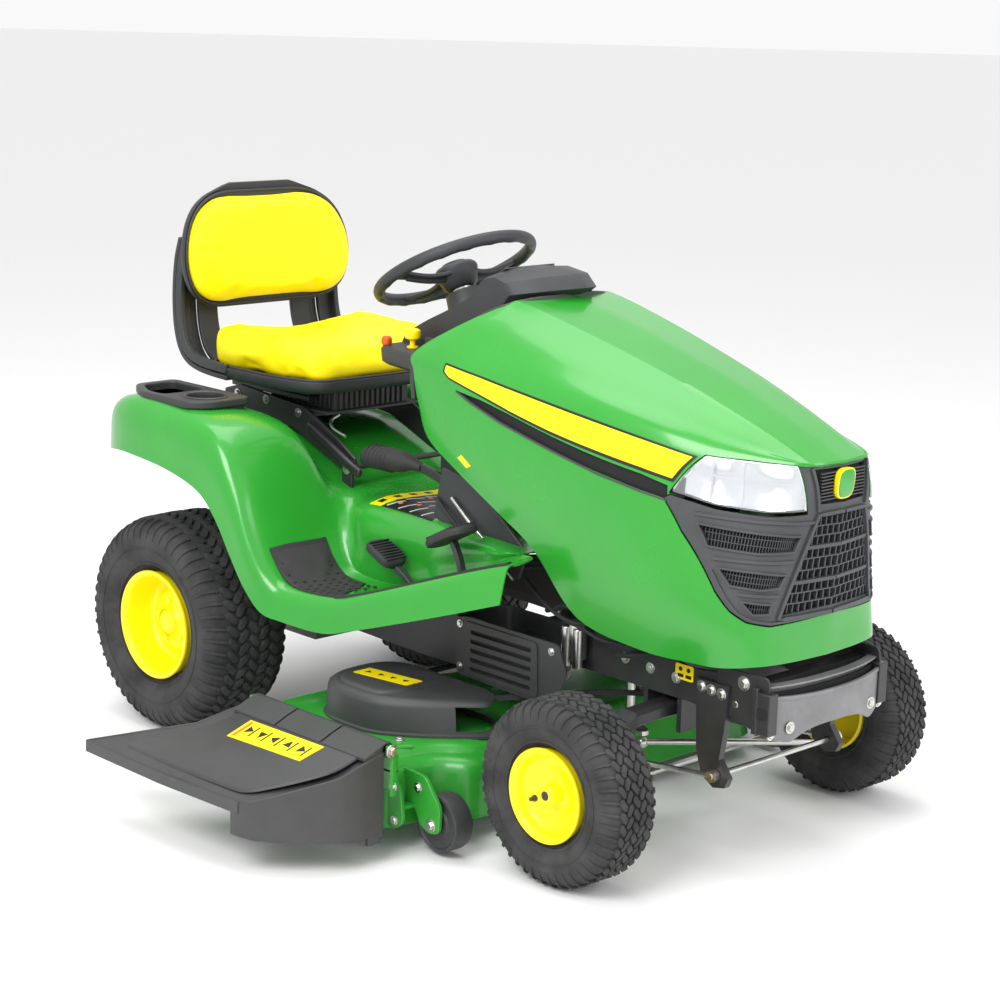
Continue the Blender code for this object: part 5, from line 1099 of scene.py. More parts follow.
def back_ring(x, f, d, bulge=0.0, up=0.0):
    ring = []
    for y, z in grow(BACK_PLAN, d):
        y, z = y * f, 1.080 + (z - 1.080) * f
        ring.append((x + 0.022 * (abs(y) / 0.24) ** 2.2 * bulge - 0.012 * (z - 1.08) / 0.13, y, z + up))
    return ring


rings = [back_ring(BACK_X - 0.052, 1, -0.020), back_ring(BACK_X - 0.048, 1, -0.006, 0.4), back_ring(BACK_X - 0.036, 1, 0.000, 0.8), back_ring(BACK_X - 0.022, 1, 0.001, 1.0), back_ring(BACK_X - 0.010, 1, -0.004, 1.0), back_ring(BACK_X - 0.002, 1, -0.016, 1.0)]
rings += [back_ring(BACK_X + 0.003 * (1 - f), f, -0.016, 1.0) for f in (0.92, 0.80, 0.62, 0.42, 0.20)]


def back_floor(p):
    p = Vector(p)
    if p.x < BACK_X - 0.062:
        p.x = BACK_X - 0.062
    return p


stuffed("back_cushion_foam", from_rings(rings), VINYL, "seat", ["back_cushion"], 0.012, back_floor)

# moulded back shell with its crown, and the pan's raised rim
def shell_ring(x, f, d, crown=0.0):
    ring = []
    for y, z in grow(BACK_PLAN, d):
        y, z = y * f, 1.080 + (z - 1.080) * f
        top = crown * math.exp(-((abs(y) / 0.115) ** 4)) * max(0.0, min(1.0, (z - 1.10) / 0.10))
        ring.append((x + 0.022 * (abs(y) / 0.24) ** 2.2 - 0.012 * (z - 1.08) / 0.13, y, z + top))
    return ring


back_rings = [shell_ring(BACK_X - 0.066, 0.25, -0.02), shell_ring(BACK_X - 0.070, 0.70, -0.02), shell_ring(BACK_X - 0.069, 1, -0.030, 0.004), shell_ring(BACK_X - 0.064, 1, -0.006, 0.014), shell_ring(BACK_X - 0.054, 1, 0.006, 0.018), shell_ring(BACK_X - 0.043, 1, 0.0095, 0.018), shell_ring(BACK_X - 0.037, 1, 0.008, 0.018), shell_ring(BACK_X - 0.040, 1, 0.000, 0.014)]
add("seat_back_shell", from_rings(back_rings), PLASTIC, "seat", ["seat_frame"], smooth=50)
bands = []
for s in (-1, 1):
    line = [(-0.255, 1.110), (-0.269, 1.060), (-0.275, 1.000), (-0.274, 0.940), (-0.265, 0.885), (-0.245, 0.840), (-0.212, 0.812), (-0.165, 0.799), (-0.110, 0.794), (-0.050, 0.792)]
    pts = curve_points([(x, 0, z) for x, z in line], 5)
    for y0, y1, dx, thick in ((0.118, 0.178, 0.0, 0.010), (0.206, 0.252, 0.0, 0.012), (0.174, 0.210, 0.009, 0.006), (0.240, 0.254, -0.016, 0.022)):
        rings = []
        for i, p in enumerate(pts):
            t = (pts[min(i + 1, len(pts) - 1)] - pts[max(i - 1, 0)]).normalized()
            nrm = Vector((-t.z, 0, t.x))
            f = i / (len(pts) - 1)
            narrow = 1.0 - 0.05 * (1 - f)
            base = p - nrm * dx
            tip = base + nrm * thick
            a, b = s * y0 * narrow, s * y1 * narrow
            rings.append([(base.x, a, base.z), (base.x, b, base.z), (tip.x, b, tip.z), (tip.x, a, tip.z)])
        bands.append(from_rings(rings))
add("seat_uprights", join(*bands), PLASTIC, "seat", bevel=0.003, segments=3)


def pan_ring(d, z):
    return [(x, y, z) for x, y in grow(SEAT_PLAN, d)]


add("seat_pan", from_rings([pan_ring(-0.045, 0.7905), pan_ring(-0.012, 0.7915), pan_ring(0.002, 0.797), pan_ring(0.007, 0.807), pan_ring(0.010, 0.819), pan_ring(0.009, 0.8225), pan_ring(0.004, 0.8228), pan_ring(-0.006, 0.8175)]), PLASTIC, "seat", smooth=60)
pipe = [Vector((x, y, 0.8245)) for x, y in grow(SEAT_PLAN, 0.0005)]
add("seat_piping", tube(pipe + pipe[:1], 0.0036, 10), PLASTIC, "seat", smooth=60)
pipe = [Vector(p) for p in back_ring(BACK_X - 0.034, 1, 0.0015, 0.9)]
add("back_piping", tube(pipe + pipe[:1], 0.0032, 10), PLASTIC, "seat", smooth=60)

# seat bracket: arms, ribbed suspension block, wire latch
arm = [(-0.185, 0.715), (-0.180, 0.748), (-0.120, 0.765), (0.120, 0.745), (0.240, 0.690), (0.305, 0.652), (0.308, 0.632), (0.298, 0.618), (0.275, 0.612), (0.180, 0.650), (0.080, 0.690)]
parts = [prism(arm, "y", s * 0.1465, s * 0.1555) for s in (-1, 1)]
parts = [prism(arm, "y", min(s * 0.1465, s * 0.1555), max(s * 0.1465, s * 0.1555)) for s in (-1, 1)]
parts.append(box(-0.150, 0.150, -0.1475, 0.1475, 0.7250, 0.7330))
add("seat_bracket_arms", join(*parts), FRAME_PAINT, "seat_base", ["seat_bracket"], bevel=0.0025, segments=3)
block = [box(-0.060, 0.180, -0.110, 0.110, 0.7325, 0.7895)]
for k in range(15):
    x = -0.052 + 0.0160 * k
    block += [box(x, x + 0.008, s * 0.109, s * 0.1145, 0.742, 0.786) for s in (-1, 1)]
for k in range(13):
    y = -0.100 + 0.0160 * k
    block.append(box(0.179, 0.1845, y, y + 0.008, 0.742, 0.786))
block.append(box(-0.070, 0.190, -0.140, 0.140, 0.7335, 0.7400))
add("seat_suspension_block", join(*block), GREY_PLASTIC, "seat_base", bevel=0.0015)
rails = []
for s in (-1, 1):
    rails.append(box(-0.160, 0.130, s * 0.118, s * 0.150, 0.7585, 0.7700))
    rails.append(box(-0.155, 0.125, s * 0.126, s * 0.144, 0.7700, 0.7898))
add("seat_slide_rails", join(*rails), FRAME_PAINT, "seat_base", bevel=0.0015)
heads = [bolt((x, s * 0.1555, z), (0, s, 0), 0.0075, 0.006) for s in (-1, 1) for x, z in ((-0.130, 0.742), (-0.020, 0.742), (0.100, 0.728))]
heads += [bolt((0.290, s * 0.1665, 0.628), (0, s, 0), 0.009, 0.006) for s in (-1, 1)]
add("seat_bracket_bolts", join(*heads), ZINC, "seat_base", bevel=0.0005)
wire = curve_points([(0.205, -0.120, 0.735), (0.215, -0.150, 0.728), (0.235, -0.165, 0.716), (0.262, -0.168, 0.708), (0.285, -0.168, 0.703)], 5)
add("seat_latch_wire", tube(wire, 0.0035, 12), ZINC, "seat_base")
lever = curve_points([(0.150, -0.165, 0.708), (0.230, -0.172, 0.676), (0.305, -0.172, 0.640), (0.345, -0.172, 0.625)], 5)
add("seat_hinge_link", bar(lever, 0.014, 0.022), FRAME_PAINT, "seat_base", bevel=0.005, segments=3)
spring = []
for s in (-1, 1):
    spring += [turned([(0.004, 0.6905), (0.022, 0.6905), (0.026, 0.697), (0.021, 0.703), (0.026, 0.709), (0.021, 0.715), (0.025, 0.7245), (0.004, 0.7245)], "z", (-0.120, s * 0.110, 0), 28)]
add("seat_rubber_springs", join(*spring), BELT, "seat_base")

# ================================================================ steering wheel
rings = []
n, m = 108, 18
for k in range(n):
    t = 2 * math.pi * k / n
    ring = []
    for j in range(m):
        p = 2 * math.pi * j / m
        bump = 1.0 + (0.13 * max(0.0, math.sin(20 * t)) ** 1.0) * max(0.0, -math.sin(p)) 
        r = 0.179 + 0.0126 * math.cos(p)
        ring.append((r * math.cos(t), r * math.sin(t), 0.0140 * math.sin(p) * bump))
    rings.append(ring)
wheel = [from_rings(rings, closed=True)]
for deg in (-90, 90, 180):
    a = math.radians(deg)
    c, s = math.cos(a), math.sin(a)
    path = [(r * c, r * s, z) for r, z in ((0.030, -0.016), (0.055, -0.018), (0.085, -0.017), (0.115, -0.013), (0.145, -0.007), (0.174, -0.001))]
    path = curve_points(path, 4)
    count = len(path)
    wide = [0.062 - 0.034 * math.sin(min(1.0, i / (count * 0.55)) * math.pi / 2) + 0.018 * max(0.0, (i / count - 0.75) / 0.25) for i in range(count)]
    wheel.append(bar(path, wide, 0.010))
    wheel.append(bar([p + Vector((0, 0, -0.007)) for p in path[:-3]], 0.010, 0.012))
hub = turned([(0.0005, -0.050), (0.030, -0.050), (0.040, -0.040), (0.046, -0.022), (0.050, -0.010), (0.050, -0.002), (0.044, 0.004), (0.030, 0.0075), (0.0005, 0.0085)], "z", (0, 0, 0), 64)
wheel.append(hub)
wheel = join(*wheel)
wheel.transform(tunnel)
add("steering_wheel_grip", wheel, PLASTIC, "helm", ["steering_wheel"], bevel=0.0030, segments=3, smooth=32)
cap = turned([(0.0005, 0.006), (0.026, 0.006), (0.030, 0.0085), (0.028, 0.0115), (0.018, 0.0135), (0.0005, 0.0145)], "z", (0, 0, 0), 48)
add("steering_wheel_cap", moved(cap, tunnel), GREY_PLASTIC, "helm")
length = (1.095 - 0.452) / math.cos(TILT)
shaft = join(rod("z", 0, 0, -length, -0.045, 0.0100, 24), rod("z", 0, 0, -length - 0.006, -length + 0.030, 0.0150, 24), turned([(0.010, -0.055), (0.021, -0.055), (0.022, -0.048), (0.010, -0.046)], "z", (0, 0, 0), 32))
add("steering_shaft", moved(shaft, tunnel), ZINC, "helm", bevel=0.0015)

# ================================================================ dash
def dash_section(y):
    """Outline of the pod in the side view at y."""
    k = min(1.0, abs(y) / 0.200)
    drop = 0.075 * k ** 2.2
    pts = [(0.425, 0.905), (0.418, 0.935), (0.430, 0.957), (0.500, 1.000 - drop * 0.3), (0.575, 1.046 - drop * 0.8), (0.640, 1.086 - drop), (0.672, 1.116 - drop), (0.705, 1.1285 - drop), (0.770, 1.134 - drop), (0.840, 1.125 - drop), (0.872, 1.098 - drop * 0.9),
           (0.790, 1.055 - drop), (0.700, 0.990 - drop), (0.640, 0.930 - drop * 0.6), (0.600, 0.905)]
    nose = 0.115 * (abs(y) / 0.118) ** 2.0
    return [(x - nose * max(0.0, (x - 0.66) / 0.21), y, z) for x, z in pts]


pod = from_rings([dash_section(y) for y in (-0.118, -0.112, -0.095, -0.060, 0.0, 0.060, 0.095, 0.112, 0.118)])
pod = cut(pod, moved(rod("z", 0, 0, -0.9, 0.2, 0.018, 32), tunnel))
add("dash_cowl", pod, PLASTIC, "machine", ["dash_pod"], bevel=0.006, segments=3, smooth=45)
column = turned([(0.017, -0.140), (0.056, -0.140), (0.050, -0.110), (0.044, -0.080), (0.041, -0.058), (0.017, -0.056)], "z", (0, 0, 0), 48)
add("steering_column_boot", moved(column, tunnel), GREY_PLASTIC, "machine")
tower = prism([(0.545, 0.625), (0.555, 0.620), (0.600, 0.620), (0.606, 0.700), (0.640, 0.930), (0.560, 0.930), (0.530, 0.850), (0.545, 0.700)], "y", -0.110, 0.110)
tower = cut(tower, moved(rod("z", 0, 0, -0.9, 0.2, 0.018, 32), tunnel))
add("dash_tower", tower, PLASTIC, "machine", bevel=0.012, segments=4)
shelf_ring = lambda z, d: [(x, y, z) for x, y in rounded_polygon(grow([(0.415, -0.19), (0.600, -0.228), (0.600, 0.228), (0.415, 0.19)], d), 0.03)]
shelf = from_rings([shelf_ring(0.893, -0.012), shelf_ring(0.900, -0.002), shelf_ring(0.926, 0.0), shelf_ring(0.934, -0.004), shelf_ring(0.9352, -0.012)])
shelf = cut(shelf, moved(rod("z", 0, 0, -0.9, 0.2, 0.0185, 32), tunnel))
add("dash_shelf", shelf, PLASTIC, "machine", smooth=50)
# trim that closes the gap between the shelf and the hood's rear edge
trim = []
for s in (-1, 1):
    edge = [(0.598, 0.232, 0.850), (0.598, 0.238, 0.905), (0.600, 0.236, 0.940), (0.640, 0.220, 0.975), (0.694, 0.196, 1.005), (0.750, 0.165, 1.045), (0.800, 0.134, 1.068), (0.826, 0.07, 1.078), (0.832, 0.0, 1.081)]
    trim.append(bar(curve_points([(x - 0.004, s * y, z - 0.006) for x, y, z in edge], 5), 0.012, 0.018))
    flank = []
    for x, y, z in edge[2:8]:
        flank.append([(x - 0.002, s * y, z - 0.012), (x - 0.010, s * y * 0.62, z - 0.002 + 0.010), (x - 0.010, s * y * 0.62, z - 0.020), (x, s * y, z - 0.022)])
    trim.append(from_rings(flank))
add("hood_edge_trim", join(*trim), GREY_PLASTIC, "machine", bevel=0.002)
face = prism([(0.640, 1.0875), (0.700, 1.1240), (0.698, 1.1275), (0.637, 1.0905)], "y", -0.075, 0.075)
add("gauge_panel", face, GREY_PLASTIC, "machine", bevel=0.0015)
gtilt = Matrix.Translation((0.668, 0.0, 1.1075)) @ Matrix.Rotation(-math.atan2(0.0365, 0.060), 4, "Y")
add("gauge_window", moved(join(turned([(0.0005, 0), (0.021, 0), (0.021, 0.0015), (0.0005, 0.0018)], "z", (0, -0.038, 0), 40), turned([(0.0005, 0), (0.021, 0), (0.021, 0.0015), (0.0005, 0.0018)], "z", (0, 0.038, 0), 40)), gtilt), WHITE_INK, "machine")
ticks = []
for cy in (-0.038, 0.038):
    for k in range(9):
        a = math.radians(-30 + 30 * k)
        ticks.append(moved(box(0.014, 0.019, -0.0006, 0.0006, 0.0016, 0.0024), Matrix.Translation((0, cy, 0)) @ Matrix.Rotation(a + math.pi / 2, 4, "Z")))
    ticks.append(moved(box(-0.002, 0.015, -0.0009, 0.0009, 0.0018, 0.0028), Matrix.Translation((0, cy, 0)) @ Matrix.Rotation(2.4, 4, "Z")))
    ticks.append(turned([(0.0205, 0), (0.0240, 0), (0.0240, 0.004), (0.0205, 0.0045)], "z", (0, cy, 0), 40))
add("gauge_marks", moved(join(*ticks), gtilt), INK, "machine")

knob = join(turned([(0.0005, 0.9353), (0.0125, 0.9353), (0.0125, 0.9385), (0.006, 0.940), (0.0058, 0.950), (0.010, 0.953), (0.017, 0.957), (0.0182, 0.966), (0.0170, 0.974), (0.012, 0.9775), (0.0005, 0.9785)], "z", (0.500, -0.160, 0), 40))
add("blade_switch_knob", knob, YELLOW_LABEL, "pto", ["pto_knob"])
key = join(turned([(0.0005, 0.9353), (0.011, 0.9353), (0.0115, 0.9415), (0.0095, 0.944), (0.0005, 0.944)], "z", (0.560, -0.165, 0), 32))
add("ignition_key_barrel", key, ZINC, "key", ["ignition_key"])
add("ignition_key_bow", prism(rounded_polygon([(0.549, 0.944), (0.571, 0.944), (0.573, 0.966), (0.547, 0.966)], 0.006), "y", -0.1672, -0.1628), PLASTIC, "key", bevel=0.001)
stalk = curve_points([(0.520, 0.165, 0.944), (0.520, 0.165, 0.970), (0.516, 0.165, 1.000)], 5)
add("throttle_stalk", join(tube(stalk, 0.0038, 14), rod("y", 0.520, 0.944, 0.157, 0.173, 0.008, 24)), ZINC, "throttle", ["throttle_lever"])
grip = from_rings([super_ring(0.5155, 0.165, 0.0135 * k, 0.009 * k, z, 2.6, n=24) for z, k in ((0.992, 0.55), (0.996, 0.9), (1.006, 1.0), (1.017, 0.95), (1.0215, 0.6))])
add("throttle_grip", grip, RED, "throttle")
add("choke_tab", from_rings([super_ring(0.432, -0.176, 0.012 * k, 0.010 * k, z, 2.8, n=24) for z, k in ((0.934, 0.8), (0.940, 1.0), (0.950, 0.95), (0.954, 0.6))]), RED, "machine")

# ================================================================ pedals and lift lever
def pedal_pad(name, body, node_name, px, py, pz, x0, x1, z0, z1, half, ribs):
    dx, dz = x1 - x0, z1 - z0
    ln = math.hypot(dx, dz)
    u, nrm = Vector((dx / ln, 0, dz / ln)), Vector((-dz / ln, 0, dx / ln))
    mid = Vector(((x0 + x1) / 2, py, (z0 + z1) / 2))
    rot = Matrix(((u.x, 0, nrm.x, mid.x), (u.y, 1, nrm.y, mid.y), (u.z, 0, nrm.z, mid.z), (0, 0, 0, 1)))
    rings = []
    for h, k in ((-0.010, 0.86), (-0.007, 0.97), (0.002, 1.0), (0.007, 0.96), (0.0095, 0.84)):
        rings.append([(a, b, h + 0.004 * (1 - (a / (ln / 2)) ** 2)) for a, b, _ in super_ring(0, 0, ln / 2 * k, half * k, 0, 3.0, n=40)])
    bars = [box(-ln / 2 * 0.70 + i * ln * 0.70 / ribs, -ln / 2 * 0.70 + i * ln * 0.70 / ribs + 0.0035, -half * 0.78, half * 0.78, 0.008, 0.0155) for i in range(ribs + 1)]
    add(name, moved(join(from_rings(rings), *bars), rot), PEDAL, body, [node_name], bevel=0.0012, smooth=40)
    path = curve_points([(px, py, pz), ((px + mid.x) / 2 + 0.010, py, (pz + mid.z) / 2 - 0.002), (mid.x + 0.006, py, mid.z - 0.008)], 6)
    add(name + "_arm", join(bar(path, 0.012, 0.016, (0, 1, 0)), rod("y", px, pz, py - 0.014, py + 0.014, 0.011, 28)), FRAME_PAINT, body, bevel=0.002)


pedal_pad("reverse_pedal_pad", "pedal_reverse", "reverse_pedal", 0.690, -0.300, 0.4355, 0.540, 0.622, 0.524, 0.486, 0.036, 7)
pedal_pad("forward_pedal_pad", "pedal_forward", "forward_pedal", 0.830, -0.300, 0.4790, 0.735, 0.845, 0.556, 0.612, 0.042, 9)
pedal_pad("brake_pedal_pad", "pedal_brake", "brake_pedal", 0.830, 0.300, 0.4790, 0.740, 0.840, 0.559, 0.611, 0.046, 9)
stations = ((0.352, 0.668, 0.018, 0.014), (0.359, 0.668, 0.028, 0.023), (0.380, 0.670, 0.031, 0.027), (0.430, 0.673, 0.030, 0.027), (0.480, 0.675, 0.028, 0.024), (0.505, 0.676, 0.018, 0.015), (0.540, 0.672, 0.010, 0.010))
rings = []
for x, z, wy, hz in stations:
    rings.append([(x, -0.160 + wy * math.cos(a), z + hz * math.sin(a)) for a in (2 * math.pi * k / 24 for k in range(24))])
ribs = []
for k in range(6):
    x = 0.366 + 0.013 * k
    ribs.append(moved(turned([(0.020, -0.002), (0.0225, 0.0), (0.020, 0.002)], "x", (0, 0, 0), 36), Matrix.Translation((x + 0.012, -0.160, 0.672)) @ Matrix.Diagonal((1, 1.40, 1.24, 1))))
add("lift_lever_grip", join(from_rings(rings), *ribs), PEDAL, "lift", ["lift_lever"], sub=0, smooth=50)
path = curve_points([(0.505, -0.160, 0.676), (0.560, -0.160, 0.668), (0.610, -0.160, 0.656), (0.660, -0.160, 0.640)], 5)
add("lift_lever_arm", join(bar(path, 0.012, 0.020), rod("y", 0.660, 0.640, -0.174, -0.146, 0.016, 28)), FRAME_PAINT, "lift", bevel=0.002)
add("lift_lever_pin", join(rod("y", 0.660, 0.640, -0.200, -0.120, 0.007, 20), bolt((0.660, -0.176, 0.640), (0, -1, 0), 0.009, 0.007)), ZINC, "lift", bevel=0.0006)
# panels, rods and cables in front of the platform, inside the hood's rear corner
panel = []
for s in (-1, 1):
    panel.append(prism([(0.635, 0.590), (0.660, 0.700), (0.740, 0.690), (0.850, 0.620), (0.930, 0.560), (0.905, 0.500), (0.760, 0.500), (0.690, 0.560)], "y", min(s * 0.206, s * 0.212), max(s * 0.206, s * 0.212)))
add("footwell_side_panels", join(*panel), PLASTIC, "machine", bevel=0.003)
rods = []
for s in (-1, 1):
    rods.append(tube(curve_points([(0.700, s * 0.218, 0.640), (0.760, s * 0.222, 0.600), (0.820, s * 0.222, 0.560), (0.900, s * 0.220, 0.500)], 5), 0.0045, 12))
    rods.append(tube(curve_points([(0.705, s * 0.228, 0.560), (0.735, s * 0.228, 0.520), (0.745, s * 0.228, 0.480)], 5), 0.0055, 12))
add("footwell_rods", join(*rods), ZINC, "machine")
hoses = []
for k, (y0, z0) in enumerate(((-0.216, 0.600), (-0.190, 0.585), (-0.180, 0.560))):
    hoses.append(tube(curve_points([(0.650, y0, z0 + 0.03), (0.700, y0 - 0.008, z0), (0.760, y0, z0 - 0.04), (0.850, y0 + 0.02, z0 - 0.05), (0.930, y0 + 0.05, z0 - 0.04)], 6), 0.0048, 12))
add("footwell_cables", join(*hoses), BELT, "machine")

# ================================================================ mower deck
DECK = [
    (0.440, -0.470), (0.500, -0.580), (0.580, -0.626), (0.900, -0.626), (0.945, -0.600), (0.952, -0.478), (1.018, -0.440), (1.018, 0.440),
    (0.952, 0.478), (0.945, 0.600), (0.900, 0.624), (0.600, 0.624), (0.500, 0.570), (0.440, 0.460), (0.430, 0.250), (0.520, 0.120),
    (0.520, -0.120), (0.430, -0.250),
]
round_deck = rounded_polygon(DECK, 0.045, 5)


def deck_ring(z, d):
    return [(x, y, z) for x, y in grow(round_deck, d)]


outer = from_rings([deck_ring(z, d) for z, d in ((0.050, 0.0), (0.054, 0.003), (0.060, 0.0), (0.145, -0.001), (0.160, -0.006), (0.170, -0.014), (0.1755, -0.026), (0.1770, -0.034))])
inner = from_rings([deck_ring(z, d) for z, d in ((0.040, -0.0045), (0.140, -0.0055), (0.156, -0.012), (0.166, -0.022), (0.1700, -0.034))])
TOP = [(0.470, -0.520), (0.560, -0.590), (0.890, -0.590), (0.920, -0.460), (0.975, -0.410), (0.975, 0.410), (0.920, 0.460), (0.890, 0.585), (0.620, 0.585), (0.490, 0.480), (0.480, 0.250), (0.560, 0.080), (0.560, -0.080), (0.480, -0.250)]
round_top = rounded_polygon(TOP, 0.05, 5)
dome = from_rings([[(x, y, z) for x, y in grow(round_top, d)] for z, d in ((0.168, 0.006), (0.178, 0.0), (0.188, -0.008), (0.1935, -0.018), (0.1950, -0.030))])
shell = cut(union(outer, dome), inner, box(0.600, 0.890, -0.650, -0.560, 0.040, 0.145))
add("deck_stamping", shell, GREEN_LOW, "deck", ["deck_shell"], smooth=40)
# stamped ribs and the folded front edge
ribs = []
for y in (-0.300, -0.150, 0.150, 0.300):
    ribs.append(from_rings([super_ring(0.940, y, 0.030 * k, 0.012 * k, z, 2.4, n=24) for z, k in ((0.1925, 1.15), (0.1965, 1.0), (0.1985, 0.7))]))
for s in (-1, 1):
    ribs.append(tube(curve_points([(0.640, s * 0.560, 0.1930), (0.760, s * 0.570, 0.1945), (0.860, s * 0.560, 0.1930), (0.900, s * 0.500, 0.1915)], 6), 0.005, 12))
add("deck_ribs", join(*ribs), GREEN_LOW, "deck", smooth=50)
arms = []
for s in (-1, 1):
    plate = prism(rounded_polygon([(0.925, 0.095), (0.925, 0.172), (1.005, 0.168), (1.050, 0.112), (1.048, 0.058), (1.020, 0.050), (0.992, 0.062), (0.975, 0.095)], 0.012), "y", min(s * 0.5495, s * 0.5585), max(s * 0.5495, s * 0.5585))
    arms.append(plate)
    arms.append(prism(rounded_polygon([(0.880, 0.060), (0.880, 0.150), (0.950, 0.165), (0.975, 0.140), (0.985, 0.075), (0.960, 0.052)], 0.012), "y", min(s * 0.5900, s * 0.5985), max(s * 0.5900, s * 0.5985)))
    arms.append(box(0.940, 0.975, s * 0.555, s * 0.598, 0.095, 0.102))
add("gauge_wheel_arms", join(*arms), GREEN_LOW, "deck", bevel=0.0015)
heads = []
for s in (-1, 1):
    heads.append(bolt((1.025, s * 0.5590, 0.070), (0, s, 0), 0.009, 0.007))
    heads.append(bolt((0.960, s * 0.5990, 0.072), (0, s, 0), 0.007, 0.005))
    heads.append(bolt((0.985, s * 0.5590, 0.140), (0, s, 0), 0.0075, 0.006))
heads.append(bolt((0.9945, -0.640, 0.236), (1, 0, 0), 0.009, 0.008))
heads.append(bolt((0.989, -0.629, 0.160), (0, -1, 0), 0.007, 0.006))
add("deck_bolts", join(*heads), ZINC, "deck", bevel=0.0005)
# hinge plate along the discharge side, with its bar and end brackets
hp = [box(0.570, 0.990, -0.632, -0.617, 0.150, 0.2245), box(0.570, 0.990, -0.632, -0.600, 0.186, 0.1925)]
hy = -0.640
for x0, x1 in ((0.9865, 0.9945), (0.5515, 0.5590)):
    hp.append(prism([(hy - 0.009, 0.247), (hy + 0.015, 0.247), (hy + 0.015, 0.140), (hy + 0.003, 0.140), (hy + 0.003, 0.224), (hy - 0.009, 0.226)], "x", x0, x1))
add("chute_hinge_plate", join(*hp), GREEN_LOW, "deck", bevel=0.0012)
add("chute_hinge_bar", rod("x", hy, 0.236, 0.545, 1.004, 0.0042, 20), ZINC, "deck")
for side, s in (("right", -1), ("left", 1)):
    c = (1.025, s * 0.5200, 0.070)
    roll = turned([(0.0070, -0.0240), (0.030, -0.0240), (0.034, -0.020), (0.050, -0.020), (0.054, -0.024), (0.0585, -0.0225), (0.0600, -0.017), (0.0600, 0.017), (0.0585, 0.0225), (0.054, 0.024), (0.050, 0.020), (0.034, 0.020), (0.030, 0.024), (0.0070, 0.024)], "y", c, 64)
    spokes = [moved(box(0.030, 0.052, -0.018, 0.018, -0.003, 0.003), Matrix.Translation(c) @ Matrix.Rotation(2 * math.pi * k / 6, 4, "Y")) for k in range(6)]
    add("gauge_roller_" + side, join(roll, *spokes), PLASTIC, "roller_" + side[0], ["gauge_wheel_" + side], smooth=35)
    add("gauge_axle_" + side, rod("y", 1.025, 0.070, s * 0.4930, s * 0.5640, 0.0065, 20), ZINC, "roller_" + side[0], bevel=0.001)

# belt covers
for side, s in (("right", -1), ("left", 1)):
    plan = rounded_polygon([(0.578, s * 0.330), (0.580, s * 0.430), (0.606, s * 0.492), (0.672, s * 0.520), (0.790, s * 0.518), (0.868, s * 0.462), (0.975, s * 0.345), (0.915, s * 0.272), (0.635, s * 0.272)], 0.036, 6)
    def ring(z, d):
        return [(x, y, z) for x, y in grow(plan, d)]
    cover = from_rings([ring(z, d) for z, d in ((0.1952, 0.005), (0.2000, 0.005), (0.2030, 0.0), (0.2550, -0.003), (0.2650, -0.006), (0.2705, -0.013), (0.2725, -0.026))])
    inner = from_rings([ring(z, d) for z, d in ((0.190, -0.004), (0.2530, -0.007), (0.2620, -0.010), (0.2665, -0.017), (0.2685, -0.029))])
    cover = cut(cover, inner, box(0.575, 0.985, s * 0.262, s * 0.400, 0.2080, 0.2600))
    add("belt_cover_moulding_" + side, cover, GREY_PLASTIC, "deck", ["belt_cover_" + side], smooth=38)
    top = from_rings([[(x, y, z) for x, y in grow(rounded_polygon([(0.610, s * 0.335), (0.612, s * 0.430), (0.640, s * 0.480), (0.690, s * 0.492), (0.780, s * 0.488), (0.800, s * 0.440), (0.800, s * 0.300), (0.645, s * 0.300)], 0.030, 6), d)] for z, d in ((0.2700, 0.004), (0.2755, 0.0), (0.2775, -0.006), (0.2780, -0.016))])
    add("belt_cover_dome_" + side, top, GREY_PLASTIC, "deck", smooth=50)
    lab = prism(rounded_polygon([(0.640, s * 0.440), (0.640, s * 0.392), (0.785, s * 0.368), (0.785, s * 0.416)], 0.004), "z", 0.2778, 0.2790)
    add("belt_cover_label_" + side, lab, YELLOW_LABEL, "deck")
    marks = [prism(circle(0.662 + 0.033 * k, s * (0.4135 - 0.0055 * k), 0.0085, 3, 0.3 * k), "z", 0.2785, 0.2796) for k in range(4)]
    add("belt_cover_pictograms_" + side, join(*marks), INK, "deck")
    heads = [bolt((0.566, s * 0.400, 0.2000), (0, 0, 1), 0.007, 0.006), bolt((0.860, s * 0.500, 0.1960), (0, 0, 1), 0.007, 0.006)]
    add("belt_cover_screws_" + side, join(*heads), ZINC, "deck", bevel=0.0005)

# chute: pressed lid, rolled edges, front wall, segmented hinge barrel
top = [(0.563, hy - 0.008, 0.238), (0.520, -0.760, 0.200), (0.343, -0.918, 0.151), (0.360, -0.922, 0.150), (0.600, -0.915, 0.150), (0.845, -0.902, 0.150), (0.900, -0.860, 0.160), (0.975, -0.775, 0.186), (0.984, -0.755, 0.191), (0.984, hy - 0.008, 0.236)]
lid = from_rings([[(x, y, z - 0.0055) for x, y, z in top], top])
raised_plan = [(0.585, -0.672), (0.560, -0.760), (0.430, -0.890), (0.600, -0.890), (0.835, -0.880), (0.900, -0.820), (0.955, -0.755), (0.958, -0.672)]
def lid_z(x, y):
    """Height of the sloping lid at (x, y)."""
    f = min(1.0, max(0.0, (hy - 0.008 - y) / 0.262))
    rear = 0.238 + (0.151 - 0.238) * f
    front = 0.236 + (0.150 - 0.236) * f ** 1.25
    t = min(1.0, max(0.0, (x - 0.50) / 0.48))
    return rear + (front - rear) * t
rp = rounded_polygon(raised_plan, 0.03, 4)
raised = from_rings([[(x, y, lid_z(x, y) + h) for x, y in grow(rp, d)] for h, d in ((-0.003, 0.004), (0.0020, 0.001), (0.0036, -0.004))])
add("chute_lid", join(lid, raised), GREY_PLASTIC, "discharge", ["chute"], bevel=0.0018, smooth=40)
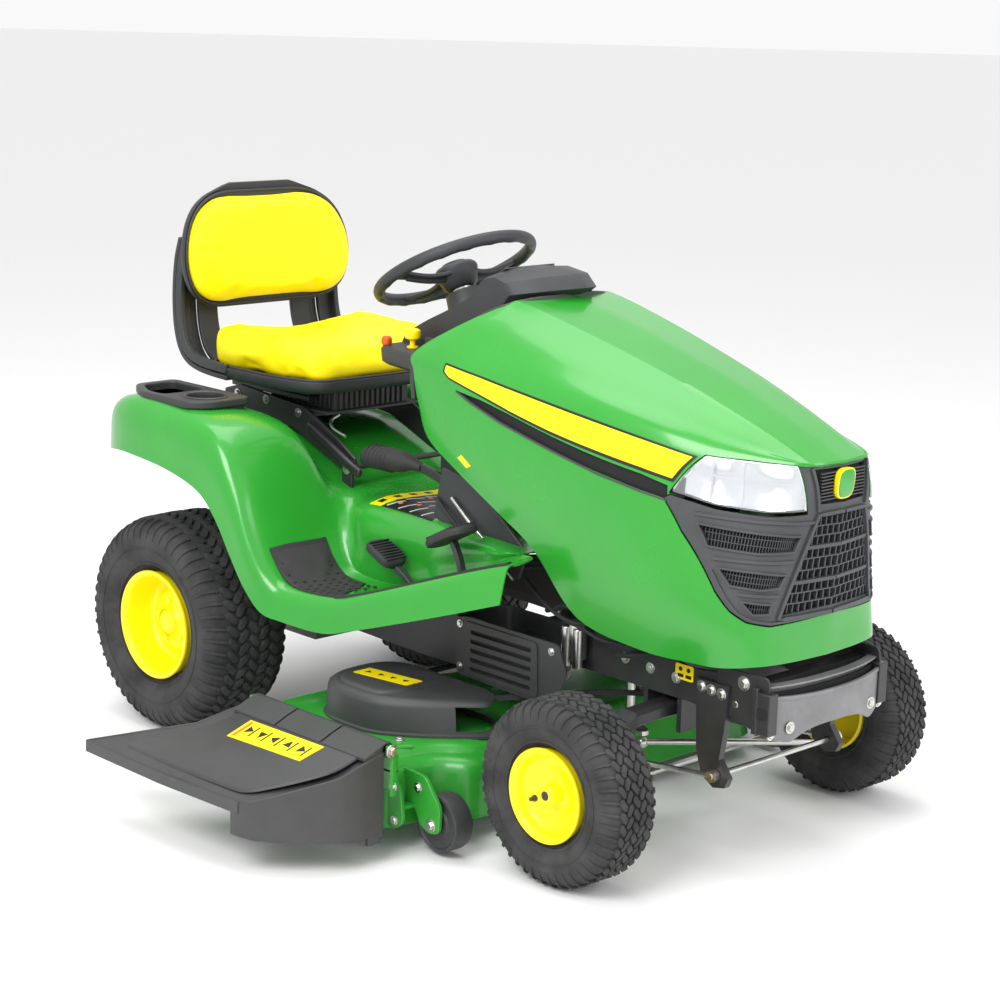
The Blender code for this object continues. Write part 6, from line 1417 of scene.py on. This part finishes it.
path = [(0.984, hy - 0.012), (0.984, -0.700), (0.984, -0.748), (0.975, -0.772), (0.900, -0.862), (0.868, -0.893), (0.850, -0.9015), (0.820, -0.904)]
def top_z(x, y):
    return min(lid_z(x, y), 0.236) - 0.001
rings = []
for i, (x, y) in enumerate(path):
    a = Vector(path[min(i + 1, len(path) - 1)]) - Vector(path[max(i - 1, 0)])
    nx, ny = a.y, -a.x
    ln = math.hypot(nx, ny)
    nx, ny = nx / ln * 0.0028, ny / ln * 0.0028
    low = 0.060 + 0.018 * min(1.0, i / 6)
    zt = top_z(x, y)
    rings.append([(x + nx, y + ny, low), (x + nx * 1.5, y + ny * 1.5, zt - 0.012), (x + nx, y + ny, zt), (x - nx, y - ny, zt), (x - nx, y - ny, low)])
wall = from_rings(rings)
lipbar = bar([(0.346, -0.9195, 0.140), (0.600, -0.9175, 0.138), (0.845, -0.9045, 0.138)], 0.006, 0.026)
rear_lip = bar([(0.560, hy - 0.012, 0.228), (0.518, -0.760, 0.192), (0.345, -0.918, 0.143)], 0.006, 0.018)
tab = box(0.975, 0.9865, -0.690, -0.660, 0.046, 0.070)
ribs = [bar([(x, -0.655, 0.2330), (x - 0.05, -0.76, lid_z(x - 0.05, -0.76) - 0.003), (x - 0.10, -0.90, 0.147)], 0.004, 0.010) for x in (0.68, 0.80)]
add("chute_walls", join(wall, lipbar, rear_lip, tab), GREY_PLASTIC, "discharge", bevel=0.0015, smooth=40)
fold = bar([(0.540, -0.705, 0.2185), (0.975, -0.705, 0.2175)], 0.006, 0.006)
barrel = []
for x0, x1 in ((0.564, 0.698), (0.704, 0.842), (0.848, 0.983)):
    barrel.append(turned([(0.0046, x0), (0.0150, x0), (0.0165, x0 + 0.002), (0.0165, x1 - 0.002), (0.0150, x1), (0.0046, x1)], "x", (0, hy, 0.236), 32))
    barrel.append(prism([(hy - 0.002, 0.2525), (hy - 0.030, 0.2430), (hy - 0.060, 0.2300), (hy - 0.060, 0.2230), (hy - 0.002, 0.2300)], "x", x0, x1))
add("chute_hinge_barrels", join(*barrel), GREY_PLASTIC, "discharge", bevel=0.0012, smooth=40)
LAB = [(0.632, -0.770), (0.632, -0.708), (0.866, -0.706), (0.860, -0.764)]
def patch(points, lift, thick=0.0012):
    rings = []
    for h in (lift - thick, lift):
        rings.append([(x, y, lid_z(x, y) + 0.0036 + h) for x, y in points])
    return from_rings(rings)
def dense(points, per=5):
    out = []
    for a, b in zip(points, points[1:] + points[:1]):
        for k in range(per):
            out.append((a[0] + (b[0] - a[0]) * k / per, a[1] + (b[1] - a[1]) * k / per))
    return out
add("chute_label", patch(dense(LAB), 0.0010), YELLOW_LABEL, "discharge")
marks = []
for k in range(5):
    x = 0.662 + 0.042 * k
    marks.append(patch(circle(x, -0.735, 0.013, 3, 0.5 * k), 0.0016, 0.0010))
    marks.append(patch([(x + 0.014, -0.752), (x + 0.014, -0.720), (x + 0.018, -0.720), (x + 0.018, -0.752)], 0.0016, 0.0010))
add("chute_pictograms", join(*marks), INK, "discharge")
frame_mark = patch(dense([(0.640, -0.764), (0.640, -0.713), (0.648, -0.713), (0.648, -0.764)], 2), 0.0016, 0.0010)
add("chute_label_edge", frame_mark, ORANGE_INK, "discharge")

# ================================================================ side shields, chassis dressing
for side, s in (("right", -1), ("left", 1)):
    plan = rounded_polygon([(0.768, 0.272), (0.760, 0.395), (0.800, 0.404), (1.070, 0.402), (1.098, 0.345), (1.060, 0.276), (0.980, 0.266)], 0.014, 4)
    panel = prism(plan, "y", min(s * 0.2505, s * 0.2560), max(s * 0.2505, s * 0.2560))
    frame_in = rounded_polygon([(0.795, 0.276), (0.790, 0.394), (1.012, 0.394), (1.018, 0.276)], 0.012, 4)
    slots = [prism(rounded_polygon([(0.812, 0.2870 + 0.0205 * k), (0.812, 0.2965 + 0.0205 * k), (0.996, 0.2965 + 0.0205 * k), (0.996, 0.2870 + 0.0205 * k)], 0.0045, 3), "y", min(s * 0.240, s * 0.270), max(s * 0.240, s * 0.270)) for k in range(5)]
    raised = prism(frame_in, "y", min(s * 0.2550, s * 0.2595), max(s * 0.2550, s * 0.2615))
    panel = cut(union(panel, raised), *slots)
    add("side_shield_moulding_" + side, panel, GREY_PLASTIC, "machine", ["side_shield_" + side], bevel=0.0016, smooth=35)
    louvre = [bar([(0.812, s * 0.2530, 0.2915 + 0.0205 * k), (0.996, s * 0.2530, 0.2915 + 0.0205 * k)], 0.0016, 0.010, (0, s * 0.6, 1)) for k in range(5)]
    add("side_shield_louvres_" + side, join(*louvre), PLASTIC, "machine")
    back = prism(rounded_polygon([(0.300, 0.290), (0.300, 0.345), (0.420, 0.375), (0.515, 0.402), (0.757, 0.402), (0.765, 0.282), (0.640, 0.280)], 0.02, 4), "y", min(s * 0.236, s * 0.241), max(s * 0.236, s * 0.241))
    add("rear_shield_" + side, back, GREY_PLASTIC, "machine", bevel=0.002)
    stays = [box(0.900, 0.960, s * 0.1703, s * 0.252, 0.372, 0.380), box(0.600, 0.640, s * 0.1703, s * 0.238, 0.352, 0.360)]
    add("shield_stays_" + side, join(*stays), FRAME_PAINT, "machine", bevel=0.001)
    heads = [bolt((x, s * 0.2562, z), (0, s, 0), 0.006, 0.005) for x, z in ((0.776, 0.384), (0.778, 0.290), (1.052, 0.384))]
    add("shield_screws_" + side, join(*heads), ZINC, "machine", bevel=0.0004)

# bumper: bowed plate with a light top strip, a recess darkened with painted shade and end brackets
def bow(y, dx=0.0):
    k = abs(y) / 0.184
    return 1.592 - 0.030 * k ** 2.4 + dx
def bow_band(y0, y1, z0, z1, front, thick, n=24):
    rings = []
    for k in range(n + 1):
        y = y0 + (y1 - y0) * k / n
        a, b = (z0(y), z1(y)) if callable(z0) else (z0, z1)
        rings.append([(bow(y) + front - thick, y, a), (bow(y) + front, y, a), (bow(y) + front, y, b), (bow(y) + front - thick, y, b)])
    return from_rings(rings)
low_edge = lambda y: 0.3110 - 0.0130 * math.exp(-(((abs(y) - 0.128) / 0.026) ** 2)) + 0.010 * math.exp(-((y / 0.085) ** 4)) + 0.010 * math.exp(-(((abs(y) - 0.184) / 0.018) ** 2))
mid_edge = lambda y: 0.3880 + 0.0060 * (abs(y) / 0.18) ** 2
add("bumper_plate", bow_band(-0.184, 0.184, low_edge, mid_edge, 0.0, 0.004, 48), PLATE, "machine", ["bumper"], bevel=0.0012)
add("bumper_plate_lip", bow_band(-0.184, 0.184, lambda y: mid_edge(y) - 0.006, lambda y: mid_edge(y) + 0.0015, 0.0022, 0.008, 48), PLATE, "machine", bevel=0.0012)
# near-black band set back behind the plate: painted shade in the recess
add("bumper_recess_painted_shade", bow_band(-0.170, 0.170, 0.360, 0.398, -0.016, 0.004, 32), RECESS, "machine")
add("bumper_top_strip", bow_band(-0.172, 0.172, 0.4085, 0.4125, -0.010, 0.022, 48), PLATE, "machine", bevel=0.001)
add("bumper_inner_panel", bow_band(-0.165, 0.165, 0.384, 0.4085, -0.026, 0.004, 32), PLATE, "machine", bevel=0.001)
ends = []
for s in (-1, 1):
    ends.append(box(1.5415, 1.575, s * 0.160, s * 0.1865, 0.318, 0.402))
    ends.append(prism(rounded_polygon([(1.430, 0.345), (1.430, 0.430), (1.560, 0.432), (1.566, 0.410), (1.552, 0.318), (1.520, 0.318)], 0.010, 4), "y", min(s * 0.1712, s * 0.1752), max(s * 0.1712, s * 0.1752)))
    ends.append(box(1.5320, 1.545, s * 0.150, s * 0.188, 0.316, 0.410))
add("bumper_end_brackets", join(*ends), FRAME_PAINT, "machine", bevel=0.004, segments=3)
heads = [bolt((bow(s * 0.127) + 0.0012, s * 0.127, 0.3285), (1, 0, 0), 0.0085, 0.006) for s in (-1, 1)] + [bolt((bow(s * 0.172) + 0.001, s * 0.170, 0.3180), (1, 0, 0), 0.007, 0.006) for s in (-1, 1)]
heads += [bolt((1.500, s * 0.1755, 0.408), (0, s, 0), 0.010, 0.008) for s in (-1, 1)]
add("bumper_bolts", join(*heads), ZINC, "machine", bevel=0.0005)
# near-black squares on the bracket sides: painted shade standing in for square holes
sq = [prism([(1.545, 0.350), (1.566, 0.350), (1.566, 0.371), (1.545, 0.371)], "y", min(s * 0.1862, s * 0.1890), max(s * 0.1862, s * 0.1890)) for s in (-1, 1)]
add("bumper_square_holes_painted_shade", join(*sq), RECESS, "machine", bevel=0.002)
heads = []
for s in (-1, 1):
    for x, z in ((1.400, 0.380), (1.425, 0.378), (1.452, 0.376), (1.480, 0.360), (1.180, 0.385), (1.250, 0.380), (1.320, 0.376), (0.700, 0.385), (0.500, 0.400)):
        heads.append(bolt((x, s * (0.1842 if 1.39 < x < 1.46 else 0.1702), z), (0, s, 0), 0.008, 0.006))
add("frame_bolts", join(*heads), ZINC, "machine", bevel=0.0005)
tags = [prism(rounded_polygon([(1.318, 0.376), (1.318, 0.408), (1.366, 0.408), (1.366, 0.376)], 0.004, 3), "y", min(s * 0.1704, s * 0.1716), max(s * 0.1704, s * 0.1716)) for s in (-1, 1)]
add("frame_label", join(*tags), YELLOW_LABEL, "machine")
marks = []
for s in (-1, 1):
    for k in range(2):
        marks.append(prism(circle(1.332 + 0.021 * k, 0.398, 0.0050, 8), "y", min(s * 0.1712, s * 0.1722), max(s * 0.1712, s * 0.1722)))
        marks.append(prism([(1.325 + 0.021 * k, 0.381), (1.325 + 0.021 * k, 0.388), (1.340 + 0.021 * k, 0.388), (1.340 + 0.021 * k, 0.381)], "y", min(s * 0.1712, s * 0.1722), max(s * 0.1712, s * 0.1722)))
add("frame_label_pictograms", join(*marks), INK, "machine")

# engine dressing that shows under the hood: filter, studs, cables, cylinder fins, blower shroud and castings
filt = turned([(0.001, 1.090), (0.030, 1.090), (0.034, 1.096), (0.038, 1.110), (0.038, 1.176), (0.034, 1.188), (0.020, 1.194), (0.001, 1.194)], "x", (0, -0.150, 0.470), 48)
add("oil_filter", filt, PLATE, "machine", smooth=40)
cyl = [rod("z", 1.045, -0.205, 0.345, 0.430, 0.011, 28), rod("z", 1.078, -0.205, 0.345, 0.430, 0.011, 28), rod("z", 1.062, -0.190, 0.360, 0.440, 0.020, 28)]
add("engine_studs", join(*cyl), ZINC, "machine", bevel=0.002)
lines = []
for k, pts in enumerate((
    [(1.020, -0.190, 0.430), (1.080, -0.215, 0.440), (1.160, -0.215, 0.425), (1.240, -0.200, 0.430)],
    [(0.960, -0.180, 0.440), (1.060, -0.200, 0.470), (1.170, -0.210, 0.450), (1.300, -0.195, 0.440)],
    [(0.900, -0.190, 0.500), (1.000, -0.215, 0.460), (1.080, -0.220, 0.445), (1.150, -0.205, 0.460)],
    [(1.180, -0.195, 0.395), (1.240, -0.205, 0.410), (1.300, -0.200, 0.425), (1.370, -0.190, 0.430)],
)):
    lines.append(tube(curve_points(pts, 7), 0.0045 + 0.0012 * (k % 2), 12))
add("engine_cables", both(join(*lines)), BELT, "machine")
fins = []
for s in (-1, 1):
    for k in range(9):
        base = [(1.150, s * 0.090), (1.235, s * 0.020), (1.352, s * 0.120), (1.275, s * 0.205)]
        z = 0.448 + 0.0155 * k
        fins.append(prism(grow(base, 0.004), "z", z, z + 0.0035))
add("cylinder_fins", join(*fins), CAST, "machine", bevel=0.0008)
shroud = turned([(0.001, 0.588), (0.148, 0.588), (0.153, 0.592), (0.1535, 0.680), (0.147, 0.700), (0.125, 0.712), (0.001, 0.714)], "z", (1.120, 0, 0), 72)
shroud = cut(shroud, rod("z", 1.120, 0.0, 0.700, 0.730, 0.090, 48))
add("engine_shroud", shroud, ENGINE_BLACK, "machine", bevel=0.002)
crank = []
crank.append(turned([(0.001, 0.4195), (0.118, 0.4195), (0.122, 0.425), (0.120, 0.500), (0.112, 0.520), (0.112, 0.587), (0.001, 0.587)], "z", (1.130, 0, 0), 64))
for s in (-1, 1):
    crank.append(prism(rounded_polygon([(1.150, s * 0.100), (1.220, s * 0.020), (1.345, s * 0.115), (1.275, s * 0.195)], 0.012), "z", 0.455, 0.585))
crank.append(box(1.020, 1.280, -0.100, 0.100, 0.690, 0.775))
crank.append(rod("x", -0.130, 0.480, 1.100, 1.190, 0.030, 32))
add("engine_castings", join(*crank), CAST, "machine", ["engine_block"], bevel=0.005, segments=3)
# front axle pivot nut, tie rod and drag link with their rod ends and locknuts, kingpin caps
rodends = []
for s, arm_z in ((1, 0.150), (-1, 0.150)):
    pass
heads = [bolt((1.340, 0.0, 0.292), (1, 0, 0), 0.016, 0.012)]
add("axle_pivot_nut", join(*heads), ZINC, "machine", bevel=0.001)
ends = []
for s in (-1, 1):
    x, y = 1.282 - 0.078, s * (0.345 - 0.020)
    ends.append(turned([(0.001, 0.1185), (0.010, 0.1185), (0.0135, 0.123), (0.0142, 0.131), (0.0125, 0.140), (0.0085, 0.146), (0.0065, 0.1635), (0.001, 0.1635)], "z", (x, y, 0), 32))
tie = join(tube([(1.204, -0.325, 0.130), (1.204, 0.325, 0.130)], 0.0068, 20), *ends)
add("tie_rod_bar", tie, ZINC, "tie", ["tie_rod"], smooth=40)
link = [tube([(1.1205, -0.045, 0.163), (1.360, 0.300, 0.150)], 0.0068, 20)]
for (x, y), z0 in (((1.1205, -0.045), 0.1520), ((1.360, 0.300), 0.1390)):
    z1 = 0.1740 if z0 > 0.15 else 0.1635
    link.append(turned([(0.001, z0), (0.010, z0), (0.0135, z0 + 0.004), (0.0138, z0 + 0.014), (0.010, z1 - 0.003), (0.001, z1)], "z", (x, y, 0), 32))
add("drag_link_bar", join(*link), ZINC, "drag", ["drag_link"], smooth=40)
nuts = [moved(turned([(0.0068, -0.007), (0.0105, -0.006), (0.0110, 0.006), (0.0068, 0.007)], "x", (0, 0, 0), 6), Matrix.Translation((1.204, y, 0.130)) @ Matrix.Rotation(math.pi / 2, 4, "Z")) for y in (-0.285, 0.285)]
add("tie_rod_locknuts", join(*nuts), BRASS, "tie", bevel=0.0006)
for side, s in (("right", -1), ("left", 1)):
    grease = turned([(0.001, 0.2915), (0.0130, 0.2915), (0.0135, 0.296), (0.010, 0.2995), (0.0045, 0.3005), (0.0035, 0.307), (0.001, 0.308)], "z", (1.282, s * 0.345, 0), 28)
    add("kingpin_cap_" + side, grease, ZINC, "knuckle_" + side[0], smooth=40)

# drive belt with its V section, bent down from the engine pulley to the deck pulleys
SP = {"right": (0.68, -0.405), "left": (0.68, 0.405)}
def belt(width=0.008, half=0.0060):
    def level(x):
        return 0.2290 + (0.2790 - 0.2290) * min(max((x - 0.74) / (1.130 - 0.05 - 0.74), 0.0), 1.0)
    stops = [(1.130, 0.0, 0.0500), (*SP["left"], 0.0540), (*SP["right"], 0.0540)]
    line = []
    count = len(stops)
    for i in range(count):
        (x0, y0, r0), (x1, y1, r1), (x2, y2, r2) = stops[i - 1], stops[i], stops[(i + 1) % count]
        def leave(xa, ya, ra, xb, yb, rb):
            d = math.hypot(xb - xa, yb - ya)
            return math.atan2(yb - ya, xb - xa) - math.acos((ra - rb) / d)
        a0 = leave(x0, y0, r0, x1, y1, r1)
        a1 = leave(x1, y1, r1, x2, y2, r2)
        while a1 < a0:
            a1 += 2 * math.pi
        for k in range(13):
            a = a0 + (a1 - a0) * k / 12
            line.append(Vector((x1 + r1 * math.cos(a), y1 + r1 * math.sin(a), 0, )).to_3d())
            line[-1] = (line[-1], Vector((math.cos(a), math.sin(a), 0)))
    out = []
    for i, (p, d) in enumerate(line):
        q, e = line[(i + 1) % len(line)]
        n = 14 if (q - p).length > 0.1 else 1
        for k in range(n):
            f = k / n
            w = p.lerp(q, f)
            g = d.lerp(e, f).normalized()
            out.append((Vector((w.x, w.y, level(w.x))), g))
    rings = []
    for w, g in out:
        rings.append([(w.x + g.x * dr, w.y + g.y * dr, w.z + dz) for dr, dz in ((0.0, -half * 0.72), (width, -half), (width, half), (0.0, half * 0.72))])
    return from_rings(rings, closed=True)


belt_obj = add("drive_belt_loop", belt(), BELT, "machine", ["drive_belt"], smooth=40)

# fuel tank cap with its knurled edge
knurl = []
for k in range(60):
    a = 2 * math.pi * k / 60
    r = 0.0400 if k % 2 else 0.0385
    knurl.append((-0.120 + r * math.cos(a), 0.370 + r * math.sin(a)))
capm = from_rings([[(x, y, z) for x, y in grow(knurl, d)] for z, d in ((0.7865, -0.001), (0.790, 0.0), (0.808, 0.0), (0.8145, -0.004), (0.8165, -0.010))])
add("fuel_cap_moulding", capm, PLASTIC, "cap", ["fuel_cap"], smooth=30)

# finishes of the CAD pieces that stay as they are
KEEP = {
    "frame": FRAME_PAINT, "front_axle": FRAME_PAINT, "knuckle_right": FRAME_PAINT, "knuckle_left": FRAME_PAINT,
    "steering_sector": ZINC, "steering_pinion": ZINC, "draft_rod": ZINC, "transaxle_case": CAST, "transaxle_pulley": CAST, "muffler": EXHAUST, "battery": PLASTIC, "fuel_tank": PLASTIC,
    "engine_pulley": ZINC, "spindle_right": ZINC, "spindle_center": ZINC, "spindle_left": ZINC, "blade_right": BLADE, "blade_center": BLADE, "blade_left": BLADE,
}
for name, m in KEEP.items():
    obj = NODES[name]
    obj.data.materials.clear()
    obj.data.materials.append(m)
    mod = obj.modifiers.new("soft_edges", "BEVEL")
    mod.width = 0.0018 if name in ("frame", "front_axle", "transaxle_case") else 0.0010
    mod.segments = 2
    mod.limit_method = "ANGLE"
    mod.angle_limit = math.radians(35)
    mod.use_clamp_overlap = True

# ================================================================ floor, light and camera
def stage_mesh(name, verts, faces, mat):
    mesh = bpy.data.meshes.new(name)
    mesh.from_pydata(verts, [], faces)
    mesh.shade_smooth()
    obj = bpy.data.objects.new(name, mesh)
    bpy.context.scene.collection.objects.link(obj)
    mesh.materials.append(mat)
    return obj


floor_m, t, b = nodes_of("studio_floor")
b.inputs["Base Color"].default_value = (0.90, 0.90, 0.90, 1)
b.inputs["Roughness"].default_value = 0.75
stage_mesh("floor", [(-600, -600, -0.0005), (600, -600, -0.0005), (600, 600, -0.0005), (-600, 600, -0.0005)], [(0, 1, 2, 3)], floor_m)
world = bpy.data.worlds.new("studio")
bpy.context.scene.world = world
world.use_nodes = True
world.node_tree.nodes["Background"].inputs[0].default_value = (1.0, 1.0, 1.0, 1)
world.node_tree.nodes["Background"].inputs[1].default_value = 0.95


def area(name, place_at, look, size, power):
    light = bpy.data.lights.new(name, "AREA")
    light.shape = "RECTANGLE"
    light.size, light.size_y = size
    light.energy = power
    obj = bpy.data.objects.new(name, light)
    obj.location = place_at
    obj.rotation_euler = (Vector(look) - Vector(place_at)).to_track_quat("-Z", "Y").to_euler()
    bpy.context.scene.collection.objects.link(obj)


area("key", (1.2, -3.6, 3.6), (0, 0, 0.5), (2.6, 2.0), 150)
area("fill", (4.2, 1.2, 2.4), (0, 0, 0.5), (2.4, 2.4), 62)
area("top", (-0.6, 0.2, 4.2), (0, 0, 0.4), (3.4, 2.4), 82)

az, el, roll = math.radians(45.7994), math.radians(12.6563), math.radians(1.5622)
back = Vector((math.sin(az) * math.cos(el), -math.cos(az) * math.cos(el), math.sin(el)))
right = Vector((math.cos(az), math.sin(az), 0))
up = back.cross(right)
r2 = right * math.cos(roll) + up * math.sin(roll)
u2 = -right * math.sin(roll) + up * math.cos(roll)
cam = bpy.data.cameras.new("camera")
cam.sensor_width = 36.0
cam.lens = 36.0 * 2352.34 / 1000.0
cam.clip_end = 60.0
cam_obj = bpy.data.objects.new("camera", cam)
cam_obj.matrix_world = Matrix(((r2.x, u2.x, back.x, 4.311 + SHIFT.x), (r2.y, u2.y, back.y, -3.585 + SHIFT.y), (r2.z, u2.z, back.z, 1.747), (0, 0, 0, 1)))
bpy.context.scene.collection.objects.link(cam_obj)
bpy.context.scene.camera = cam_obj

bpy.context.scene.view_settings.view_transform = "Standard"
